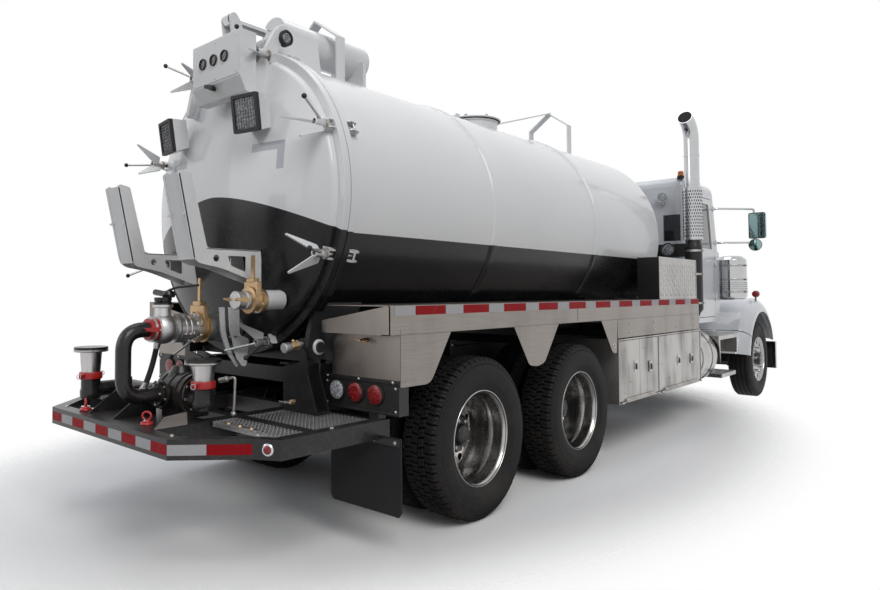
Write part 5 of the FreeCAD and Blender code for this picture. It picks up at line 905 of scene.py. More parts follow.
def makeHooks():
    # a folded sheet blade on an arm of two pierced side plates
    rootZ = 1.58
    side = [(-4.02, rootZ - 0.10), (-4.296, rootZ - 0.01), (-4.48, rootZ + 0.02), (-4.585, 2.08),
            (-4.565, 2.095), (-4.50, 2.083), (-4.395, rootZ + 0.10), (-4.02, rootZ + 0.10)]
    outline = soft(side, [0.0, 0.05, 0.06, 0.012, 0.008, 0.012, 0.02, 0.0], 6)
    eye = circle((-4.335, rootZ + 0.045), 0.020, 20)
    wedge = soft([(-4.26, rootZ + 0.062), (-4.235, rootZ + 0.005), (-4.13, rootZ - 0.03),
                  (-4.13, rootZ + 0.062)], 0.014)
    small = circle((-4.545, 1.86), 0.008, 12)
    hooks = Piece("hoseHooks")
    for low in (-0.424, -0.274):
        hooks.add(plate(outline, 0.008, [eye, wedge, small]), "whiteEnamel", standingAt(low))
    web = plate(soft(sketch(-424, 0, -266, 0, -266, 475, -424, 475), 0.006), 0.008)
    foot, top = Vector((-4.478, 0, rootZ + 0.035)), Vector((-4.577, 0, 2.07))
    rise = (top - foot).normalized()
    hooks.add(web, "whiteEnamel", fromAxes(foot, (0, 1, 0), rise, rise.cross(Vector((0, 1, 0))) * -1))
    hooks.add(corners((-4.40, -0.424, rootZ + 0.092), (-4.03, -0.266, rootZ + 0.10), 0.002), "whiteEnamel")
    hooks.both()
    hooks.rides("rear_door_set", "lift_steel", "door_hooks")


def bolts(count, circleRadius, size, height):
    return ringOf(hexagon(height, size), (0, 0, circleRadius), count, 0.2, "boltSteel")


def camHandle(piece, place, finish):
    # the lever of a hose coupling, folded back along it
    lever = plate(soft(sketch(-12, 10, 12, -6, 85, 4, 88, 18, 10, 24), 0.006), 0.02)
    piece.add(lever, finish, place @ standingAt(-0.01))
    piece.add(pin(0.034, 0.006), "boltSteel", place @ aim((0, -0.017, 0.006), (0, 1, 0)))


def makeValves():
    valves = Piece("doorValves")
    right = aim((-4.0, -0.518, 1.389), (-1, 0, 0))
    valves.lathe("whiteEnamel", right, 48, -50, 0, -50, 57, 112, 57, 112, 0)
    valves.lathe("brass", right, 40, 88, 0, 88, 66, 106, 66, 110, 60, 115, 76, 127, 76, 131, 62, 172, 62,
                 176, 76, 188, 76, 192, 60, 196, 0)
    valves.add(brick(131, -58, 0, 173, 58, 105, 6), "brass", right)
    valves.add(brick(128, -32, 100, 177, 32, 125, 5), "brass", right)
    valves.add(bolts(6, 0.068, 0.009, 0.012), "boltSteel", right @ moved(0.127, 0, 0))
    valves.add(plate(soft(sketch(-14, 0, 14, 0, 12, 235, -12, 235), 0.006), 0.012), "brass",
               facingAt(-4.158, -0.518, 1.41))
    valves.lathe("castAlloy", right, 40, 194, 0, 194, 50, 200, 54, 216, 54, 220, 49, 262, 49, 266, 52,
                 276, 52, 280, 47, 280, 0)
    for side in (-1, 1):
        camHandle(valves, right @ moved(0.222, side * 0.054, -0.006), "brass")
    valves.add(swept(bent(track(-4200, -465, 1430, -4240, -440, 1400, -4270, -470, 1360), 0.02), 0.0025,
                     6), "boltSteel")
    left = aim((-4.0, -0.09, 1.225), (-1, 0, 0))
    valves.lathe("castAlloy", left, 48, -50, 0, -50, 75, 206, 75, 206, 0)
    valves.lathe("brass", left, 48, 196, 0, 196, 93, 209, 93, 213, 80, 243, 80, 247, 93, 258, 93, 258, 0)
    valves.add(brick(208, -75, 0, 248, 75, 130, 6), "brass", left)
    valves.add(brick(204, -40, 125, 252, 40, 155, 6), "brass", left)
    valves.add(bolts(8, 0.084, 0.010, 0.013), "boltSteel", left @ moved(0.258, 0, 0))
    valves.add(plate(soft(sketch(-14, 0, 14, 0, 12, 270, -12, 270), 0.006), 0.012), "brass",
               facingAt(-4.233, -0.09, 1.25))
    valves.rides("rear_door_set", "brass", "door_valves")

    piping = Piece("doorPiping")
    coupling = aim((-4.258, -0.09, 1.225), (-1, 0, 0))
    piping.lathe("machined", coupling, 48, 0, 0, 0, 82, 12, 82, 14, 66, 30, 66, 34, 73, 60, 73, 64, 69,
                 68, 73, 94, 73, 98, 69, 102, 73, 128, 73, 132, 64, 158, 64, 158, 0)
    piping.add(bolts(12, 0.076, 0.006, 0.01), "boltSteel", coupling @ moved(0.012, 0, 0))
    for angle in (0.6, 2.7, 4.2):
        camHandle(piping, coupling @ Matrix.Rotation(angle, 4, "X") @ moved(0.05, 0, 0.072), "machined")
    centre = Vector((-4.481, -0.104, 1.225))
    piping.add(globe(0.088, 32), "castAlloy", moved(*centre))
    piping.lathe("castAlloy", aim(centre + Vector((0.078, 0.010, 0)), (-1, 0, 0)), 40, 0, 0, 0, 86, 14,
                 86, 18, 70, 75, 74, 75, 0)
    piping.lathe("castAlloy", aim(centre + Vector((-0.05, -0.03, 0)), (-1, 0, 0)), 40, 0, 0, 0, 66, 30,
                 63, 34, 72, 46, 72, 46, 0)
    piping.lathe("castAlloy", aim(centre, (0, 0, 1)), 32, 40, 0, 40, 50, 120, 46, 124, 58, 138, 58, 138, 0)
    piping.lathe("pumpBlack", aim(centre, (0, 0, 1)), 32, 138, 0, 138, 56, 150, 56, 154, 46, 166, 50,
                 180, 50, 180, 0)
    piping.lathe("castAlloy", aim(centre, (0, 1, 0)), 32, 50, 0, 50, 50, 140, 44, 144, 54, 158, 54, 164,
                 30, 164, 0)
    for side, rise in ((-1, 0.152), (1, 0.164)):
        piping.add(swept([centre + Vector((0, 0, rise)), centre
                          + Vector((side * 0.05, side * 0.05, rise + 0.012))], 0.007, 8), "pumpBlack")
    for side in (-1, 1):
        camHandle(piping, aim(centre + Vector((-0.075, -0.03, 0)), (-1, 0, 0))
                  @ moved(0.0, side * 0.070, -0.008), "safetyRed")
    route = bent(track(-4530, -134, 1225, -4735, -134, 1225, -4735, -134, 855, -4536, -134, 855),
                 0.115, 10)
    piping.add(swept(route, 0.0425, 28), "pumpBlack")
    red = aim((-4.535, -0.134, 1.225), (-1, 0, 0))
    piping.ring("safetyRed", red, 36, 0, 40, 0, 62, 10, 66, 22, 66, 26, 56, 50, 56, 54, 62, 60, 62, 60, 40)
    piping.ring("pumpBlack", aim((-4.541, -0.134, 0.855), (1, 0, 0)), 36, 0, 38, 0, 66, 18, 66, 18, 38)
    piping.add(bolts(4, 0.054, 0.008, 0.010), "boltSteel", aim((-4.540, -0.134, 0.855), (-1, 0, 0)))
    piping.rides("rear_door_set", "cast_black", "door_piping")


gauges = {"rear": -4.18, "front": -4.061, "out": -0.42, "inn": 0.078, "low": 2.62, "top": 2.985,
          "dials": (-0.043, -0.158, -0.271), "dialZ": 2.853, "dialRadius": 0.035, "latchY": -0.141,
          "latchZ": 2.686}


def makeGaugeBox():
    g = gauges
    box = Piece("gaugeBox")
    side = soft([(g["rear"], g["low"] + 0.09), (g["rear"], g["top"]), (g["front"], g["top"]),
                 (g["front"], g["low"]), (g["rear"] + 0.045, g["low"])], 0.006)
    box.add(plate(side, g["inn"] - g["out"]), "whiteEnamel", standingAt(g["out"]))
    face = plate(soft([(g["out"] + 0.014, g["low"] + 0.10), (g["inn"] - 0.014, g["low"] + 0.10),
                       (g["inn"] - 0.014, g["top"] - 0.014), (g["out"] + 0.014, g["top"] - 0.014)],
                      0.008), 0.003)
    box.add(face, "whiteEnamel", facingAt(g["rear"] - 0.003))
    screw = turned(sketch(0, 0, 0, 6, 3, 4, 3.5, 0), 12)
    for across in (g["out"] + 0.03, (g["out"] + g["inn"]) / 2, g["inn"] - 0.03):
        for up in (g["low"] + 0.115, g["top"] - 0.03):
            box.add(screw, "boltSteel", aim((g["rear"] - 0.003, across, up), (-1, 0, 0)))
    for across in g["dials"]:
        place = aim((g["rear"] - 0.002, across, g["dialZ"]), (-1, 0, 0))
        r = g["dialRadius"]
        box.add(turned([(0, r - 0.004), (0, r), (0.010, r), (0.013, r - 0.003), (0.010, r - 0.006),
                        (0.004, r - 0.006)], 40, True), "moulded", place)
        box.add(turned([(0, 0), (0, r - 0.004), (0.004, r - 0.004), (0.004, 0)], 40), "dialFace", place)
        tick = corners((0.004, -0.0008, r * 0.60), (0.0048, 0.0008, r * 0.78), 0)
        box.add(repeated("round", tick, {"Count": 12, "Start": 0.0}, "whiteTape"), "whiteTape", place)
        box.add(corners((0.0048, -0.0009, -0.004), (0.0056, 0.0009, r * 0.62), 0), "redTape",
                place @ Matrix.Rotation(2.3 + across * 2, 4, "X"))
        box.add(pin(0.007, 0.003, 0.001, 12), "boltSteel", place)
    latch = aim((g["rear"], g["latchY"], g["latchZ"]), (-1, 0, 0))
    box.lathe("moulded", latch, 24, -20, 0, -20, 17, 20, 17, 26, 11, 26, 0)
    box.add(brick(18, -12, -45, 34, 12, 45, 5), "moulded", latch @ Matrix.Rotation(1.3, 4, "X"))
    for across in (g["out"] + 0.05, g["inn"] - 0.13):
        stay = soft([(g["front"] - 0.02, 2.66), (g["front"] - 0.02, 2.83), (-3.90, 2.83), (-3.93, 2.62)],
                    0.01)
        box.add(plate(stay, 0.010), "whiteEnamel", standingAt(across))
    box.rides("rear_door_set", "white_paint", "gauge_box")


def makeWorkLights():
    lights = Piece("workLights")
    tilt = Matrix.Rotation(math.radians(-8), 4, "Y")
    place = moved(-4.150, -0.44, 2.48) @ Matrix.Rotation(math.radians(10), 4, "Z") @ tilt
    back = [Vector((0.012, y, z)) for y, z in ((-0.098, -0.108), (0.098, -0.108), (0.098, 0.108),
                                               (-0.098, 0.108))]
    root = [Vector((0.115, y, z)) for y, z in ((-0.085, -0.085), (0.085, -0.085), (0.085, 0.10),
                                               (-0.085, 0.10))]
    lights.add(stacked([back, root]), "whiteEnamel", place)
    frameOut = soft(sketch(-100, -110, 100, -110, 100, 110, -100, 110), 0.01)
    frameIn = soft(sketch(-80, -90, 80, -90, 80, 90, -80, 90), 0.01)
    lights.add(plate(frameOut, 0.026, [frameIn]), "moulded", place @ facingAt(-0.012))
    lights.add(brick(-2, -82, -92, 10, 82, 92, 1), "lampLens", place)
    for index in range(9):
        lights.add(brick(-6, -80, -1.2, -1, 80, 1.2, 0), "lampLens",
                   place @ moved(0, 0, 0.02 * index - 0.08))
    for index in range(7):
        lights.add(brick(-6, -1.2, -90, -1, 1.2, 90, 0), "lampLens",
                   place @ moved(0, 0.02 * index - 0.06, 0))
    lights.add(swept(bent(track(-4070, -400, 2440, -4030, -400, 2440, -4000, -400, 2460), 0.015), 0.012,
                     10), "whiteEnamel")
    lights.both()
    lights.rides("rear_door_set", "white_paint", "work_lights")


makeTank()
makeRearDoor()
makeHooks()
makeValves()
makeGaugeBox()
makeWorkLights()
print("tank and rear door done")


# wheels

wheel = {"tyre": 0.512, "half": 0.1395, "seat": 0.288, "pitch": 0.343,
         "rearAxles": {"mid": -1.512, "rear": -2.88}, "rearY": 0.921, "frontX": 3.996, "frontY": 1.05,
         "handHoles": 10, "handRadius": 0.025, "handCircle": 0.225, "studs": 10, "studCircle": 0.1675,
         "hub": 0.122}


def tyreBody(groove, ribs):
    half, radius, seat = wheel["half"], wheel["tyre"], wheel["seat"]
    side = [(half - inset, seat + rise) for inset, rise in sketch(
        43.5, 0, 28, 4, 22, 16, 20, 22, 10, 50, 8.5, 56, 4.5, 62, 1, 92, 0, 118, 1.5, 139, 0.5, 142, 3, 147,
        8, 172, 11, 186)] + [(half - 0.015, radius - 0.028)]
    crown = [(half - 0.033, radius - groove - 0.001)]
    for spot in ribs:
        crown += [(spot + shift, radius - groove - fall)
                  for shift, fall in sketch(6, 0, 3.5, 12, -3.5, 12, -6, 0)]
    upper = side + crown
    return turned(upper + [(-along, r) for along, r in reversed(upper)], 96, True)


def lug(centre, along, around, low, high, slant=0.0, lean=0.0):
    # one tread block with drafted sides, standing at the top of the wheel
    points = []
    for level, inset in ((low, -0.002), (high - 0.003, 0.0), (high, 0.0025)):
        for x, y in ((-1, -1), (1, -1), (1, 1), (-1, 1)):
            px, py = x * (along / 2 - inset), y * (around / 2 - inset)
            turnedX = px * math.cos(lean) - py * math.sin(lean)
            turnedY = px * math.sin(lean) + py * math.cos(lean)
            drop = slant if x * centre > 0 and level > low else 0.0
            points.append(Vector((centre + turnedX, turnedY, level - drop)))
    return stacked([points[:4], points[4:8], points[8:]])


def driveTread():
    # staggered rows of cut blocks, deeper at the shoulders
    radius, low = wheel["tyre"], wheel["tyre"] - 0.024
    count = 56
    step = math.tau / count
    shapes = []
    rows = [(0.024, 0.043, 0.046, 0.0, 0.0, 0.22), (0.0745, 0.047, 0.046, 0.5, 0.0015, -0.16)]
    for spot, along, around, stagger, slant, lean in rows:
        for side in (-1, 1):
            start = step * (stagger + (0.35 if side > 0 else 0.0))
            for part in (-1, 1):
                block = lug(side * spot, along, around / 2 - 0.0012, low, radius - 0.0004 - slant, slant,
                            side * lean)
                turn = Matrix.Rotation(part * around / 4 / radius, 4, "X")
                shapes.append(([turn @ point for point in block[0]], block[1], start))
    for side in (-1, 1):
        for part in (-1, 1):
            block = lug(side * 0.1105, 0.020, 0.021, low - 0.03, radius - 0.004, 0.012)
            turn = Matrix.Rotation(part * 0.0235 / 2 / radius, 4, "X")
            shapes.append(([turn @ point for point in block[0]], block[1], step * 0.85))
        foot = lug(side * 0.122, 0.012, 0.030, low - 0.052, radius - 0.020, 0.022)
        shapes.append((foot[0], foot[1], step * 0.85))
    return [repeated("round", (points, faces), {"Count": count, "Start": start}, "tyreRubber")
            for points, faces, start in shapes]


def ribTread():
    radius = wheel["tyre"]
    shapes = []
    for side in (-1, 1):
        notch = lug(side * 0.112, 0.024, 0.019, radius - 0.045, radius - 0.004, 0.011)
        shapes.append(repeated("round", notch, {"Count": 96, "Start": 0.0}, "tyreRubber"))
    return shapes


def sidewallMarks(side):
    low, high = sorted((side * 0.1265, side * 0.1335))
    mark = corners((low, -0.0014, 0.4605), (high, 0.0014, 0.4725), 0.0004)
    return repeated("round", mark, {"Count": 120, "Start": 0.0}, "tyreRubber")


def wheelDisc(radius, bore, thick):
    # a round plate with its bore and its hand holes
    holes = [circle((0, 0), bore, 64)]
    for centre in circle((0, 0), wheel["handCircle"], 2 * wheel["handHoles"])[1::2]:
        holes.append(circle(centre, wheel["handRadius"], 20))
    return plate(circle((0, 0), radius, 80), thick, holes)


def studsAndNuts(along, finish, reach=0.034):
    nut = hexagon(0.020, 0.0165)
    washer = turned(sketch(0, 0, 0, 21, 4, 21, 5, 18, 5, 0), 16)
    stud = turned([(0, 0), (0, 0.0095), (reach - 0.003, 0.0095), (reach, 0.007), (reach, 0)], 12)
    return [ringOf(shape, (along + rise, 0, wheel["studCircle"]), wheel["studs"], 0.16, finish)
            for shape, rise in ((washer, 0.0), (nut, 0.004), (stud, 0.008))]


def handEdges(along, thick, finish):
    # the rolled edges of the hand holes
    w = wheel
    edge = oval(along, w["handRadius"], w["handRadius"], w["handCircle"], 20)
    return ringOf(swept(edge, thick, 6, True), (0, 0, 0), w["handHoles"], math.pi / 10 + math.pi / 2, finish)


def dualRim(piece, place, out):
    w = wheel
    barrel = sketch(
        289.5, 300, 287.5, 302, 281.5, 300, 273.5, 291.7, 267.5, 287.7, 75.5, 287.7, 61.5, 295, 59.5, 292,
        63.5, 282, 86, 274, 60, 272.5, 30, 268, 12, 258, 12, 249, 22, 250, 34, 257, 52, 261.5, 70, 262.5,
        150, 263.5, 172, 266, 190, 274.5, 202, 277.5, 252, 278.5, 267.5, 280, 275.5, 287.5, 281.5, 292.5,
        287.5, 293.5, 289.5, 295.5)
    finish = "polished" if out > 0 else "boxAlloy"
    flip = place if out > 0 else place @ Matrix.Rotation(math.pi, 4, "Z")
    piece.add(turned(barrel, 96, True), finish, flip)
    piece.add(wheelDisc(0.2515, w["hub"] - 0.010, 0.011), finish, flip @ facingAt(0.0125))
    piece.add(handEdges(0.0235, 0.0018, finish), finish, flip)


def rearHub(piece, place):
    piece.lathe("pumpBlack", place, 48, -200, 0, -200, 100, -20, 106, 23.5, 134, 30, 132, 34, 118, 52, 104,
                62, 100, 96, 98, 100, 112, 113, 112, 116, 105, 126, 72, 150, 64, 157, 56, 160, 30, 160, 0)
    rib = brick(36, -7, 85, 98, 7, 122, 3)
    piece.add(repeated("round", rib, {"Count": 10, "Start": 0.0}, "pumpBlack"), "pumpBlack", place)
    piece.add(bolts(8, 0.092, 0.013, 0.016), "boltSteel", place @ moved(0.1125, 0, 0))
    for shape in studsAndNuts(0.0235, "pumpBlack"):
        piece.add(shape, "pumpBlack", place)
    drum = sketch(-85, 100, -80, 190, -90, 196, -285, 196, -290, 190, -290, 180, -100, 178, -98, 100)
    piece.add(turned(drum, 64, True), "frameBlack", place)


def makeRearWheels():
    w = wheel
    tread = driveTread()
    body = tyreBody(0.022, ())
    for spot, axleX in w["rearAxles"].items():
        for side, sign in bothSides:
            place = aim((axleX, sign * w["rearY"], w["tyre"]), (0, sign, 0), 0.21 if spot == "mid" else 0.0)
            tyres = Piece(f"dualTyres.{spot}.{side}")
            for shift in (-1, 1):
                seat = place @ moved(shift * w["pitch"] / 2, 0, 0)
                tyres.add(body, "tyreRubber", seat)
                for shape in tread:
                    tyres.add(shape, "tyreRubber", seat)
                tyres.add(sidewallMarks(shift), "tyreRubber", seat)
            tyres.rides(f"wheels_{spot}_{side}", "tyre_rubber", f"tyres_{spot}_{side}")
            rims = Piece(f"dualRims.{spot}.{side}")
            dualRim(rims, place, 1)
            dualRim(rims, place, -1)
            rearHub(rims, place)
            rims.rides(f"wheels_{spot}_{side}", "polished_alloy", f"rims_{spot}_{side}")


def makeFrontWheels():
    w = wheel
    body = tyreBody(0.0, (0.078, 0.027))
    tread = ribTread()
    for side, sign in bothSides:
        place = aim((w["frontX"], sign * w["frontY"], w["tyre"]), (0, sign, 0))
        tyre = Piece(f"frontTyre.{side}")
        tyre.add(body, "tyreRubber", place)
        for shape in tread:
            tyre.add(shape, "tyreRubber", place)
        for face in (-1, 1):
            tyre.add(sidewallMarks(face), "tyreRubber", place)
        tyre.rides(f"wheel_front_{side}", "tyre_rubber", f"tyre_front_{side}")
        rim = Piece(f"frontRim.{side}")
        barrel = sketch(
            128, 300, 126, 302, 120, 300, 112, 291.7, 100, 287.7, -100, 287.7, -112, 291.7, -120, 300,
            -126, 302, -128, 300, -128, 295, -118, 292, -102, 276.5, -60, 272, 20, 270, 60, 266, 80, 260,
            90, 251.5, 96, 248.5, 101.5, 251.5, 103, 259, 101, 266, 96.5, 272.5, 102, 275.5, 110, 281,
            116, 288, 122, 292.5, 128, 294.5)
        rim.add(turned(barrel, 96, True), "polished", place)
        rim.add(wheelDisc(0.253, 0.088, 0.010), "polished", place @ facingAt(0.0960))
        rim.add(handEdges(0.106, 0.0020, "polished"), "polished", place)
        for shape in studsAndNuts(0.106, "chrome", 0.030):
            rim.add(shape, "chrome", place)
        hub = sketch(-70, 42.3, -70, 76, 84, 94, 108, 100, 113, 98, 118, 88, 140, 82, 151, 74, 158, 52,
                     158, 0)
        rim.add(turned(hub, 48), "pumpBlack", place)
        rim.add(bolts(6, 0.066, 0.009, 0.010), "boltSteel", place @ moved(0.152, 0, 0))
        drum = sketch(-30, 100, -26, 185, -34, 190, -60, 190, -60, 180, -42, 178, -40, 100)
        rim.add(turned(drum, 64, True), "frameBlack", place)
        rim.rides(f"wheel_front_{side}", "polished_alloy", f"rim_front_{side}")


makeRearWheels()
makeFrontWheels()
print("wheels done")


# walkway edges, boxes and guards along both sides

deck = {"out": 1.257, "inn": 0.79, "low": 1.200, "top": 1.361, "rear": -3.815, "front": 1.23, "wall": 0.005,
        "bearers": (-3.42, -2.221, -1.0, 0.11, 1.11), "tapeWide": 0.0508, "tapeTop": 1.357, "red": 0.2794,
        "white": 0.1778, "tapeStart": -3.598}


def sideTape(piece, low, high, y):
    # red and white reflective strips along the deck edge
    d = deck
    x = d["tapeStart"] - d["white"]
    red = False
    while x < d["front"] - 0.01:
        length = d["red"] if red else d["white"]
        start, end = max(x, low), min(x + length, high)
        if end - start > 0.02:
            strip = corners((start + 0.001, y - 0.0006, d["tapeTop"] - d["tapeWide"]),
                            (end - 0.001, y + 0.0006, d["tapeTop"]), 0.0002)
            piece.add(strip, "redTape" if red else "whiteTape")
        x += length
        red = not red


def makeDeck():
    d = deck
    for side, sign in bothSides:
        y = sign * d["out"]
        inner = sign * (d["out"] - d["wall"])
        piece = Piece(f"deckEdge.{side}")
        section = soft([(y, d["low"]), (y, d["top"]), (sign * d["inn"], d["top"]),
                        (sign * d["inn"], d["top"] - d["wall"]), (inner, d["top"] - d["wall"]),
                        (inner, d["low"] + d["wall"]), (sign * 1.197, d["low"] + d["wall"]),
                        (sign * 1.197, d["low"])], [0, 0.006, 0, 0, 0.002, 0, 0, 0])
        piece.add(plate(section, d["front"] - d["rear"]), "stainless", facingAt(d["rear"]))
        end = soft([(y, d["low"]), (y, d["top"]), (sign * 0.73, 1.269), (sign * 0.73, d["low"])], 0.004)
        piece.add(plate(end, d["wall"]), "stainless", facingAt(d["rear"]))
        skirts = [(sketch(-3729.5, 1200, -3268, 1200, -3466, 916, -3729.5, 919), [0, 0, 0.05, 0.01]),
                  (sketch(-2558, 1200, -1936, 1200, -2150, 937, -2251, 916, -2363, 932),
                   [0, 0, 0.03, 0.04, 0.03]),
                  (sketch(-1210, 1200, -893, 1200, -914, 920, -995, 925), [0, 0, 0.012, 0.04])]
        place = standingAt(min(y, inner))
        for outline, rounds in skirts:
            holes = [circle((-0.965, 0.985), 0.019, 24)] if outline[0][0] > -1.3 else []
            piece.add(plate(soft(outline, rounds, 6), d["wall"], holes), "stainless", place)
            if len(outline) == 4:
                (front, frontZ), (rear, rearZ) = outline[2:]
                depth = sorted((sign * (d["out"] - 0.03), inner))
                foot = min(frontZ, rearZ)
                piece.add(corners((rear + 0.03, depth[0], foot), (front - 0.04, depth[1], foot + 0.004),
                                  0.001), "stainless")
        eyelet = aim((-0.965, y, 0.985), (0, sign, 0))
        piece.ring("boltSteel", eyelet, 28, -4, 10, -4, 16.5, 0.6, 24, 3, 22, 3, 12, 1, 10)
        piece.add(plate(soft(sketch(-890, 1040, 1230, 1040, 1230, 1200, -890, 1200), 0.004), d["wall"]),
                  "stainless", place)
        panel = sorted((y, sign * 0.73))
        piece.add(corners((-3.73, panel[0], 0.93), (-3.725, panel[1], 1.23), 0.001), "stainless")
        head = turned(sketch(0, 0, 0, 10, 4, 9, 6, 5, 6, 0), 12)
        for x in (-0.62, -0.05, 0.55, 1.05):
            for z in (1.085, 1.155):
                piece.add(head, "boltSteel", aim((x, y, z), (0, sign, 0)))
        # the beam's folded lower lip, and under it a thin black strip at the joint to the skirts: painted
        # shade of the groove below the lip
        for base, high, proud, finish in ((0.0015, 0.0060, 0.003, "stainless"),
                                          (-0.0005, 0.0015, 0.0006, "moulded")):
            depth = sorted((y - sign * 0.001, y + sign * proud))
            piece.add(corners((d["rear"] + 0.006, depth[0], d["low"] + base),
                              (d["front"], depth[1], d["low"] + high), 0.0004), finish)
        seam = sorted((y - sign * 0.001, y + sign * 0.001))
        piece.add(corners((-1.630, seam[0], d["low"] + 0.008), (-1.6275, seam[1], d["top"] - 0.004), 0),
                  "moulded")
        sideTape(piece, d["rear"] + 0.03, d["front"], y + sign * 0.0006)
        for x in d["bearers"]:
            for reach, foot, top in (((inner, sign * 0.43), 1.06, 1.12), ((inner, sign * 1.197), 1.06, 1.2),
                                     ((sign * 0.49, sign * 0.43), 0.88, 1.12)):
                low, high = sorted(reach)
                piece.add(corners((x, low, foot), (x + 0.05, high, top), 0.004), "frameBlack")
            for z in (0.93, 1.02):
                piece.add(head, "boltSteel", aim((x + 0.025, sign * 0.49, z), (0, sign, 0)))
        if sign < 0:
            valve = aim((-3.735, -1.01, 1.165), (-1, 0, 0))
            piece.add(hexagon(0.03, 0.013), "brass", valve)
            piece.add(pin(0.06, 0.008), "brass", valve)
            piece.add(swept(track(-3775, -1050, 1155, -3775, -970, 1170), 0.006, 10), "brass")
        piece.rides("chassis", "stainless", *(["deck_sides"] if sign < 0 else []))


boxes = {"rear": -0.88, "front": 1.27, "split": 0.05, "low": 0.481, "top": 1.03, "out": 1.257, "wall": 0.012,
         "gap": 0.006, "seams": (-0.41, 0.69), "latches": ((-0.513, 0.779), (-0.161, 0.751),
                                                           (0.586, 0.751), (0.978, 0.743))}


def doorPanel(low, high, sign):
    # a thin sheet door, slightly buckled inside its stiff edge
    b = boxes
    foot, top = b["low"] + b["wall"] + b["gap"], b["top"] - b["wall"] - b["gap"]

    def spot(layer, u, v):
        x, z = low + u * (high - low), foot + v * (top - foot)
        edge = min(x - low, high - x, z - foot, top - z)
        wave = math.sin(9.1 * x + 4.3 * z) * math.sin(5.7 * z - 2.2 * x) + 0.5 * math.sin(23 * x + 11 * z)
        depth = b["wall"] if layer else 0.0055 - 0.0035 * min(1.0, edge / 0.05) * wave
        return x, sign * (b["out"] - depth), z

    return shell(20, max(12, int((high - low) * 24)), spot)


def makeToolDoors():
    b = boxes
    hingeZ = b["low"] + b["wall"] - 0.001
    for side, sign in bothSides:
        piece = Piece(f"lockerDoors.{side}")
        spans = [(b["rear"] + b["wall"] + b["gap"], b["split"] - b["wall"] / 2 - b["gap"]),
                 (b["split"] + b["wall"] / 2 + b["gap"], b["front"] - b["wall"] - b["gap"])]
        for (low, high), seam in zip(spans, b["seams"]):
            for first, last in ((low, seam - 0.0025), (seam + 0.0025, high)):
                piece.add(doorPanel(first, last, sign), "boxAlloy")
            depth = sorted((sign * (b["out"] - b["wall"]), sign * (b["out"] - 0.009)))
            piece.add(corners((seam - 0.02, depth[0], b["low"] + 0.02),
                              (seam + 0.02, depth[1], b["top"] - 0.02), 0.001), "boxAlloy")
            leaf = sorted((sign * (b["out"] - 0.006), sign * (b["out"] + 0.010)))
            piece.add(corners((low + 0.12, leaf[0], hingeZ + 0.004),
                              (high - 0.12, leaf[1], hingeZ + 0.026), 0.002), "boxAlloy")
            piece.add(pipe(high - low - 0.24, 0.0095, 0.0042, 16), "boltSteel",
                      aim((low + 0.12, sign * (b["out"] + 0.010), hingeZ), (1, 0, 0)))
        for x, z in b["latches"]:
            place = aim((x, sign * (b["out"] - 0.004), z), (0, sign, 0))
            back = plate(soft(sketch(-36, -50, 36, -50, 36, 50, -36, 50), 0.010), 0.005)
            piece.add(back, "machined", place @ facingAt(0))
            cup = sketch(4, 0, 4, 30, 8, 32, 9, 29, 6.5, 24, 5.5, 0)
            piece.add(turned(cup, 32), "machined", place)
            piece.add(plate(soft(sketch(-11, -28, 11, -28, 9, 24, -9, 24), 0.006), 0.006),
                      "moulded", place @ facingAt(0.0085))
            piece.lathe("boltSteel", place @ moved(0, 0.0, 0.022), 12, 13, 0, 13, 6, 16, 5, 16, 0)
        if sign < 0:
            for x, z in ((-0.72, 0.93), (-0.72, 0.56), (-0.30, 0.93), (-0.62, 0.65), (0.30, 0.92),
                         (0.34, 0.60), (1.05, 0.92), (0.80, 0.55), (0.13, 0.75)):
                piece.lathe("boltSteel", aim((x, sign * b["out"], z), (0, sign, 0)), 12, -2, 0, -2, 7,
                            1.5, 5, 2, 0)
        piece.rides(f"lockers_{side}", "tread_alloy", f"tool_doors_{side}")


guard = {"rear": 0.25, "front": 1.36, "low": 1.361, "top": 1.78, "out": 1.20, "inn": 0.985, "frame": 0.025}


def treadSheet(length, height):
    # short raised bars, crossed over one another
    bar = lug(0.0, 0.013, 0.044, 0.0, 0.0034)
    pitchX, pitchY = 0.062, 0.0475
    columns, rows = int(length / pitchX), int(height / pitchY)
    return repeated("grid", bar, {"Columns": columns, "Rows": rows, "Pitch X": pitchX, "Pitch Y": pitchY,
                                  "Lean": 0.62}, "treadAlloy")


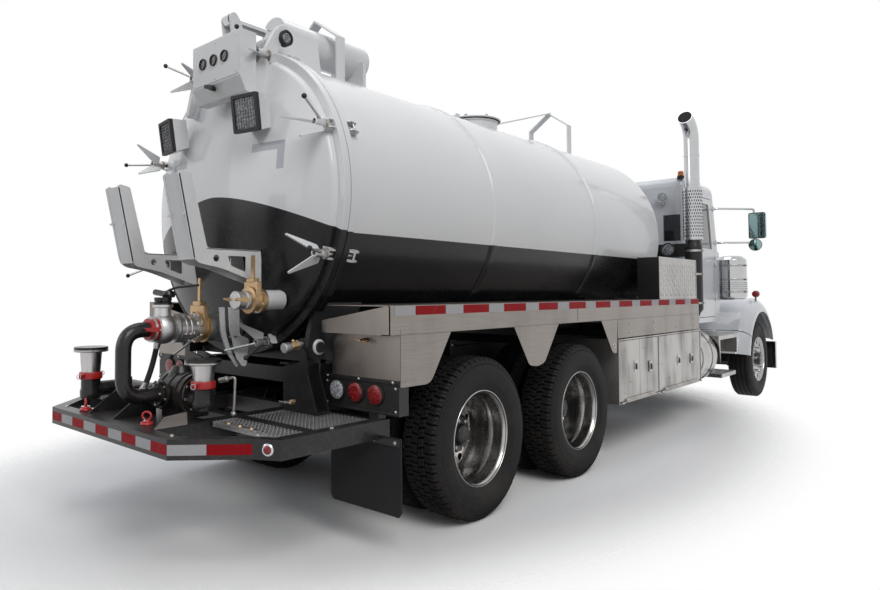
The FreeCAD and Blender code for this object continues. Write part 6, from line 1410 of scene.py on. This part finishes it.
def makeGuards():
    g = guard
    for side, sign in bothSides:
        low, high = sorted((sign * g["out"], sign * g["inn"]))
        piece = Piece(f"guardBox.{side}")
        piece.add(corners((g["rear"] + 0.002, low + 0.002, g["low"]),
                          (g["front"] - 0.002, high - 0.002, g["top"] - 0.002), 0.004), "treadAlloy")
        piece.add(corners((g["rear"], low + 0.004, g["low"]),
                          (g["rear"] + 0.004, high - 0.004, g["top"] - 0.004), 0.001), "frameBlack")
        flank = fromAxes((g["rear"] + 0.06, sign * (g["out"] - 0.002), g["low"] + 0.05), (1, 0, 0),
                         (0, 0, 1), (0, sign, 0))
        piece.add(treadSheet(g["front"] - g["rear"] - 0.07, g["top"] - g["low"] - 0.06), "treadAlloy", flank)
        top = fromAxes((g["rear"] + 0.06, low + 0.05, g["top"] - 0.002), (1, 0, 0), (0, 1, 0), (0, 0, 1))
        piece.add(treadSheet(g["front"] - g["rear"] - 0.07, g["out"] - g["inn"] - 0.04), "treadAlloy", top)
        f = g["frame"]
        sideOut = [(g["rear"], g["low"]), (g["front"], g["low"]), (g["front"], g["top"]),
                   (g["rear"], g["top"])]
        sideIn = [(g["rear"] + f, g["low"] + f), (g["front"] - f, g["low"] + f),
                  (g["front"] - f, g["top"] - f), (g["rear"] + f, g["top"] - f)]
        piece.add(plate(soft(sideOut, 0.006), 0.003, [soft(sideIn, 0.006)]), "treadAlloy",
                  standingAt(sign * g["out"] - (0.003 if sign > 0 else 0.0)))
        piece.rides("chassis", "tread_alloy", *(["guard_boxes"] if sign < 0 else []))


makeDeck()
makeToolDoors()
makeGuards()
print("sides done")


# rear platform, lamps and flaps

rear = {"barX": -4.785, "barHalf": 0.68, "bend": (-4.48, 0.97), "end": (-4.415, 1.09), "low": 0.625,
        "top": 0.725, "tapeLow": 0.648, "tapeHigh": 0.6995, "tapeLong": 0.1524, "lampZ": 0.8655,
        "lamps": (0.78, 0.93, 1.08), "lampX": -3.731}


def tapeRun(piece, start, end, pattern):
    # strips laid one after another on a bar's outer face
    run = Vector(end) - Vector(start)
    along = run.normalized()
    outward = along.cross(Vector((0, 0, 1)))
    if outward.x > 0:
        outward = -outward
    reach = 0.0
    for length, finish in pattern:
        stop = min(reach + length, run.length)
        place = fromAxes(Vector(start) + outward * 0.0001, along, (0, 0, 1), along.cross(Vector((0, 0, 1))))
        strip = plate([(reach + 0.001, 0), (stop - 0.001, 0),
                       (stop - 0.001, rear["tapeHigh"] - rear["tapeLow"]),
                       (reach + 0.001, rear["tapeHigh"] - rear["tapeLow"])],
                      0.0002 if place.col[2].xyz.dot(outward) > 0 else -0.0002)
        piece.add(strip, finish, place)
        reach = stop


def makeLamps():
    r = rear
    piece = Piece("platformTapes")
    z = r["tapeLow"]
    long = r["tapeLong"]
    centre = [(long, "whiteTape" if index % 2 else "redTape") for index in range(9)]
    tapeRun(piece, (r["barX"], -r["barHalf"], z), (r["barX"], r["barHalf"], z), centre)
    for sign in (-1, 1):
        tapeRun(piece, (r["barX"], sign * r["barHalf"], z), (r["bend"][0], sign * r["bend"][1], z),
                [(0.19, "whiteTape"), (0.22, "redTape")])
        low, high = [Vector((r[spot][0], sign * r[spot][1], 0)) for spot in ("bend", "end")]
        outward = (high - low).cross(Vector((0, 0, 1))).normalized()
        outward *= -1 if outward.x > 0 else 1
        spot = (low + high) / 2 + Vector((0, 0, 0.675))
        lamp = aim(spot, outward)
        piece.ring("chrome", lamp, 32, 0, 21, 0, 31, 4, 31, 8, 26, 8, 21)
        piece.lathe("redLens", lamp, 28, 0, 0, 0, 22, 10, 19, 14, 10, 15, 0)
    piece.rides("chassis", "lamp_plastic")

    piece = Piece("tailLamps")
    rubber = turned(sketch(0, 50, 0, 63, 8, 62, 12, 58, 12, 50), 40, True)
    lens = turned(sketch(0, 0, 0, 54.5, 12.5, 53.5, 16.5, 47, 18.5, 30, 19, 0), 40)
    head = turned(sketch(0, 0, 0, 9, 4, 8, 6, 4, 6, 0), 12)
    for index, y in enumerate(r["lamps"]):
        place = aim((r["lampX"], -y, r["lampZ"]), (-1, 0, 0))
        piece.add(rubber, "gasket", place)
        piece.add(lens, "clearLens" if index == 0 else "redLens", place)
    piece.add(brick(-3737, -1252, 931, -3650, -664, 955, 2), "deckBlack")
    piece.add(brick(-3736, -1248, 765, -3730, -667, 775, 2), "deckBlack")
    for y in (-0.70, -0.955, -1.21):
        piece.add(head, "boltSteel", aim((-3.737, y, 0.943), (-1, 0, 0)))
    for y in (-0.69, -1.225):
        for z in (0.785, 0.91):
            piece.add(head, "boltSteel", aim((-3.731, y, z), (-1, 0, 0)))
    piece.both()
    piece.rides("chassis", "lamp_plastic")


def flapSheet(sign):
    # a hanging rubber sheet, gently curled toward its foot, its lower corners cut
    inner, outer, foot, top = 0.72, 1.257, 0.225, 0.645

    def spot(layer, u, v):
        fall = (1 - v) ** 1.5
        x = -3.7285 - 0.0012 * fall * math.sin(5.2 * u + 0.5) + 0.010 * layer + 0.001 * fall
        cut = (0.02 if u == 0 else -0.02 if u == 1 else 0.0) if v == 0 else 0.0
        return x, sign * (inner + u * (outer - inner) + cut), foot + v * (top - foot)

    return shell(16, 14, spot)


def makeFlaps():
    piece = Piece("mudFlaps")
    head = turned(sketch(0, 0, 0, 11, 4, 10, 7, 5, 7, 0), 12)
    for sign in (-1, 1):
        piece.add(flapSheet(sign), "flapRubber")
        low, high = sorted((sign * 0.725, sign * 1.252))
        piece.add(corners((-3.734, low, 0.600), (-3.7285, high, 0.640), 0.002), "deckBlack")
        for y in (0.76, 0.90, 1.07, 1.22):
            piece.add(head, "boltSteel", aim((-3.734, sign * y, 0.62), (-1, 0, 0)))
    piece.rides("chassis", "flap_rubber", "mud_flaps")


def toothedBar():
    low, high, inn, out = 0.693, 0.7245, 0.446, 1.020
    outline = [(-out, low), (-inn, low)]
    count = 19
    step = (out - inn) / count
    for index in range(count):
        y = -inn - index * step
        outline += [(y, high), (y - 0.45 * step, high), (y - 0.55 * step, high - 0.007),
                    (y - 0.95 * step, high - 0.007)]
    outline.append((-out, high - 0.007))
    return plate(outline, 0.005)


def makeGrating():
    piece = Piece("gratingBars")
    bar = toothedBar()
    for index in range(23):
        x = -4.358 + 0.028 * index
        piece.add(bar, "galvanised", facingAt(x))
    for y in (-0.55, -0.733, -0.916):
        piece.add(pin(0.64, 0.005), "galvanised", aim((-4.365, y, 0.702), (1, 0, 0)))
    for y in (-0.448, -1.014):
        piece.add(corners((-4.367, y - 0.004, 0.694), (-3.73, y + 0.004, 0.7245), 0.001), "galvanised")
    piece.both()
    piece.rides("chassis", "stainless", "platform_grating")


def shackle(piece, place, turn):
    # a lifting ring on a round swivel base
    seat = moved(*place) @ Matrix.Rotation(math.radians(turn), 4, "Z")
    piece.lathe("safetyRed", seat @ upright, 28, 0, 0, 0, 34, 6, 36, 14, 33, 18, 22, 24, 19, 24, 0)
    piece.add(swept(oval(0, 0.026, 0.022, 0.046, 24), 0.0065, 10, True), "safetyRed", seat)
    piece.add(pin(0.05, 0.006), "boltSteel", seat @ moved(-0.025, 0, 0.024))


def makePlatformFittings():
    piece = Piece("platformFittings")
    shackle(piece, (-4.665, -0.27, 0.725), 30)
    shackle(piece, (-4.70, 0.40, 0.725), -20)
    head = turned(sketch(0, 0, 0, 12, 5, 11, 8, 6, 8, 0), 12)
    for x, y in ((-4.72, -0.62), (-4.42, -0.92), (-4.42, 0.92), (-4.72, 0.62), (-4.05, -1.06),
                 (-4.05, 1.06)):
        piece.add(head, "boltSteel", moved(x, y, 0.725) @ upright)
    # a drain cock with a cross handle at the platform's inner corner
    cock = aim((-3.93, -0.62, 0.80), (-1, 0, 0.05))
    piece.add(hexagon(0.035, 0.015), "brass", cock)
    piece.add(pin(0.075, 0.009), "boltSteel", cock)
    piece.add(pin(0.10, 0.0065), "boltSteel", aim((-3.998, -0.67, 0.803), (0, 1, 0)))
    piece.rides("chassis", "black_paint")


# stack, cleaners and mirrors

def slotsAround(radius, z, count, start):
    # a row of long slots in the heat shield
    tall, half = 0.026, 0.0095 / 2
    outline = [(-half, -tall / 2 + half), (0, -tall / 2), (half, -tall / 2 + half),
               (half, tall / 2 - half), (0, tall / 2), (-half, tall / 2 - half)]
    slot = stacked([[(z + v, u, radius + rise) for u, v in outline] for rise in (-0.002, 0.0006)])
    return repeated("round", slot, {"Count": count, "Start": start}, "gasket")


def makeStack():
    x, y = 1.475, -1.14
    up = aim((x, y, 0), (0, 0, 1))
    piece = Piece("exhaustStack")
    path = bent([(x, y, 1.985), (x, y, 3.27), (x - 0.20, y, 3.36)], 0.15, 12)
    piece.add(swept(path, 0.078, 40), "chrome")
    tip = (Vector(path[-1]) - Vector(path[-2])).normalized()
    mouth = aim(Vector(path[-1]) - tip * 0.004, tip)
    piece.ring("chrome", mouth, 40, 0, 70, 0, 82, 3, 82, 6, 80, 6, 72)
    piece.lathe("gasket", mouth, 40, 0, 0, 0, 72, 5.2, 72, 5.2, 0)
    muffler = sketch(1170, 0, 1170, 55, 1200, 60, 1235, 86, 1250, 90, 1930, 90, 1945, 87, 1985, 79, 2010,
                     78, 2010, 0)
    piece.add(turned(muffler, 48), "frameBlack", up)
    for z in (1.30, 1.62, 1.88):
        piece.add(hoop(z, 0.022, 0.088, 0.0935), "boltSteel", up)
        piece.add(hexagon(0.05, 0.009), "boltSteel", aim((x - 0.025, y - 0.098, z + 0.011), (1, 0, 0)))
    shield = sketch(2014, 94, 2014, 97.5, 2020, 99, 2590, 99, 2598, 97.5, 2600, 92, 2594, 92, 2588, 94)
    piece.add(turned(shield, 64, True), "chrome", up)
    for row in range(15):
        piece.add(slotsAround(0.099, 2.055 + 0.0355 * row, 26, 0.12 * (row % 2)), "gasket", up)
    for z in (2.016, 2.590):
        piece.add(hoop(z, 0.009, 0.0975, 0.1015, 64), "chrome", up)
    for z in (2.63, 2.95):
        piece.add(hoop(z, 0.018, 0.077, 0.0815), "chrome", up)
    piece.add(brick(1415, -1140, 1830, 1555, -420, 1842, 2), "frameBlack")
    piece.add(brick(1415, -1135, 1842, 1427, -420, 1975, 2), "frameBlack")
    piece.add(brick(1543, -1135, 1842, 1555, -420, 1975, 2), "frameBlack")
    piece.add(brick(1435, -500, 1000, 1515, -420, 1980, 5), "frameBlack")
    lamp = aim((1.415, -0.90, 1.91), (-1, 0, 0))
    piece.lathe("moulded", lamp, 40, 0, 0, 0, 60, 20, 76, 46, 78, 50, 74, 46, 70, 44, 0)
    piece.lathe("lampLens", lamp, 40, 40, 0, 40, 68, 47.5, 60, 50.5, 30, 51, 0)
    elbow = bent([(x, y, 1.20), (x, y, 1.10), (x + 0.10, y + 0.12, 1.08)], 0.06, 8)
    piece.add(swept(elbow, 0.052, 28), "boltSteel")
    piece.rides("chassis", "chrome", "exhaust_stack")


def makeCleaners():
    piece = Piece("airCleaners")
    up = aim((3.165, -1.075, 0), (0, 0, 1))
    canister = sketch(1330, 0, 1330, 132, 1338, 140, 1362, 172, 1374, 179.5, 1842, 179.5, 1852, 176,
                      1884, 141, 1894, 128, 1902, 80, 1905, 0)
    piece.add(turned(canister, 64), "chrome", up)
    for z in (1.42, 1.58, 1.76):
        band = [(z, 0.1785), (z, 0.1825), (z + 0.003, 0.184), (z + 0.023, 0.184), (z + 0.026, 0.1825),
                (z + 0.026, 0.1785)]
        piece.add(turned(band, 64, True), "polished", up)
        piece.add(corners((3.10, -1.266, z + 0.002), (3.145, -1.250, z + 0.024), 0.003), "boltSteel")
        piece.add(hexagon(0.07, 0.006), "boltSteel", aim((3.085, -1.260, z + 0.013), (1, 0, 0)))
    for z in (1.345, 1.36):
        piece.add(hoop(z, 0.004, 0.142, 0.156), "gasket", up)
    screen = lug(0.0, 0.010, 0.006, 0.1785, 0.1825)
    for row in range(5):
        piece.add(ringOf(screen, (1.455 + 0.024 * row, 0, 0), 54, 0.058 * (row % 2), "gasket"), "gasket", up)
    piece.add(brick(2980, -965, 1510, 3165, -865, 1710, 8), "cabPaint")
    piece.both()
    piece.rides("chassis", "chrome", "air_cleaners")


def makeMirrors():
    piece = Piece("mirrors")
    piece.add(swept(bent(track(2760, -985, 2490, 2760, -1025, 2490, 3140, -1360, 2490, 3140, -1360,
                               2380), 0.03, 8), 0.0135, 16), "chrome")
    piece.add(swept(bent(track(2850, -985, 2060, 2850, -1055, 2060, 3140, -1360, 2060, 3140, -1360,
                               2180), 0.03, 8), 0.0135, 16), "chrome")
    for x, z in ((2.76, 2.49), (2.85, 2.06)):
        piece.lathe("chrome", aim((x, -0.985, z), (0, -1, 0)), 24, 0, 0, 0, 34, 8, 34, 12, 24, 20, 18, 20, 0)
    shell = soft(sketch(-1495, 2110, -1305, 2110, -1305, 2440, -1495, 2440), 0.028, 8)
    face = soft(sketch(-1487, 2118, -1313, 2118, -1313, 2432, -1487, 2432), 0.022, 8)
    piece.add(plate(shell, 0.050), "chrome", facingAt(3.100))
    inner = soft(sketch(-1480, 2125, -1320, 2125, -1320, 2425, -1480, 2425), 0.03, 8)
    piece.add(plate(inner, 0.015), "chrome", facingAt(3.150))
    piece.add(plate(shell, 0.006, [face]), "moulded", facingAt(3.095))
    piece.add(plate(face, 0.003), "mirrorGlass", facingAt(3.0975))
    bowl = aim((3.15, -1.38, 2.03), (-1, 0, 0))
    piece.lathe("chrome", bowl, 40, 0, 0, 0, 30, 10, 55, 35, 74, 62, 78, 70, 77, 70, 71, 66, 70, 66, 0)
    piece.lathe("mirrorGlass", bowl, 40, 60, 0, 62, 70.5, 67, 70.5, 73.5, 40, 75.5, 0)
    piece.both()
    piece.rides("chassis", "chrome", "mirrors")


makeLamps()
makeFlaps()
makeGrating()
makePlatformFittings()
makeStack()
makeCleaners()
makeMirrors()
print("rear and cab fittings done")


# plain parts keep their shape and take their finish

looks = {
    "frameBlack": ("frame_rails", "front_suspension", "rear_bogie", "tank_subframe", "hoist_barrel",
                   "knuckle_left", "knuckle_right"),
    "deckBlack": ("rear_platform", "tail_lights"),
    "pumpBlack": ("pump_set",),
    "cabPaint": ("cab_shell", "cab_door_left", "cab_door_right", "hood_shell", "fender_tails"),
    "cabGlass": ("cab_glass", "door_glass_left", "door_glass_right"),
    "moulded": ("cab_interior",),
    "gunGrey": ("engine_radiator",),
    "whiteEnamel": ("tank_top_gear", "lift_barrel"),
    "chrome": ("lift_rod", "hoist_rod", "front_bumper", "hood_trim"),
    "boxAlloy": ("tool_boxes",),
    "treadAlloy": ("cab_steps",),
    "polished": ("fuel_tanks",),
}
for finish, nodes in looks.items():
    for node in nodes:
        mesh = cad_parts[node].data
        mesh.materials.clear()
        mesh.materials.append(finishes[finish])
print("plain parts done")


# pump, door blades and small fittings

def makePumpFittings():
    piece = Piece("pumpFittings")
    ports = ((-4.40, -0.40, 1.05), (-4.635, 0.48, 1.085))
    for x, y, top in ports:
        up = aim((x, y, 0), (0, 0, 1))
        body = sketch(786, 0, 786, 56.5, 800, 62, 830, 62.5, 846, 57.2, 895, 57.2, 900, 61, 915, 61, 920, 0)
        piece.add(turned(body, 40), "pumpBlack", up)
        piece.ring("safetyRed", up, 36, 905, 56.5, 905, 67, 912, 69, 938, 69, 945, 66, 945, 56.5)
        piece.add(turned([(0.940, 0.050), (0.940, 0.0555), (top - 0.020, 0.0640), (top - 0.014, 0.0640),
                          (top - 0.014, 0.050)], 44, True), "machined", up)
        piece.add(turned([(top - 0.015, 0), (top - 0.015, 0.098), (top - 0.011, 0.1015),
                          (top - 0.003, 0.1015), (top + 0.0005, 0.098), (top + 0.0005, 0.030),
                          (top + 0.004, 0.026), (top + 0.004, 0)], 56), "polished", up)
        for turn in (0.5, 0.5 + math.pi):
            ear = Matrix.Translation((x, y, 0.925)) @ Matrix.Rotation(turn, 4, "Z")
            piece.add(brick(60, -10, -12, 102, 10, 12, 4), "safetyRed", ear)
            piece.add(pin(0.030, 0.0055), "boltSteel", ear @ moved(0.090, 0, -0.015) @ upright)
            piece.add(swept(oval(0.112, 0.014, 0.014, 0, 16), 0.0022, 8, True), "boltSteel", ear)
        base = moved(x, y, 0.788) @ upright
        piece.add(bolts(6, 0.050, 0.007, 0.010), "boltSteel", base @ moved(0.042, 0, 0))
    case = aim((-4.365, -0.292, 0.855), (0, -1, 0))
    piece.lathe("pumpBlack", case, 40, 0, 0, 0, 104, 10, 100, 12, 60, 30, 48, 34, 30, 34, 0)
    piece.add(bolts(8, 0.090, 0.009, 0.010), "boltSteel", case @ moved(0.009, 0, 0))
    for y in (-0.245, -0.160, -0.070):
        ring = turned(sketch(0, 117, 0, 124, 10, 124, 10, 117), 56, True)
        piece.add(ring, "pumpBlack", aim((-4.365, y, 0.855), (0, 1, 0)))
    inlet = aim((-4.519, -0.134, 0.855), (-1, 0, 0))
    piece.ring("pumpBlack", inlet, 40, -20, 57, -20, 78, -6, 78, -6, 57)
    piece.add(bolts(6, 0.068, 0.007, 0.008), "boltSteel", inlet @ moved(-0.006, 0, 0))
    # the control rod and its joint beside the pump
    piece.add(swept(bent(track(-4240, -360, 930, -4200, -420, 950, -4210, -425, 800, -4215, -425, 735),
                         0.02, 6), 0.0085, 12), "boltSteel")
    piece.add(globe(0.018, 18), "boltSteel", moved(-4.215, -0.425, 0.742))
    piece.add(pin(0.06, 0.016), "castAlloy", aim((-4.245, -0.33, 0.925), (0.3, -0.8, 0.2)))
    wedge = soft(sketch(-4715, 727, -4655, 785, -4525, 796, -4520, 727), 0.006)
    piece.add(plate(wedge, 0.006), "stainless", standingAt(-0.437))
    for x, y in ((-4.33, -0.60), (-4.33, -0.70), (-4.33, -0.80)):
        piece.add(globe(0.012, 12), "brass", moved(x - 0.04, y, 0.729))
    piece.add(brick(-4385, -860, 725.5, -4355, -540, 731.5, 2), "boltSteel")
    piece.rides("chassis", "cast_black")


def makeBlades():
    # curved steel blades under the door's large valve
    piece = Piece("doorBlades")
    wide = soft(sketch(-4135, 1345, -4060, 1345, -4055, 1175, -4000, 1155, -3985, 1140, -4005, 985,
                       -4035, 985, -4080, 1040, -4105, 1150, -4125, 1200),
                [0, 0, 0.02, 0.02, 0.01, 0.012, 0.012, 0.03, 0.05, 0.03], 5)
    thin = soft(sketch(-4175, 1345, -4140, 1345, -4132, 1200, -4095, 1080, -4035, 990, -4050, 978, -4120,
                       1070, -4165, 1190), [0, 0, 0.02, 0.04, 0.006, 0.006, 0.05, 0.03], 5)
    piece.add(plate(wide, 0.010), "whiteEnamel", standingAt(-0.262))
    piece.add(plate(thin, 0.010), "whiteEnamel", standingAt(-0.225))
    piece.add(brick(-4100, -262, 1160, -4070, -215, 1172, 2), "whiteEnamel")
    # the vent cock on top of the elbow
    top = moved(-4.445, -0.104, 1.404)
    piece.lathe("pumpBlack", top @ upright, 28, 0, 0, 0, 34, 18, 40, 34, 34, 40, 20, 46, 0)
    piece.add(pin(0.10, 0.018), "pumpBlack", aim((-4.445, -0.05, 1.425), (0, 1, 0.1)))
    piece.add(swept(bent(track(-4445, -104, 1445, -4430, -160, 1462, -4370, -300, 1475), 0.02, 5), 0.007,
                    12), "moulded")
    piece.rides("rear_door_set", "white_paint")


def makeHose():
    # a short bypass hose from the elbow's underside down to the suction pipe
    corner = [Vector(point) for point in ((-4.500, -0.078, 1.142), (-4.512, -0.045, 0.985),
                                          (-4.600, -0.112, 0.896))]
    route = bent(corner, 0.15, 16)
    hose = Piece("bypassHose")
    hose.add(swept(route, 0.016, 20), "hoseRubber")
    made = hose.rides("rear_door_set", "tyre_rubber")
    length = sum((second - first).length for first, second in zip(route, route[1:]))
    print("bypass hose", round(length, 3), "m long", flush=True)
    ends = Piece("hoseEnds")
    for mouth, inward in ((corner[0], corner[0] - corner[1]), (corner[2], corner[2] - corner[1])):
        ends.lathe("boltSteel", aim(mouth, inward), 28, -30, 0, -30, 17.5, -4, 20.5, 4, 22.5, 22, 22.5,
                   22, 0)
    ends.rides("rear_door_set", "cast_black")


def makeDrain():
    piece = Piece("tankDrain")
    lugFace = aim((-3.90, -0.635, 1.128), (-1, 0, -0.12))
    piece.lathe("boltSteel", lugFace, 24, -100, 0, -100, 24, 0, 24, 2, 30, 20, 30, 22, 24, 22, 0)
    piece.add(hexagon(0.05, 0.027), "brass", lugFace @ moved(0.022, 0, 0))
    piece.lathe("castAlloy", lugFace, 24, 72, 0, 72, 27, 95, 30, 120, 30, 124, 26, 124, 0)
    piece.add(globe(0.011, 12), "brass", lugFace @ moved(0.047, 0, 0.030))
    piece.add(brick(43, -6, 30, 51, 6, 36, 1), "boltSteel", lugFace)
    boss = aim((-3.81, -0.70, 1.112), (0, -1, 0))
    piece.lathe("whiteEnamel", boss, 32, -2, 0, -2, 46, 6, 46, 10, 42, 10, 20, 14, 17, 14, 0)
    eye = aim((-3.80, -0.386, 3.035), (0, -1, 0))
    piece.lathe("moulded", eye, 36, -30, 0, -30, 50, 10, 50, 13, 47, 13, 38, 6, 36, 6, 0)
    piece.lathe("lampLens", eye, 32, 4, 0, 4, 36, 10, 30, 12, 16, 12.5, 0)
    piece.rides("tank", "brass")


# fittings and seats of the cab

def makeCabFittings():
    piece = Piece("cabFittings")
    lamp = aim((1.718, -0.753, 2.545), (-1, 0, 0))
    piece.lathe("chrome", lamp, 36, 0, 0, 0, 20, 20, 20, 24, 34, 45, 52, 75, 57, 82, 55, 80, 50, 78, 0)
    piece.lathe("clearLens", lamp, 36, 74, 0, 74, 50, 81, 44, 84, 24, 85, 0)
    piece.add(brick(1660, -765, 2455, 1718, -741, 2495, 4), "chrome")
    beacon = aim((1.76, -0.93, 2.785), (0, 0, 1))
    piece.lathe("moulded", beacon, 32, -20, 0, -20, 40, 8, 40, 12, 34, 12, 0)
    piece.lathe("amberLens", beacon, 32, 10, 0, 10, 34, 55, 31, 66, 24, 70, 0)
    railX, railLow, railHigh = 1.90, 1.45, 2.30
    for side in (-1, 1):
        wall, out = side * 0.985, side * 1.045
        rail = bent([(railX, wall, railLow), (railX, out, railLow), (railX, out, railHigh),
                     (railX, wall, railHigh)], 0.025, 6)
        piece.add(swept(rail, 0.012, 14), "chrome")
        for z in (railLow, railHigh):
            piece.lathe("chrome", aim((railX, wall, z), (0, side, 0)), 24, 0, 0, 0, 26, 5, 26, 7, 20, 7, 0)
    marker = turned(sketch(-12, 0, -12, 30, 4, 30, 16, 26, 24, 14, 26, 0), 24)
    for y in (-0.62, -0.31, 0.0, 0.31, 0.62):
        piece.add(marker, "amberLens", aim((2.72, y, 2.79), (0, 0, 1)))
        piece.ring("chrome", aim((2.72, y, 2.79), (0, 0, 1)), 24, -12, 28, -12, 36, 6, 34, 6, 28)
    bottle = aim((1.16, -0.93, 0), (0, 0, 1))
    piece.lathe("moulded", bottle, 36, 1365, 0, 1365, 60, 1375, 64, 1620, 64, 1645, 58, 1660, 40, 1660, 0)
    piece.lathe("chrome", bottle, 32, 1660, 0, 1660, 34, 1675, 40, 1700, 40, 1710, 32, 1712, 0)
    for x, y in ((0.30, -0.975), (0.62, -0.975)):
        piece.add(corners((x, y - 0.02, 1.361), (x + 0.04, y, 1.74), 0.004), "frameBlack")
    piece.add(plate(soft(sketch(340, 1400, 380, 1400, 660, 1700, 620, 1700), 0.003), 0.02), "frameBlack",
              standingAt(-0.975))
    piece.rides("chassis", "chrome")

    piece = Piece("hoodLamps")
    for side in (-1, 1):
        low, high = sorted((side * 0.575, side * 0.825))
        outline = soft([(low, 1.125), (high, 1.125), (high, 1.245), (low, 1.245)], 0.018, 6)
        piece.add(plate(outline, 0.005), "clearLens", facingAt(4.4985))
        low, high = sorted((side * 0.835, side * 0.90))
        piece.add(plate(soft([(low, 1.13), (high, 1.13), (high, 1.24), (low, 1.24)], 0.012, 6), 0.006),
                  "amberLens", facingAt(4.470))
        signal = aim((3.86, side * 1.19, 1.405), (-1, 0, 0))
        piece.lathe("redLens", signal, 28, 0, 0, 0, 46, 8, 44, 16, 34, 20, 0)
        piece.lathe("chrome", signal, 28, 0, 0, 0, 46, -30, 48, -40, 36, -44, 0)
        piece.add(corners((3.855, side * 1.19 - 0.012, 1.30), (3.885, side * 1.19 + 0.012, 1.37), 0.004),
                  "chrome")
    piece.rides("hood", "lamp_plastic")


seat = {"x": 2.18, "y": 0.48, "top": 1.53}


def cushion(low, high, crown):
    # a crowned pad whose sides pull in between its corners
    middle = [(a + b) / 2 for a, b in zip(low, high)]
    half = [(b - a) / 2 for a, b in zip(low, high)]

    def spot(layer, across, along):
        u, v = 2 * across - 1, 2 * along - 1
        pull = 1 - 0.04 * (1 - abs(u * v))
        rise = ((1 - u ** 6) * (1 - v ** 6)) ** 0.35
        if layer:
            channel = 0.10 * math.exp(-((abs(u) - 0.45) / 0.05) ** 2)
            rise *= 1 + crown * (1 - u * u) * (1 - v * v) - channel
        return (middle[0] + v * half[0] * pull, middle[1] + u * half[1] * pull,
                middle[2] + (2 * layer - 1) * half[2] * rise / (1 + crown))

    return shell(14, 14, spot)


def makeCushions():
    for name, sign in bothSides:
        pad = Piece(f"seatPad.{name}")
        pad.add(cushion((seat["x"] - 0.11, sign * seat["y"] - 0.235, seat["top"] - 0.012),
                        (seat["x"] + 0.385, sign * seat["y"] + 0.235, seat["top"] + 0.055), 0.35),
                "seatCloth")
        made = pad.rides("chassis", "cab_trim")


makePumpFittings()
makeBlades()
makeHose()
makeDrain()
makeCabFittings()
makeCushions()
print("small fittings done")


# camera, floor and light

view = {"place": (-6.4772, -3.5828, 1.4286), "yaw": 43.82, "pitch": 2.168, "roll": -0.101, "lens": 27.25,
        "sensor": 36.0, "shiftX": 0.0928, "shiftY": -0.0310}


def placeCamera():
    data = bpy.data.cameras.new("view")
    data.lens = view["lens"]
    data.sensor_width = view["sensor"]
    data.shift_x = view["shiftX"]
    data.shift_y = view["shiftY"]
    data.clip_end = 300
    camera = bpy.data.objects.new("view", data)
    turn = (Matrix.Rotation(math.radians(view["yaw"] - 90), 4, "Z")
            @ Matrix.Rotation(math.radians(90 + view["pitch"]), 4, "X")
            @ Matrix.Rotation(math.radians(view["roll"]), 4, "Z"))
    camera.matrix_world = Matrix.Translation(view["place"]) @ turn
    bpy.context.scene.collection.objects.link(camera)
    bpy.context.scene.camera = camera


def makeFloor():
    material, graph = freshMaterial("floor")
    where = graph.where()
    x, y = graph.along(where)[:2]
    far = (((x + 0.8) / 5.6) ** 2.0 + ((y - 0.6) / 3.2) ** 2.0) ** 0.5
    edge = graph.rise(far, 0.60, 1.02, 0.0, 1.0)
    mottle = graph.noise(where, 0.8, 4)
    path = graph.node("ShaderNodeLightPath").socket.node
    base = graph.blend(Wire(graph, path.outputs["Is Camera Ray"]), (0.45, 0.45, 0.45), (1.0, 1.0, 1.0))
    base = graph.blend(mottle * 0.08, base, (0.60, 0.60, 0.60))
    ground = graph.node("ShaderNodeBsdfPrincipled", {},
                        {"Base Color": base, "Roughness": 0.9 + 0.05 * mottle})
    clear = graph.node("ShaderNodeBsdfTransparent")
    mix = graph.node("ShaderNodeMixShader", {}, {0: edge, 1: ground, 2: clear})
    graph.node("ShaderNodeOutputMaterial", {}, {"Surface": mix})
    finishes["floor"] = material
    floor = Piece("floor")
    floor.add(plate(circle((0, 0), 45, 96), 0.02), "floor", lyingAt(-0.0201))
    made = floor.built()


def areaLight(name, place, target, size, power, colour=(1, 1, 1)):
    data = bpy.data.lights.new(name, "AREA")
    data.shape = "RECTANGLE"
    data.size, data.size_y = size
    data.energy = power
    data.color = colour
    lamp = bpy.data.objects.new(name, data)
    turn = (Vector(target) - Vector(place)).to_track_quat("-Z", "Y").to_matrix().to_4x4()
    lamp.matrix_world = Matrix.Translation(place) @ turn
    bpy.context.scene.collection.objects.link(lamp)


def makeWorld():
    world = bpy.data.worlds.new("sky")
    world.use_nodes = True
    world.node_tree.nodes.clear()
    graph = Graph(world.node_tree)
    height = graph.along(graph.node("ShaderNodeTexCoord", out="Generated"))[2]
    tone = graph.rise(height, -0.25, 0.6)
    sky = graph.blend(tone, (0.46, 0.45, 0.44), (0.80, 0.85, 0.93))
    path = graph.node("ShaderNodeLightPath").socket.node
    seen = 0.0
    for kind in ("Is Camera Ray", "Is Glossy Ray", "Is Transmission Ray"):
        seen = seen + Wire(graph, path.outputs[kind])
    seen = seen.maths("MINIMUM", seen, 1.0)
    white = graph.blend(seen, sky, (1, 1, 1))
    shade = graph.node("ShaderNodeBackground", {}, {"Color": white, "Strength": 0.42 + 0.58 * seen})
    graph.node("ShaderNodeOutputWorld", {}, {"Surface": shade})
    bpy.context.scene.world = world


placeCamera()
makeFloor()
makeWorld()
areaLight("key", (-9, -12, 13), (-0.5, 0, 1.2), (9, 9), 1500, (1.0, 0.98, 0.95))
areaLight("fill", (-13, 5, 6), (-2, 0, 1.6), (7, 7), 220)
areaLight("top", (0, 2, 14), (0, 0, 1), (12, 6), 350)
bpy.context.scene.view_settings.view_transform = "Standard"
